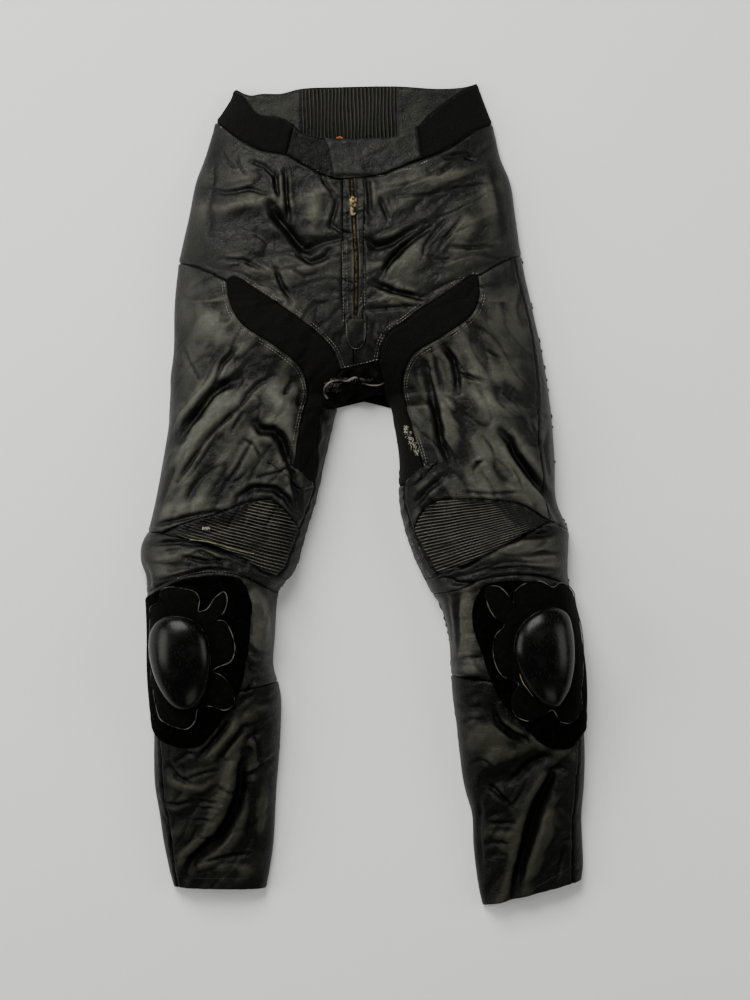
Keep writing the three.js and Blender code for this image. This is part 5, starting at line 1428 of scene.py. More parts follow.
class Workshop:
    """Keeps the materials, and turns finished meshes into pieces that ride on the garment."""

    def __init__(self) -> None:
        """Starts with no materials."""
        self.materials: dict[str, bpy.types.Material] = {}

    def material(self, finish: Finish) -> bpy.types.Material:
        """Gives the one material of a finish.

        Args:
            finish: The finish.

        Returns:
            Its material.
        """
        if finish.name not in self.materials:
            self.materials[finish.name] = finish.material()
        return self.materials[finish.name]

    def piece(
        self, name: str, mesh: bmesh.types.BMesh, finish: Finish, stands_for: str | None = None
    ) -> bpy.types.Object:
        """Makes a piece from a mesh in millimetres.

        Args:
            name: The piece's name.
            mesh: Its mesh, which is freed.
            finish: What it is made of.
            stands_for: The solid that it stands for, if any.

        Returns:
            The piece.
        """
        bmesh.ops.scale(mesh, vec=(METRES,) * 3, verts=mesh.verts)
        data = bpy.data.meshes.new(name)
        mesh.to_mesh(data)
        mesh.free()
        data.shade_smooth()
        made = bpy.data.objects.new(name, data)
        bpy.context.scene.collection.objects.link(made)
        data.materials.append(self.material(finish))
        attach(made, BODY)
        if stands_for:
            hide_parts(stands_for)
        LOG.info("%s: %d faces", name, len(data.polygons))
        return made


SHOP = Workshop()
Relief = Callable[[Array, Array], Array]
MARGIN = 0.4
LEAST_STEPS = 4
LEAST_SHARE = 0.3
TURN_GAIN, TURN_REACH = 1.3, 1.4
ALLOWANCE_HEIGHT, ALLOWANCE_PLACE, ALLOWANCE_REACH = 0.45, 4.2, 2.6
PUCKER_HEIGHT, PUCKER_PLACE, PUCKER_REACH = 0.5, 3.0, 5.0
TUCK_POWER = 8
# Wear and painted light count up from the hollows, in millimetres of height: hollows stay dark as painted
# shade, raised places turn lighter as wear and painted sheen
# Painted shade: places that face sideways are darkened.
STEEP_PAINTED_SHADE = -4.5
LEVEL_ENOUGH = 0.8
# Painted shade: the rows beside each seam are darkened.
SEAM_PAINTED_SHADE = -6.0
MIDDLE_WEAR_AND_LIGHT, WEAR_AND_LIGHT_RANGE = 0.5, 6.0
# How much the folds and the relief count, and what is taken off
PLAIN_WEAR_AND_LIGHT = (1.0, 2.0, 0.0)
# Ribbed panels: the crests of ribs and gathers are lightened as painted highlights, the gaps darkened as
# painted shade.
RIBBED_WEAR_AND_LIGHT = (0.3, 4.4, 2.5)


def nothing(across: Array, down: Array) -> Array:
    """Gives no relief."""
    return np.zeros(np.broadcast(across, down).shape)


def margins(edge: tuple[Array, Array]) -> tuple[Array, Array]:
    """Adds a step close to each end of an edge, for the crisp turn at a seam.

    Args:
        edge: The edge's places, and whether each is sewn.

    Returns:
        The same with two more places.
    """
    points, sewn = edge
    first = points[0] + (points[1] - points[0]) * MARGIN
    last = points[-1] + (points[-2] - points[-1]) * MARGIN
    joined = np.vstack([points[:1], first[None], points[1:-1], last[None], points[-1:]])
    return joined, np.concatenate([sewn[:1], sewn[1:2], sewn[1:-1], sewn[-2:-1], sewn[-1:]])


@dataclass(frozen=True)
class Cut:
    """One piece of cloth, by its four edges as seen from the front."""

    node: str
    side: Side
    top: Edge
    bottom: Edge
    left: Edge
    right: Edge
    finish: Finish = LEATHER
    rests_on: tuple[str, ...] = ()
    thickness: float = 2.0
    lift: float = 0.0
    spacing: float = 2.4
    rows: int = 0
    relief: Relief = nothing
    ribs: "Ribs | None" = None
    turn: float = 1.2
    on_ground: bool = False
    tuck: float = 2.0

    def build(self) -> bpy.types.Object:
        """Makes the piece, with its folds and its turned edges.

        Returns:
            The piece.
        """
        side = int(self.side)
        wide = max(sum(line.length(side) for line in edge) for edge in (self.top, self.bottom))
        long = max(sum(line.length(side) for line in edge) for edge in (self.left, self.right))
        columns = max(LEAST_STEPS, len(self.top), len(self.bottom), round(wide / self.spacing))
        rows = max(LEAST_STEPS, len(self.left), len(self.right), round(long / self.spacing))
        rows = self.rows or rows
        across_edges = [margins(sample(edge, columns, side)) for edge in (self.top, self.bottom)]
        down_edges = [margins(sample(edge, rows, side)) for edge in (self.left, self.right)]
        (top, _), (bottom, _), (left, _), (right, _) = *across_edges, *down_edges
        if self.on_ground:
            points, out, high, flat = self.laid(top, bottom, left, right)
        else:
            places = fill(top, bottom, left, right)
            points, out, high = FORM.cloth(places[..., 0], places[..., 1], side)
            sides = np.full(high.shape, float(side))
            flat = FORM.body(places[..., 0], places[..., 1], sides)[0]
        sewn = np.zeros(high.shape)
        sewn[0], sewn[-1] = across_edges[0][1], across_edges[1][1]
        sewn[:, 0] = np.maximum(sewn[:, 0], down_edges[0][1])
        sewn[:, -1] = np.maximum(sewn[:, -1], down_edges[1][1])
        u = np.linspace(0, 1, high.shape[1])[None, :]
        v = np.linspace(0, 1, high.shape[0])[:, None]
        shaped = self.relief(u, v)
        if self.ribs:
            shaped = shaped + self.ribs.relief(points[..., 0], points[..., 1], u, v)
        rise = shaped + self.seam_relief(points, sewn)
        rise = rise + (self.lift + self.thickness if self.lift else 0.0)
        points = points + out * rise[..., None]
        floor = self.thickness if self.on_ground else GROUND_CLEARANCE
        points[..., 2] = np.maximum(points[..., 2], floor)
        fold_share, relief_share, taken = RIBBED_WEAR_AND_LIGHT if self.rows else PLAIN_WEAR_AND_LIGHT
        # Painted shade: the steeper a place faces sideways, the darker it is painted.
        steep = STEEP_PAINTED_SHADE * np.clip(LEVEL_ENOUGH - out[..., 2], 0, 1)
        # Wear and painted light: raised folds and reliefs turn lighter, partly real rubbing and partly
        # painted sheen; hollows darker as painted shade.
        rubbed_and_painted_light = steep + self.sunk(sewn) + high * fold_share + shaped * relief_share - taken
        made = self.mesh(points, rubbed_and_painted_light)
        self.declare(made, points if self.rows else flat)
        return made

    def laid(self, top: Array, bottom: Array, left: Array, right: Array) -> tuple[Array, ...]:
        """Gives the places of a piece that lies flat on the ground.

        Args:
            top: The top edge.
            bottom: The foot.
            left: The left edge.
            right: The right edge.

        Returns:
            The points, their outward directions, the folds' heights and the flat points.
        """
        edges = []
        for edge in (top, bottom, left, right):
            sides = np.full(len(edge), float(self.side))
            edges.append(FORM.body(edge[:, 0], edge[:, 1], sides)[0][:, :2])
        plan = fill(*edges)
        share = np.linspace(0, 1, plan.shape[1])
        for edge, near, inwards in ((self.left, 1 - share, 1), (self.right, share, -1)):
            if isinstance(edge[0], Outline):
                plan[..., 0] += self.tuck * inwards * near**TUCK_POWER
        high = FORM.crumple(plan[..., 0], plan[..., 1])
        level = np.full(high.shape, self.thickness)
        points = np.concatenate([plan, level[..., None]], axis=-1)
        out = np.zeros(points.shape)
        out[..., 2] = 1
        return points, out, high, points

    def seam_relief(self, points: Array, sewn: Array) -> Array:
        """Gives the turned edge along each seam, the allowance under it and its small puckers.

        Args:
            points: The piece's points.
            sewn: 1 where a point lies on a seam.

        Returns:
            Heights in millimetres.
        """
        rows, columns = np.nonzero(sewn > 0.5)
        if not len(rows):
            return np.zeros(sewn.shape)
        line = points[rows, columns]
        tree = kdtree.KDTree(len(line))
        for index, point in enumerate(line):
            tree.insert(point, index)
        tree.balance()
        found = [tree.find(point) for point in points.reshape(-1, 3)]
        away = np.array([entry[2] for entry in found]).reshape(sewn.shape)
        nearest = np.array([entry[0] for entry in found]).reshape(points.shape)
        x, y = nearest[..., 0], nearest[..., 1]
        turned = -self.turn * TURN_GAIN * np.exp(-((away / TURN_REACH) ** 2))
        allowance = ALLOWANCE_HEIGHT * np.exp(-(((away - ALLOWANCE_PLACE) / ALLOWANCE_REACH) ** 2))
        ripple = np.sin(x / 3.1 + np.sin(y / 11) * 2) * np.sin(y / 2.7)
        pucker = PUCKER_HEIGHT * ripple * np.exp(-(((away - PUCKER_PLACE) / PUCKER_REACH) ** 2))
        return turned + allowance + pucker

    def sunk(self, sewn: Array) -> Array:
        """Gives the painted shade of the rows beside each seam, which are darkened where they sink.

        Args:
            sewn: 1 where a point lies on a seam.

        Returns:
            Amounts of painted shade, zero or below.
        """
        near = sewn.copy()
        near[1:] = np.maximum(near[1:], sewn[:-1])
        near[:-1] = np.maximum(near[:-1], sewn[1:])
        near[:, 1:] = np.maximum(near[:, 1:], sewn[:, :-1])
        near[:, :-1] = np.maximum(near[:, :-1], sewn[:, 1:])
        return SEAM_PAINTED_SHADE * near

    def mesh(self, points: Array, high: Array) -> bpy.types.Object:
        """Lays a grid on the places, and gives it its wall.

        Args:
            points: The piece's points.
            high: How light each point is painted, from its wear and painted light.

        Returns:
            The piece.
        """
        rows, columns = high.shape
        sheet = bmesh.new()
        cut = sheet.loops.layers.uv.new("cut")
        bmesh.ops.create_grid(sheet, x_segments=columns - 1, y_segments=rows - 1, size=1.0)
        wear = sheet.verts.layers.float.new("wear")
        spots = points.reshape(-1, 3)
        # Painted light: the patches add painted highlights and painted shade on top of the wear.
        patched_wear_and_light = sum(patch.strength(points[..., 0], points[..., 1]) for patch in WEAR_AND_LIGHT_PATCHES)
        shares = MIDDLE_WEAR_AND_LIGHT + high / WEAR_AND_LIGHT_RANGE + patched_wear_and_light * (not self.on_ground)
        worn = np.clip(shares, 0, 1).reshape(-1)
        for vertex in sheet.verts:
            vertex.co = spots[vertex.index]
            vertex[wear] = worn[vertex.index]
        for face in sheet.faces:
            for loop in face.loops:
                row, column = divmod(loop.vert.index, columns)
                loop[cut].uv = (column * self.spacing * METRES, row * self.spacing * METRES)
        bmesh.ops.reverse_faces(sheet, faces=sheet.faces)
        made = SHOP.piece(f"{self.node}_cloth", sheet, self.finish, self.node)
        wall = made.modifiers.new("wall", "SOLIDIFY")
        wall.thickness = self.thickness * METRES
        wall.offset = -1.0
        return made

    def declare(self, made: bpy.types.Object, flat: Array) -> None:
        """Logs the size of the cloth that the piece is cut from.

        Args:
            made: The piece.
            flat: Its points on the unfolded cloth.
        """
        over = np.diff(flat, axis=1)
        down = np.diff(flat, axis=0)
        cells = np.cross(over[:-1], down[:, :-1])
        area = float(np.linalg.norm(cells, axis=-1).sum()) * METRES**2
        width = float(np.linalg.norm(over, axis=-1).sum(axis=1).max()) * METRES
        length = float(np.linalg.norm(down, axis=-1).sum(axis=0).max()) * METRES
        share = area / (width * length)
        if share < LEAST_SHARE:
            length = area / (width * LEAST_SHARE)
        list(self.rests_on)
        sizes = (width / METRES, length / METRES, area * 1e4)
        LOG.info("%s: cut %.0f by %.0f mm, %.0f cm2", made.name, *sizes)


def front_point(x: Array, y: Array, side: int) -> tuple[Array, Array]:
    """Gives points on the folded front and its outward directions, for places seen from above.

    Args:
        x: Places across, in millimetres.
        y: Places up, in millimetres.
        side: The leg.

    Returns:
        The points and the directions.
    """
    across = FORM.across(x, y, side)
    points, out, _ = FORM.cloth(across, y, side)
    return points, out


@dataclass(frozen=True)
class Run:
    """A row of stitches beside a seam or along a drawn line."""

    line: Seam
    side: Side
    offset: float = 0.0
    pitch: float = 3.7
    lift: float = 0.3

    def spots(self) -> tuple[Array, Array, Array]:
        """Gives the middle, the run and the outward direction of each stitch.

        Returns:
            The points, the runs and the directions.
        """
        plan = self.line.plan()
        step = np.gradient(plan, axis=0)
        step /= np.linalg.norm(step, axis=1, keepdims=True)
        moved = plan + self.offset * np.stack([-step[:, 1], step[:, 0]], -1)
        lengths = np.append(0, np.cumsum(np.linalg.norm(np.diff(moved, axis=0), axis=1)))
        count = max(2, int(lengths[-1] / self.pitch))
        wanted = (np.arange(count) + 0.5) * lengths[-1] / count
        x, y = (np.interp(wanted, lengths, moved[:, axis]) for axis in (0, 1))
        points, out = front_point(x, y, int(self.side))
        along = np.gradient(points, axis=0)
        along /= np.linalg.norm(along, axis=1, keepdims=True)
        return points + out * self.lift, along, out


def turned_to(point: Array, along: Array, out: Array) -> Matrix:
    """Gives the matrix that puts X along a run and Z outwards at a point.

    Args:
        point: The place.
        along: The run.
        out: The outward direction.

    Returns:
        The matrix.
    """
    x = Vector(along).normalized()
    y = Vector(out).cross(x).normalized()
    z = x.cross(y)
    basis = Matrix((x, y, z)).transposed().to_4x4()
    return Matrix.Translation(Vector(point)) @ basis


def joined(parts: Sequence[bmesh.types.BMesh]) -> bmesh.types.BMesh:
    """Joins meshes, and frees them.

    Args:
        parts: The meshes.

    Returns:
        The whole.
    """
    whole = bmesh.new()
    for part in parts:
        data = bpy.data.meshes.new("part")
        part.to_mesh(data)
        part.free()
        whole.from_mesh(data)
        bpy.data.meshes.remove(data)
    return whole


@dataclass(frozen=True)
class Stitching:
    """Stitches of one thread."""

    name: str
    finish: ThreadFinish
    runs: tuple[Run, ...]
    size: tuple[float, float, float] = (3.3, 0.75, 0.7)

    def build(self) -> bpy.types.Object:
        """Makes every stitch of the runs.

        Returns:
            The piece.
        """
        parts = []
        shape = Matrix.Diagonal((*(value / 2 for value in self.size), 1.0))
        for run in self.runs:
            row = bmesh.new()
            for point, along, out in zip(*run.spots()):
                matrix = turned_to(point, along, out) @ shape
                bmesh.ops.create_icosphere(row, subdivisions=1, radius=1.0, matrix=matrix)
            parts.append(row)
        return SHOP.piece(self.name, joined(parts), self.finish)


def tube(points: Array, radius: float, closed: bool = False, sides: int = 2) -> bmesh.types.BMesh:
    """Makes a round cord through points in millimetres.

    Args:
        points: The middle line.
        radius: Half the thickness.
        closed: Whether the end meets the start.
        sides: How finely the round is drawn.

    Returns:
        The mesh.
    """
    curve = bpy.data.curves.new("line", "CURVE")
    curve.dimensions = "3D"
    curve.bevel_depth = radius
    curve.bevel_resolution = sides
    curve.use_fill_caps = not closed
    spline = curve.splines.new("POLY")
    spline.points.add(len(points) - 1)
    for spot, point in zip(spline.points, points):
        spot.co = (*point, 1.0)
    spline.use_cyclic_u = closed
    holder = bpy.data.objects.new("line", curve)
    mesh = bmesh.new()
    data = bpy.data.meshes.new_from_object(holder)
    mesh.from_mesh(data)
    bpy.data.meshes.remove(data)
    bpy.data.objects.remove(holder)
    bpy.data.curves.remove(curve)
    return mesh


def on_front(line: Sequence[Point], side: Side, lift: float, steps: int = 6) -> Array:
    """Gives a smooth line over the front, through crossings of the drawing grid.

    Args:
        line: The crossings.
        side: The leg.
        lift: The height over the cloth.
        steps: Steps between two crossings.

    Returns:
        Points in millimetres.
    """
    plan = smooth_line([drawn(*point) for point in line], steps)
    points, out = front_point(plan[:, 0], plan[:, 1], int(side))
    return points + out * lift


def grid_seam(*line: Point) -> Seam:
    """Makes a line through crossings of the drawing grid."""
    return Seam(*(drawn(*point) for point in line))


def between(*places: float) -> tuple[Outline, ...]:
    """Makes a stretch of a side outline from across, start and end."""
    return (Outline(*places),)


def faded(share: Array, reach: float, least: float = 0.0) -> Array:
    """Gives 1 inside a piece, and less within a reach of both its ends, which are 0 and 1."""
    return np.clip(np.minimum(share, 1 - share) / reach, least, 1)


@dataclass(frozen=True)
class Ribs:
    """The rolls of a ribbed panel, which fan out from a far place and die out at the outer end."""

    source: Point
    step: float
    outer_end: float
    height: float = 3.0

    def relief(self, x: Array, y: Array, across: Array, down: Array) -> Array:
        """Gives the height of the rolls at each place.

        Args:
            x: Places across, in millimetres.
            y: Places up, in millimetres.
            across: Shares from the left edge to the right one.
            down: Shares from the top edge to the foot.

        Returns:
            Heights in millimetres.
        """
        start = drawn(*self.source)
        angle = np.arctan2(y - start[1], np.abs(x - start[0]))
        wave = np.abs(np.sin(math.pi * (angle / self.step + 0.06 * np.sin(x / 7))))
        out = np.abs(across - self.outer_end)
        ends = np.clip(out / 0.3, 0, 1) * np.clip((1 - out) / 0.04, 0, 1)
        edges = faded(down, 0.04)
        uneven = 0.85 + 0.2 * np.sin(x / 9) * np.sin(y / 13)
        return self.height * (wave**2.2 - 0.4) * ends**0.8 * edges * uneven


LEFT_RIBS = Ribs((-315, 390), 0.0054, 0.0)
RIGHT_RIBS = Ribs((675, 482), 0.0128, 1.0)


@dataclass(frozen=True)
class Gathers:
    """The fine upright ribs of the gathered waist at the back."""

    count: int = 26
    height: float = 1.9

    def relief(self, across: Array, down: Array) -> Array:
        """Gives the height of the ribs.

        Args:
            across: Shares from the left edge to the right one.
            down: Shares from the top edge to the foot.

        Returns:
            Heights in millimetres.
        """
        wander = 0.12 * np.sin(7 * down + 13 * across)
        wave = np.abs(np.sin(math.pi * (self.count * across + wander)))
        return self.height * (wave**1.6 - 0.3) * faded(down, 0.05, 0.2)


@dataclass(frozen=True)
class Waistband:
    """The band round the front of the waist: two stretch lengths, and two leather ends."""

    flap_lift: float = 0.6

    def build(self) -> None:
        """Makes the four pieces."""
        inner_edge = Seam(UNDER_TOP, UNDER_FOOT)
        under = ("back_waist_left",)
        Cut(
            "waist_stretch_left", Side.LEFT, (WAIST_TOP.between(WAIST_CORNER_LEFT, UNDER_TOP),),
            (WAIST_SEAM.between(SEAM_CORNER_LEFT, UNDER_FOOT),),
            between(-1, WAIST_CORNER_LEFT[1], SEAM_CORNER_LEFT[1]), (inner_edge,), STRETCH, under, 1.6,
        ).build()
        Cut(
            "waist_under", Side.LEFT, (WAIST_TOP.between(UNDER_TOP, UNDER_END_TOP),),
            (WAIST_SEAM.between(UNDER_FOOT, FLY_TOP_LEFT),), (inner_edge,),
            (Seam(UNDER_END_TOP, FLY_TOP_LEFT),), BACK_LEATHER, under,
        ).build()
        Cut(
            "waist_stretch_right", Side.RIGHT, (WAIST_TOP.between(STRETCH_END_TOP, WAIST_CORNER_RIGHT),),
            (WAIST_SEAM.between(STRETCH_END_FOOT, SEAM_CORNER_RIGHT),),
            (Seam(STRETCH_END_TOP, STRETCH_END_FOOT),),
            between(1, WAIST_CORNER_RIGHT[1], SEAM_CORNER_RIGHT[1]), STRETCH, ("back_waist_right",), 1.6,
        ).build()
        Cut(
            "waist_flap", Side.RIGHT, (WAIST_TOP.between(FLAP_TOP_LEFT, FLAP_TOP_RIGHT),),
            (WAIST_SEAM.between(FLAP_FOOT_LEFT, FLAP_FOOT_RIGHT),),
            (Seam(FLAP_TOP_LEFT, (-42, 412), FLAP_FOOT_LEFT),), (Seam(FLAP_TOP_RIGHT, FLAP_FOOT_RIGHT),),
            finish=BAND_LEATHER, rests_on=("waist_under_cloth", "waist_stretch_right_cloth"),
            lift=self.flap_lift, turn=0.5,
        ).build()


@dataclass(frozen=True)
class Hips:
    """The two front hip panels."""

    def build(self) -> None:
        """Makes the panels."""
        Cut(
            "hip_left", Side.LEFT, (WAIST_SEAM.between(SEAM_CORNER_LEFT, FLY_TOP_LEFT),),
            (HIP_SEAM_LEFT, CREST_SEAM_LEFT, BEND_LEFT, FRONT_FOOT.between(FRONT_FOOT_LEFT, CENTRE_FOOT)),
            between(-1, SEAM_CORNER_LEFT[1], 282), (FLY_LEFT,), rests_on=("seat_left",),
        ).build()
        Cut(
            "hip_right", Side.RIGHT, (WAIST_SEAM.between(FLY_TOP_RIGHT, SEAM_CORNER_RIGHT),),
            (
                FRONT_FOOT.between(CENTRE_FOOT, FRONT_FOOT_RIGHT), BEND_RIGHT, CREST_SEAM_RIGHT,
                HIP_SEAM_RIGHT,
            ),
            (FLY_RIGHT,), between(1, SEAM_CORNER_RIGHT[1], 292), rests_on=("seat_right",),
        ).build()


@dataclass(frozen=True)
class Fly:
    """The zip of the front, with its tape, teeth and U-shaped tab."""

    path: tuple[Point, ...] = (
        (184, -9.8), (211, -9.8), (255, -9.0), (284, -9.0), (308, -11.0), (351, -13.0), (377, -15.0)
    )
    top: float = 377.0
    foot: float = 184.0
    tooth: tuple[float, float, float] = (2.0, 1.2, 1.4)
    tooth_lift: float = 0.35
    tooth_edge: float = 0.28
    lean: float = 0.55
    pitch: float = 2.5
    width: float = 25.0
    lip: tuple[float, float, float] = (0.9, 3.6, 1.2)
    trough: tuple[float, float] = (1.3, 2.4)

    def build(self) -> None:
        """Makes the tape, the tab and the teeth."""
        Cut(
            "fly_tape", Side.LEFT, (WAIST_SEAM.between(FLY_TOP_LEFT, FLY_TOP_RIGHT),),
            (Seam(FLY_FOOT_LEFT, FLY_FOOT_RIGHT),), (FLY_LEFT.between(FLY_TOP_LEFT, FLY_FOOT_LEFT),),
            (FLY_RIGHT.between(FLY_TOP_RIGHT, FLY_FOOT_RIGHT),), LEATHER, ("seat_left",), 1.6, spacing=1.0,
            relief=self.groove, turn=0.3,
        ).build()
        corners = (-23, 210), (4, 210), (-22, 190), (3, 190)
        Cut(
            "fly_tab", Side.LEFT, (Seam(corners[0], corners[1]),),
            (Seam(corners[2], (-18, 178), (-9, 174), (-1, 178), corners[3]),),
            (Seam(corners[0], corners[2]),), (Seam(corners[1], corners[3]),),
            rests_on=("hip_left_cloth", "hip_right_cloth"), lift=0.6, spacing=1.3, turn=0.7,
        ).build()
        self.teeth()

    def middle(self, y: Array) -> Array:
        """Gives the x of the zip at each y."""
        known = np.array(self.path)
        return np.interp(y, known[:, 0], known[:, 1])

    def groove(self, across: Array, down: Array) -> Array:
        """Gives the open edges of the leather along the zip, and the groove that it lies in.

        Args:
            across: Shares from the left edge to the right one.
            down: Shares from the top edge to the foot.

        Returns:
            Heights in millimetres.
        """
        y = self.top + (FLY_FOOT_LEFT[1] - self.top) * down
        away = np.abs(across * self.width - self.width - self.middle(y)) + 0 * down
        height, place, reach = self.lip
        lip = height * np.exp(-(((away - place) / reach) ** 2))
        depth, half = self.trough
        return (lip - depth * np.exp(-((away / half) ** 4))) * np.clip((1 - down) / 0.06, 0, 1)

    def teeth(self) -> None:
        """Makes the two meshed rows of teeth below and above the slider."""
        y = np.arange(self.foot, self.top, self.pitch)
        parts = []
        for row, shift in ((-1, 0.0), (1, self.pitch / 2)):
            points, out = front_point(self.middle(y) + self.lean * row, y + shift, -1)
            along = np.gradient(points, axis=0)
            mesh = bmesh.new()
            for point, run, up in zip(points, along, out):
                place = turned_to(point + up * self.tooth_lift, np.cross(run, up), up)
                place = place @ Matrix.Diagonal((*self.tooth, 1.0))
                made = bmesh.ops.create_cube(mesh, size=1.0, matrix=place)
                edges = list({edge for vertex in made["verts"] for edge in vertex.link_edges})
                bmesh.ops.bevel(
                    mesh, geom=edges, offset=self.tooth_edge, segments=1, profile=0.5, affect="EDGES",
                    material=-1,
                )
            parts.append(mesh)
        SHOP.piece("fly_teeth", joined(parts), BRASS)


@dataclass(frozen=True)
class Crotch:
    """The two bent stretch panels, the gusset between them and the inner leg strips."""

    def build(self) -> None:
        """Makes the pieces."""
        Cut(
            "crotch_stretch_left", Side.LEFT, (CREST_SEAM_LEFT,), (STRETCH_FOOT_LEFT,),
            (STRETCH_OUTER_LEFT,),
            (BEND_LEFT, CROTCH_EDGE_LEFT, STRIP_LEFT.between(STRIP_TOP_LEFT, STRETCH_INNER_FOOT_LEFT)),
            STRETCH, ("seat_left", "back_thigh_left"), 1.6,
        ).build()
        Cut(
            "crotch_stretch_right", Side.RIGHT, (CREST_SEAM_RIGHT,),
            (STRETCH_FOOT_RIGHT.between(STRIP_TOP_RIGHT, STRETCH_OUTER_FOOT_RIGHT),),
            (
                BEND_RIGHT.between(CREST_INNER_RIGHT, FRONT_FOOT_RIGHT), CROTCH_EDGE_RIGHT,
                Outline(WEB, CROTCH_HEM_RIGHT[1], STRIP_TOP_RIGHT[1]),
            ),
            (STRETCH_OUTER_RIGHT,), STRETCH, ("seat_right", "back_thigh_right"), 1.6,
        ).build()
        Cut(
            "crotch_gusset", Side.LEFT, (FRONT_FOOT,), (STRIP_HEAD, CROTCH_HEM), (CROTCH_EDGE_LEFT,),
            (CROTCH_EDGE_RIGHT,), GUSSET, ("seat_left",), 1.6, spacing=1.6, relief=self.bunched,
        ).build()
        Cut(
            "inner_leg_left", Side.LEFT, (STRIP_HEAD,), (STRIP_FOOT_LEFT,), (STRIP_LEFT,),
            between(-WEB, FORK_Y, STRIP_FOOT_Y), CALF_LEATHER_PAINTED_SHADE, ("back_thigh_left",), relief=self.puckered,
        ).build()
        Cut(
            "inner_leg_right", Side.RIGHT, (Seam((30, STRIP_TOP_RIGHT[1]), STRIP_TOP_RIGHT),),
            (STRIP_FOOT_RIGHT,), between(WEB, STRIP_TOP_RIGHT[1], STRIP_FOOT_Y), (STRIP_RIGHT,),
            CALF_LEATHER_PAINTED_SHADE, ("back_thigh_right",), relief=self.puckered,
        ).build()

    def puckered(self, across: Array, down: Array) -> Array:
        """Gives the small puckers of the inner leg strips."""
        wave = np.sin(60 * down + 3 * np.sin(9 * down) + 4 * across)
        return 0.9 * wave * (faded(across, 0.2) * faded(down, 0.1))

    def bunched(self, across: Array, down: Array) -> Array:
        """Gives the small bunches of the gusset's cloth."""
        waves = np.sin(13 * across + 5 * down) + 0.7 * np.sin(19 * across - 9 * down + 1)
        return 2.0 * waves * (faded(across, 0.15) * faded(down, 0.15))


@dataclass(frozen=True)
class Thighs:
    """The thigh panels and the ribbed panels at their feet."""

    rib_rows: int = 130

    def build(self) -> None:
        """Makes the pieces."""
        Cut(
            "thigh_left", Side.LEFT, (HIP_SEAM_LEFT,),
            (
                THIGH_FOOT_LEFT, RIB_TOP_OUTER_LEFT.between(RIB_OUTER_LEFT, RIB_PEAK_OUTER_LEFT),
                RIB_PEAK_LEFT, RIB_TOP_INNER_LEFT,
            ),
            between(-1, 282, -46),
            (
                STRETCH_OUTER_LEFT, STRETCH_FOOT_LEFT,
                STRIP_LEFT.between(STRETCH_INNER_FOOT_LEFT, RIB_INNER_LEFT),
            ),
            THIGH_LEATHER, ("back_thigh_left",),
        ).build()
        Cut(
            "thigh_right", Side.RIGHT, (HIP_SEAM_RIGHT.between(CREST_RIGHT, SIDE_SEAM_TOP),),
            (
                RIB_TOP_INNER_RIGHT.between(RIB_INNER_RIGHT, RIB_PEAK_INNER_RIGHT), RIB_PEAK_RIGHT,
                RIB_TOP_OUTER_RIGHT,
            ),
            (
                STRETCH_OUTER_RIGHT, STRETCH_FOOT_RIGHT,
                STRIP_RIGHT.between(STRIP_TOP_RIGHT, RIB_INNER_RIGHT),
            ),
            (SIDE_SEAM_RIGHT,), THIGH_LEATHER, ("back_thigh_right",),
        ).build()
        Cut(
            "outer_thigh_right", Side.RIGHT, (HIP_SEAM_RIGHT.between(SIDE_SEAM_TOP, HIP_SEAM_END_RIGHT),),
            (THIGH_FOOT_RIGHT,), (SIDE_SEAM_RIGHT,), between(1, HIP_SEAM_END_RIGHT[1], -50),
            THIGH_LEATHER, ("back_thigh_right",),
        ).build()
        Cut(
            "accordion_left", Side.LEFT, (RIB_PEAK_LEFT,), (RIB_FOOT_LEFT,), (RIB_TOP_OUTER_LEFT,),
            (RIB_TOP_INNER_LEFT, STRIP_LEFT.between(RIB_INNER_LEFT, RIB_FOOT_INNER_LEFT)),
            finish=RIB_LEATHER_PAINTED_LIGHT, rests_on=("back_thigh_left",), spacing=1.3, rows=self.rib_rows,
            ribs=LEFT_RIBS,
        ).build()
        Cut(
            "accordion_right", Side.RIGHT, (RIB_PEAK_RIGHT,), (RIB_FOOT_RIGHT,),
            (RIB_TOP_INNER_RIGHT, STRIP_RIGHT.between(RIB_INNER_RIGHT, RIB_FOOT_INNER_RIGHT)),
            (RIB_TOP_OUTER_RIGHT,), RIB_LEATHER_PAINTED_LIGHT, ("back_thigh_right",), spacing=1.3, rows=self.rib_rows,
            ribs=RIGHT_RIBS,
        ).build()


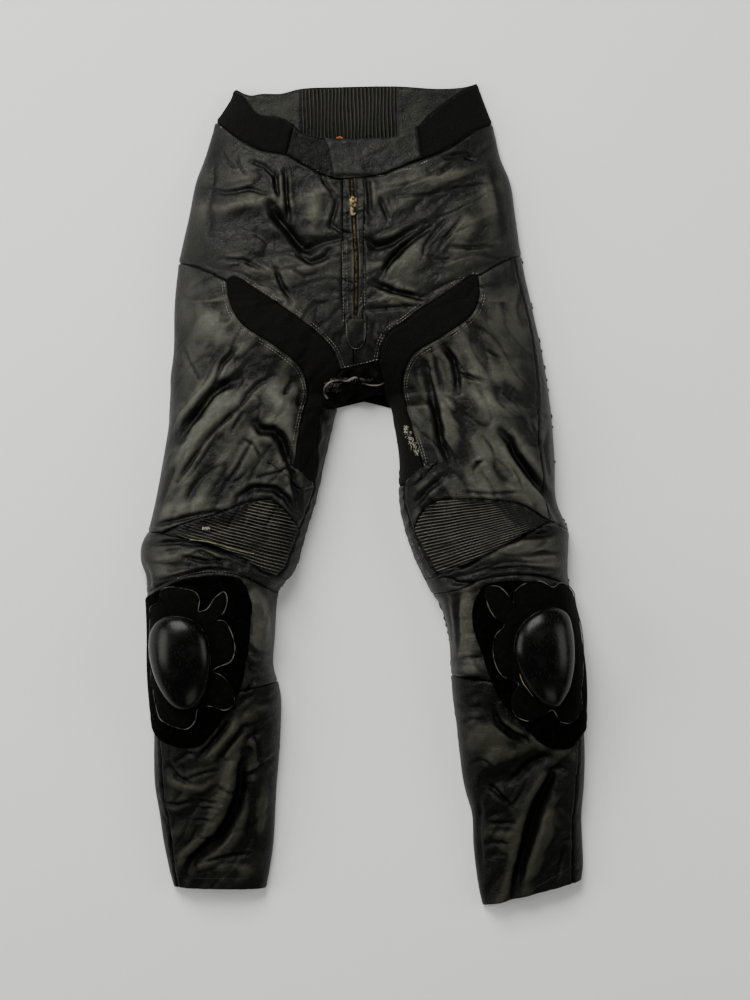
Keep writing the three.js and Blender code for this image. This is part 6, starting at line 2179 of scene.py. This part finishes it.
@dataclass(frozen=True)
class Legs:
    """The bands under the ribs, the knees and the lower legs."""

    def build(self) -> None:
        """Makes the pieces."""
        Cut(
            "knee_band_left", Side.LEFT, (THIGH_FOOT_LEFT, RIB_FOOT_LEFT, STRIP_FOOT_LEFT),
            (BAND_FOOT_LEFT,), between(-1, -46, -128), between(-WEB, STRIP_FOOT_Y, -131),
            rests_on=("back_knee_left",),
        ).build()
        Cut(
            "knee_band_right", Side.RIGHT, (STRIP_FOOT_RIGHT, RIB_FOOT_RIGHT, THIGH_FOOT_RIGHT),
            (BAND_FOOT_RIGHT,), between(WEB, STRIP_FOOT_Y, -124), between(1, -50, -122),
            rests_on=("back_knee_right",),
        ).build()
        Cut(
            "knee_left", Side.LEFT, (BAND_FOOT_LEFT,), (KNEE_SEAM_LEFT,),
            between(-1, -128, KNEE_SEAM_START_LEFT[1]), between(-WEB, -131, KNEE_SEAM_END_LEFT[1]),
            rests_on=("back_knee_left",),
        ).build()
        Cut(
            "knee_right", Side.RIGHT, (BAND_FOOT_RIGHT,), (KNEE_SEAM_RIGHT,),
            between(WEB, -124, KNEE_SEAM_START_RIGHT[1]), between(1, -122, KNEE_SEAM_END_RIGHT[1]),
            rests_on=("back_knee_right",),
        ).build()
        Cut(
            "shin_left", Side.LEFT, (KNEE_SEAM_LEFT.between(KNEE_SEAM_OUTER_LEFT, KNEE_SEAM_END_LEFT),),
            (Hem(CALF_FOOT_LEFT[0], -100),), (CALF_SEAM_LEFT,),
            between(-WEB, KNEE_SEAM_END_LEFT[1], HEM_Y), finish=CALF_LEATHER_PAINTED_SHADE, rests_on=("back_calf_left",),
        ).build()
        Cut(
            "shin_right", Side.RIGHT,
            (KNEE_SEAM_RIGHT.between(KNEE_SEAM_START_RIGHT, KNEE_SEAM_OUTER_RIGHT),),
            (Hem(130, CALF_FOOT_RIGHT[0]),), between(WEB, KNEE_SEAM_START_RIGHT[1], HEM_Y),
            (CALF_SEAM_RIGHT,), finish=CALF_LEATHER_PAINTED_SHADE, rests_on=("back_calf_right",),
        ).build()
        Cut(
            "outer_calf_left", Side.LEFT,
            (KNEE_SEAM_LEFT.between(KNEE_SEAM_START_LEFT, KNEE_SEAM_OUTER_LEFT),),
            (Hem(-240, CALF_FOOT_LEFT[0]),), between(-1, KNEE_SEAM_START_LEFT[1], HEM_Y), (CALF_SEAM_LEFT,),
            finish=CALF_LEATHER_PAINTED_SHADE, rests_on=("back_calf_left",),
        ).build()
        Cut(
            "outer_calf_right", Side.RIGHT,
            (KNEE_SEAM_RIGHT.between(KNEE_SEAM_OUTER_RIGHT, KNEE_SEAM_END_RIGHT),),
            (Hem(CALF_FOOT_RIGHT[0], 275),), (CALF_SEAM_RIGHT,), between(1, KNEE_SEAM_END_RIGHT[1], HEM_Y),
            finish=CALF_LEATHER_PAINTED_SHADE, rests_on=("back_calf_right",),
        ).build()


@dataclass(frozen=True)
class Armour:
    """One knee's touch fastener pad, lobed backing and hard slider."""

    side: Side
    pad: tuple[Edge, Edge, Edge, Edge]
    petals: tuple[Point, ...]
    outline: tuple[Point, ...]
    centre: Point
    pad_lift: float = 1.2
    backing_lift: float = 4.8
    backing_depth: float = 2.4
    puck_lift: float = 8.0
    rim: float = 6.0
    height: float = 18.5
    rings: int = 26
    backing_rings: int = 14
    bead_lift: float = 1.4
    bead: float = 0.6
    lip_lift: float = 1.6
    lip: float = 0.9
    lean: float = 1.5
    steps: int = 8

    @property
    def word(self) -> str:
        """Gives the side's name."""
        return self.side.name.lower()

    def build(self) -> None:
        """Makes the pad, the backing with its bound edge, and the slider."""
        Cut(
            f"knee_pad_{self.word}", self.side, *self.pad, LOOP, (f"knee_{self.word}_cloth",), 1.8,
            self.pad_lift, turn=0.6,
        ).build()
        edge = self.closed([drawn(*point) for point in self.petals])
        backing = self.disc(edge, self.backing_rings, self.cushion)
        made = SHOP.piece(f"slider_backing_{self.word}", backing, BACKING, f"puck_backing_{self.word}")
        self.declare(made, edge)
        points, out = front_point(edge[:, 0], edge[:, 1], int(self.side))
        bead = tube(points + out * (self.backing_lift + self.bead_lift), self.bead, True)
        SHOP.piece(f"backing_edge_{self.word}", bead, BINDING)
        outline = self.closed(self.outline)
        puck = self.disc(outline, self.rings, self.dome)
        SHOP.piece(f"knee_slider_{self.word}", puck, PLASTIC, f"puck_{self.word}")
        points, out = front_point(outline[:, 0], outline[:, 1], int(self.side))
        lip = tube(points + out * (self.puck_lift + self.lip_lift), self.lip, True)
        SHOP.piece(f"slider_lip_{self.word}", lip, PLASTIC)

    def declare(self, made: bpy.types.Object, edge: Array) -> None:
        """Works out the backing's size, which is not used further.

        Args:
            made: The backing; not used.
            edge: Its outline.
        """
        width, length = np.ptp(edge, axis=0) * METRES
        x, y = (edge * METRES).T

    def closed(self, points: Sequence[Point]) -> Array:
        """Draws a smooth closed line through points.

        Args:
            points: What the line passes, in order.

        Returns:
            Rows of x and y.
        """
        around = [*points[-2:], *points, *points[:3]]
        line = smooth_line(around, self.steps)
        return line[2 * self.steps : (2 + len(points)) * self.steps]

    def cushion(self, share: Array) -> Array:
        """Gives the backing's height above the cloth, from its middle to its rim."""
        return self.backing_lift + self.backing_depth * (1 - share**14)

    def dome(self, share: Array) -> Array:
        """Gives the slider's height above the cloth, from its middle to its rim."""
        crown = self.rim + (self.height - self.rim) * np.clip(1 - share**3.0, 0, 1) ** 0.62
        return self.puck_lift + crown

    def disc(self, edge: Array, rings: int, height: Callable[[Array], Array]) -> bmesh.types.BMesh:
        """Makes a closed shape between the cloth and a height over it.

        Args:
            edge: The outline, seen from above.
            rings: How many rings of faces the top has.
            height: Gives the height at each share from the middle to the rim.

        Returns:
            The mesh.
        """
        inner = np.sin(np.linspace(0, math.pi / 2, rings + 1))
        shares = np.concatenate([inner, [1.0], inner[::-6][1:], [0.0]])
        base = height(np.ones(1))[0] - (self.rim if height == self.dome else self.backing_depth * 0.9)
        heights = np.concatenate([height(inner), np.full(len(shares) - rings - 1, base)])
        spokes = len(edge)
        plan = np.array(self.centre) + (edge[None] - np.array(self.centre)) * shares[:, None, None]
        across = FORM.across(plan[..., 0], plan[..., 1], int(self.side))
        sides = np.full(across.shape, float(self.side))
        points = FORM.body(across, plan[..., 1], sides)[0]
        out = FORM.normal(across, plan[..., 1], sides)
        rise = heights[:, None, None]
        if height == self.dome:
            points = points + out * self.puck_lift
            rise = rise - self.puck_lift
            out = out + np.array([0.0, 0.0, self.lean])
            out /= np.linalg.norm(out, axis=-1, keepdims=True)
        points = points + out * rise
        points[..., 2] = np.maximum(points[..., 2], GROUND_CLEARANCE + 0.2)
        points = np.concatenate([points, points[:, :1]], axis=1).reshape(-1, 3)
        shape = bmesh.new()
        shape.verts.layers.float.new("wear")
        bmesh.ops.create_grid(shape, x_segments=spokes, y_segments=len(shares) - 1, size=1.0)
        for vertex in shape.verts:
            vertex.co = points[vertex.index]
        bmesh.ops.remove_doubles(shape, verts=shape.verts, dist=0.001)
        bmesh.ops.recalc_face_normals(shape, faces=shape.faces)
        return shape


LEFT_ARMOUR = Armour(
    Side.LEFT,
    (
        (
            Seam(
                (-275, -135), (-249, -118), (-224, -107), (-200, -101), (-176, -99),
                (-151, -102), (-141, -112),
            ),
        ),
        (Seam((-275, -262), (-258, -286), (-243, -300), (-216, -307), (-196, -303), (-182, -288)),),
        between(-1, -135, -262),
        (
            Seam(
                (-141, -112), (-137, -135), (-139, -179), (-143, -210), (-151, -240), (-164, -262),
                (-182, -288),
            ),
        ),
    ),
    (
        (157, 616), (157, 606), (161, 603), (166, 600), (166, 590), (172, 586), (188, 587), (199, 591),
        (203, 598), (202, 609), (210, 607), (218, 596), (227, 590), (230, 598), (226, 611), (218, 617),
        (227, 619), (233, 628), (237, 645), (233, 658), (220, 664), (215, 668), (224, 672), (234, 684),
        (236, 700), (228, 706), (212, 702), (201, 705), (198, 717), (190, 725), (176, 722), (165, 714),
        (162, 700), (158, 680), (156, 655), (156, 632),
    ),
    (
        (-250, -179), (-246, -161), (-236, -150), (-220, -148), (-202, -154), (-189, -170), (-184, -192),
        (-186, -222), (-196, -247), (-210, -258), (-224, -255), (-237, -238), (-247, -210),
    ),
    (-222, -196),
)
RIGHT_ARMOUR = Armour(
    Side.RIGHT,
    (
        (Seam((142, -112), (154, -108), (178, -105), (215, -108), (239, -115), (282, -131)),),
        (Seam((186, -274), (212, -299), (227, -307), (249, -307), (260, -297), (284, -275)),),
        (
            Seam(
                (142, -112), (132, -133), (132, -161), (142, -192), (154, -228), (168, -254), (186, -274)
            ),
        ),
        between(1, -131, -275),
    ),
    (
        (484, 586), (496, 585), (506, 594), (510, 603), (512, 590), (522, 582), (536, 580), (548, 586),
        (556, 582), (568, 592), (574, 610), (577, 640), (577, 670), (575, 690), (576, 706), (568, 719),
        (557, 718), (549, 706), (540, 712), (526, 717), (512, 710), (510, 692), (516, 680), (500, 672),
        (492, 655), (493, 634), (502, 622), (492, 614), (485, 600),
    ),
    (
        (180, -188), (184, -166), (195, -151), (211, -141), (226, -139), (237, -147), (243, -165),
        (246, -192), (245, -218), (240, -239), (230, -254), (216, -251), (200, -235), (187, -212),
    ),
    (222, -196),
)


@dataclass(frozen=True)
class Back:
    """The back of the garment, flat on the ground."""

    gathers: Gathers = field(default_factory=Gathers)
    spacing: float = 4.5

    def build(self) -> None:
        """Makes the pieces."""
        self.waist()
        knees = {
            Side.LEFT: (SEAT_FOOT_LEFT, BACK_KNEE_TOP_LEFT, BACK_KNEE_FOOT_LEFT, Hem(-240, -100)),
            Side.RIGHT: (SEAT_FOOT_RIGHT, BACK_KNEE_TOP_RIGHT, BACK_KNEE_FOOT_RIGHT, Hem(130, 275)),
        }
        levels = {"back_thigh": (122, FORK_Y, -70, -78), "back_knee": (-70, -78, -215, -212)}
        levels["back_calf"] = (-215, -212, HEM_Y, HEM_Y)
        for side, lines in knees.items():
            for index, (name, (outer, inner, outer_foot, inner_foot)) in enumerate(levels.items()):
                out = between(int(side), outer, outer_foot)
                inside = between(side * WEB, inner, inner_foot)
                edges = (out, inside) if side is Side.LEFT else (inside, out)
                finish = STRETCH if name == "back_knee" else BACK_LEATHER
                ends = (lines[index],), (lines[index + 1],)
                self.laid(f"{name}_{side.name.lower()}", side, *ends, *edges, finish)

    def waist(self) -> None:
        """Makes the rear waistband and the seat."""
        left, right = Side.LEFT, Side.RIGHT
        self.laid(
            "back_waist_left", left, (BACK_TOP.between(WAIST_CORNER_LEFT, SMOCK_TOP_LEFT),),
            (BACK_SEAM.between(BACK_SEAM_LEFT, SMOCK_FOOT_LEFT),),
            between(-1, WAIST_CORNER_LEFT[1], BACK_SEAM_LEFT[1]), (SMOCK_LEFT,), THIGH_LEATHER,
        )
        Cut(
            "back_smock", left, (BACK_TOP.between(SMOCK_TOP_LEFT, SMOCK_TOP_RIGHT),),
            (BACK_SEAM.between(SMOCK_FOOT_LEFT, SMOCK_FOOT_RIGHT),), (SMOCK_LEFT,), (SMOCK_RIGHT,),
            finish=SMOCK_LEATHER_PAINTED_SHADE, spacing=0.7, rows=30, relief=self.gathers.relief, on_ground=True,
        ).build()
        self.laid(
            "back_waist_right", right, (BACK_TOP.between(SMOCK_TOP_RIGHT, WAIST_CORNER_RIGHT),),
            (BACK_SEAM.between(SMOCK_FOOT_RIGHT, BACK_SEAM_RIGHT),), (SMOCK_RIGHT,),
            between(1, WAIST_CORNER_RIGHT[1], BACK_SEAM_RIGHT[1]), THIGH_LEATHER,
        )
        self.laid(
            "seat_left", left, (BACK_SEAM.between(BACK_SEAM_LEFT, BACK_CENTRE_TOP),),
            (SEAT_FOOT_LEFT, SEAT_WEB_LEFT), between(-1, BACK_SEAM_LEFT[1], 122), (BACK_CENTRE,),
        )
        self.laid(
            "seat_right", right, (BACK_SEAM.between(BACK_CENTRE_TOP, BACK_SEAM_RIGHT),),
            (SEAT_WEB_RIGHT, SEAT_FOOT_RIGHT), (BACK_CENTRE,), between(1, BACK_SEAM_RIGHT[1], 122),
        )

    def laid(
        self, node: str, side: Side, top: Edge, bottom: Edge, left: Edge, right: Edge,
        finish: Finish = BACK_LEATHER,
    ) -> None:
        """Makes one flat piece.

        Args:
            node: The solid that it stands for.
            side: The leg.
            top: The top edge.
            bottom: The foot.
            left: The left edge.
            right: The right edge.
            finish: What it is made of.
        """
        edges = top, bottom, left, right
        Cut(node, side, *edges, finish, spacing=self.spacing, turn=0.7, on_ground=True).build()


TAB_EDGE = (
    (347, 326), (347.5, 340), (352, 349), (356, 350.5), (361, 349), (365, 340), (365, 326),
)


@dataclass(frozen=True)
class Threads:
    """All the topstitching."""

    near: float = 3.0
    far: float = 6.0

    def doubled(self, line: Seam, side: Side, towards: int) -> tuple[Run, Run]:
        """Gives two rows on one side of a seam: 1 is to the left of its run, -1 to the right."""
        return Run(line, side, self.near * towards), Run(line, side, self.far * towards)

    def build(self) -> None:
        """Makes the pale and the dark rows."""
        left, right = Side.LEFT, Side.RIGHT
        pale = (
            *self.doubled(STRETCH_OUTER_LEFT, left, -1), *self.doubled(STRETCH_OUTER_RIGHT, right, 1),
            *self.doubled(BEND_LEFT, left, 1), *self.doubled(BEND_RIGHT, right, 1),
            Run(CREST_SEAM_LEFT, left, 3), Run(CREST_SEAM_RIGHT, right, 3),
            Run(FRONT_FOOT, left, 3),
            Run(grid_seam((343, 245), (343.5, 285), (344, 325)), left),
            Run(grid_seam((347, 245), (347.5, 285), (348, 325)), left),
            Run(grid_seam((361, 228), (361.5, 280), (361, 325)), right),
            Run(grid_seam((364.5, 228), (365, 280), (364.5, 325)), right),
            Run(grid_seam(*TAB_EDGE), left, 0, 3, 2.8),
            Run(grid_seam((180, 577), (197, 572), (215, 570), (236, 574)), left),
            Run(grid_seam((407, 521), (413, 545), (421, 563), (431, 577)), right),
            Run(grid_seam((411, 519), (417, 543), (425, 560), (435, 573)), right),
        )
        dark = (
            Run(WAIST_SEAM, left, -self.near), Run(HIP_SEAM_LEFT, left, 3), Run(HIP_SEAM_RIGHT, right, 3),
            *self.doubled(RIB_TOP_OUTER_LEFT, left, -1), *self.doubled(RIB_TOP_OUTER_RIGHT, right, 1),
            Run(RIB_FOOT_LEFT, left, -3), Run(RIB_FOOT_RIGHT, right, -3),
            Run(CALF_SEAM_LEFT, left, 3), Run(CALF_SEAM_RIGHT, right, -3),
            Run(KNEE_SEAM_LEFT, left, -3), Run(KNEE_SEAM_RIGHT, right, -3), Run(BAND_FOOT_LEFT, left, 3),
            Run(BAND_FOOT_RIGHT, right, 3), Run(WAIST_TOP, left, -4),
            Run(grid_seam((165, 877), (185, 880), (215, 880), (242, 880), (262, 876)), left),
            Run(grid_seam((484, 893), (505, 891), (535, 885), (560, 876), (578, 869)), right),
        )
        Stitching("pale_stitches", PALE_THREAD, pale).build()
        Stitching("dark_stitches", DARK_THREAD, dark).build()


@dataclass(frozen=True)
class Fray:
    """Loose fibres round a worn place of the drawing grid."""

    name: str
    finish: ThreadFinish
    middle: Point
    spread: Point
    count: int
    length: float
    side: Side
    seed: int
    lift: float = 0.6

    def build(self) -> None:
        """Makes the fibres, which lie on the cloth in all directions."""
        chance = random.Random(self.seed)
        parts = []
        for _ in range(self.count):
            column = self.middle[0] + chance.uniform(-1, 1) * self.spread[0]
            row = self.middle[1] + chance.uniform(-1, 1) * self.spread[1]
            turn = chance.uniform(0, math.pi)
            reach = self.length * chance.uniform(0.4, 1.0) / GRID / 2
            bend = chance.uniform(-0.8, 0.8)
            line = []
            for step in (-1.0, 0.0, 1.0):
                angle = turn + bend * step
                over, down = step * reach * math.cos(angle), step * reach * math.sin(angle)
                line.append((column + over, row + down))
            points = on_front(line, self.side, self.lift + chance.uniform(0, 0.5), 3)
            parts.append(tube(points, chance.uniform(0.16, 0.34), sides=0))
        SHOP.piece(self.name, joined(parts), self.finish)


@dataclass(frozen=True)
class Wear:
    """The rips, loose threads and lining ends that show, and pale specks along the waist seam as painted
    glints.
    """

    def build(self) -> None:
        """Makes them."""
        left, right = Side.LEFT, Side.RIGHT
        for step in range(5):
            place = (406.5 + 2.4 * step, 430 + 5.5 * step)
            spread = (2.2 + step % 2, 3.4)
            Fray(f"rip_fibres_{step}", TORN, place, spread, 26, 2.4, right, 30 + step, 0.5).build()
        Fray("band_crumbs", CRUMB, (216, 562), (26, 8), 170, 1.8, left, 8, 0.7).build()
        Fray("flap_fibres", CRUMB, (328, 172), (3, 8), 70, 2.2, left, 4, 2.8).build()
        Fray("rib_tear", TORN, (209, 528), (3.6, 1.2), 60, 2.2, left, 5, 2.6).build()
        Fray("gusset_fibres", LINING, (333, 387), (8, 4), 70, 4.0, left, 6, 2.0).build()
        Fray("gusset_fray", LINING, (352, 380), (22, 1.6), 70, 3.4, left, 7, 2.0).build()
        rib = ((193, 539), (210, 541), (228, 546), (243, 550), (256, 553))
        self.cord("worn_rib", TAN, rib, left, 2.6, 0.45)
        self.cord("tan_thread", TAN, ((517, 670), (520, 678), (525, 685), (530, 692)), right, 8.4, 0.45)
        loop = (
            (327, 400), (324, 394), (325, 387), (331, 382), (339, 380), (347, 381), (355, 378),
            (364, 380),
        )
        self.cord("lining_edge", LINING, loop, left, 2.0, 1.3)
        hem = ((362, 383), (370, 385), (378, 385), (384, 383))
        self.cord("lining_hem", LINING, hem, left, 2.2, 0.8)
        Fray("seam_crumbs", CRUMB, (318, 176), (16, 4), 60, 1.8, left, 9, 1.6).build()
        self.cord("centre_welt", WELT, ((355, 344), (355.4, 355), (355.8, 367)), left, -0.6, 1.1)
        self.cord("waist_lining", ORANGE, ((337, 142), (340, 141), (343, 142)), left, 0.4, 1.5)
        # Painted highlights: pale specks along the waist seam that stand in for glints.
        seams = (
            ((303, 166), (309, 169)), ((317, 174), (323, 177)), ((327, 181), (330, 183)),
            ((376, 180), (384, 180)), ((394, 177), (411, 173)), ((420, 168), (427, 165)),
            ((222, 128), (223, 130)), ((240, 146), (241, 148)),
        )
        runs = tuple(Run(grid_seam(*ends), left, pitch=2.9, lift=2.2) for ends in seams)
        Stitching("seam_glints", GLINT, runs, (1.3, 0.8, 0.7)).build()

    def cord(
        self, name: str, finish: ThreadFinish, line: Sequence[Point], side: Side, lift: float,
        radius: float,
    ) -> None:
        """Lays one thread along a line of the drawing grid.

        Args:
            name: The piece's name.
            finish: The thread.
            line: The crossings.
            side: The leg.
            lift: The height over the cloth.
            radius: Half the thickness.
        """
        SHOP.piece(name, tube(on_front(line, side, lift), radius), finish)


@dataclass(frozen=True)
class Studio:
    """The floor, the lights and the camera. Lengths are in metres, and the sensor's in millimetres."""

    floor_size: float = 8.0
    floor_drop: float = 0.0005
    sensor: float = 36
    lamp_colour: tuple[float, float, float] = (1.0, 0.995, 0.93)
    room_colour: tuple[float, float, float, float] = (1.0, 1.0, 0.94, 1.0)
    room_strength: float = 0.1
    middle: Point = (0.0134, -0.0085)
    distance: float = 3.0
    height: float = 0.035
    view: float = 1.211

    def build(self) -> None:
        """Makes everything round the garment."""
        ground = bmesh.new()
        bmesh.ops.create_grid(ground, x_segments=8, y_segments=8, size=self.floor_size / 2)
        data = bpy.data.meshes.new("floor")
        ground.to_mesh(data)
        ground.free()
        floor = bpy.data.objects.new("floor", data)
        data.transform(Matrix.Translation((0, 0, -self.floor_drop)))
        data.materials.append(SHOP.material(FloorFinish()))
        bpy.context.scene.collection.objects.link(floor)
        self.light("waist", (-0.9, 2.0, 2.3), 1.9, 125)
        self.light("left", (-2.6, 0.0, 1.5), 1.6, 44)
        self.light("right", (2.6, 0.1, 1.7), 1.6, 30)
        self.light("foot", (0.6, -2.6, 1.9), 1.4, 12)
        self.world()
        self.camera()

    def light(self, name: str, place: tuple[float, float, float], size: float, power: float) -> None:
        """Adds a soft square light that faces the garment.

        Args:
            name: Its name.
            place: Where it stands, in metres.
            size: The width.
            power: The watts.
        """
        data = bpy.data.lights.new(name, "AREA")
        data.shape = "SQUARE"
        data.size = size
        data.energy = power
        data.color = self.lamp_colour
        lamp = bpy.data.objects.new(name, data)
        turn = (-Vector(place)).to_track_quat("-Z", "Y").to_matrix().to_4x4()
        lamp.matrix_world = Matrix.Translation(place) @ turn
        bpy.context.scene.collection.objects.link(lamp)

    def world(self) -> None:
        """Fills the room with even light."""
        world = bpy.data.worlds.new("room")
        world.use_nodes = True
        background = world.node_tree.nodes["Background"]
        background.inputs["Color"].default_value = self.room_colour
        background.inputs["Strength"].default_value = self.room_strength
        bpy.context.scene.world = world

    def camera(self) -> None:
        """Looks straight down, with the waist at the top of the picture."""
        data = bpy.data.cameras.new("camera")
        data.sensor_width = self.sensor
        data.lens = self.sensor * self.distance / self.view
        camera = bpy.data.objects.new("camera", data)
        camera.location = (*self.middle, self.distance + self.height)
        bpy.context.scene.collection.objects.link(camera)
        bpy.context.scene.camera = camera


def main() -> None:
    """Builds the garment piece by piece."""
    logging.basicConfig(level=logging.INFO, format="%(message)s")
    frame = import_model()
    for name in ("fly_slider", "fly_pull"):
        frame["nodes"][name].data.materials.clear()
        frame["nodes"][name].data.materials.append(SHOP.material(BRASS))
    Back().build()
    for assembly in (Waistband(), Hips(), Fly(), Crotch(), Thighs(), Legs(), LEFT_ARMOUR, RIGHT_ARMOUR):
        assembly.build()
    Threads().build()
    Wear().build()
    Studio().build()


if __name__ == "__main__":
    main()
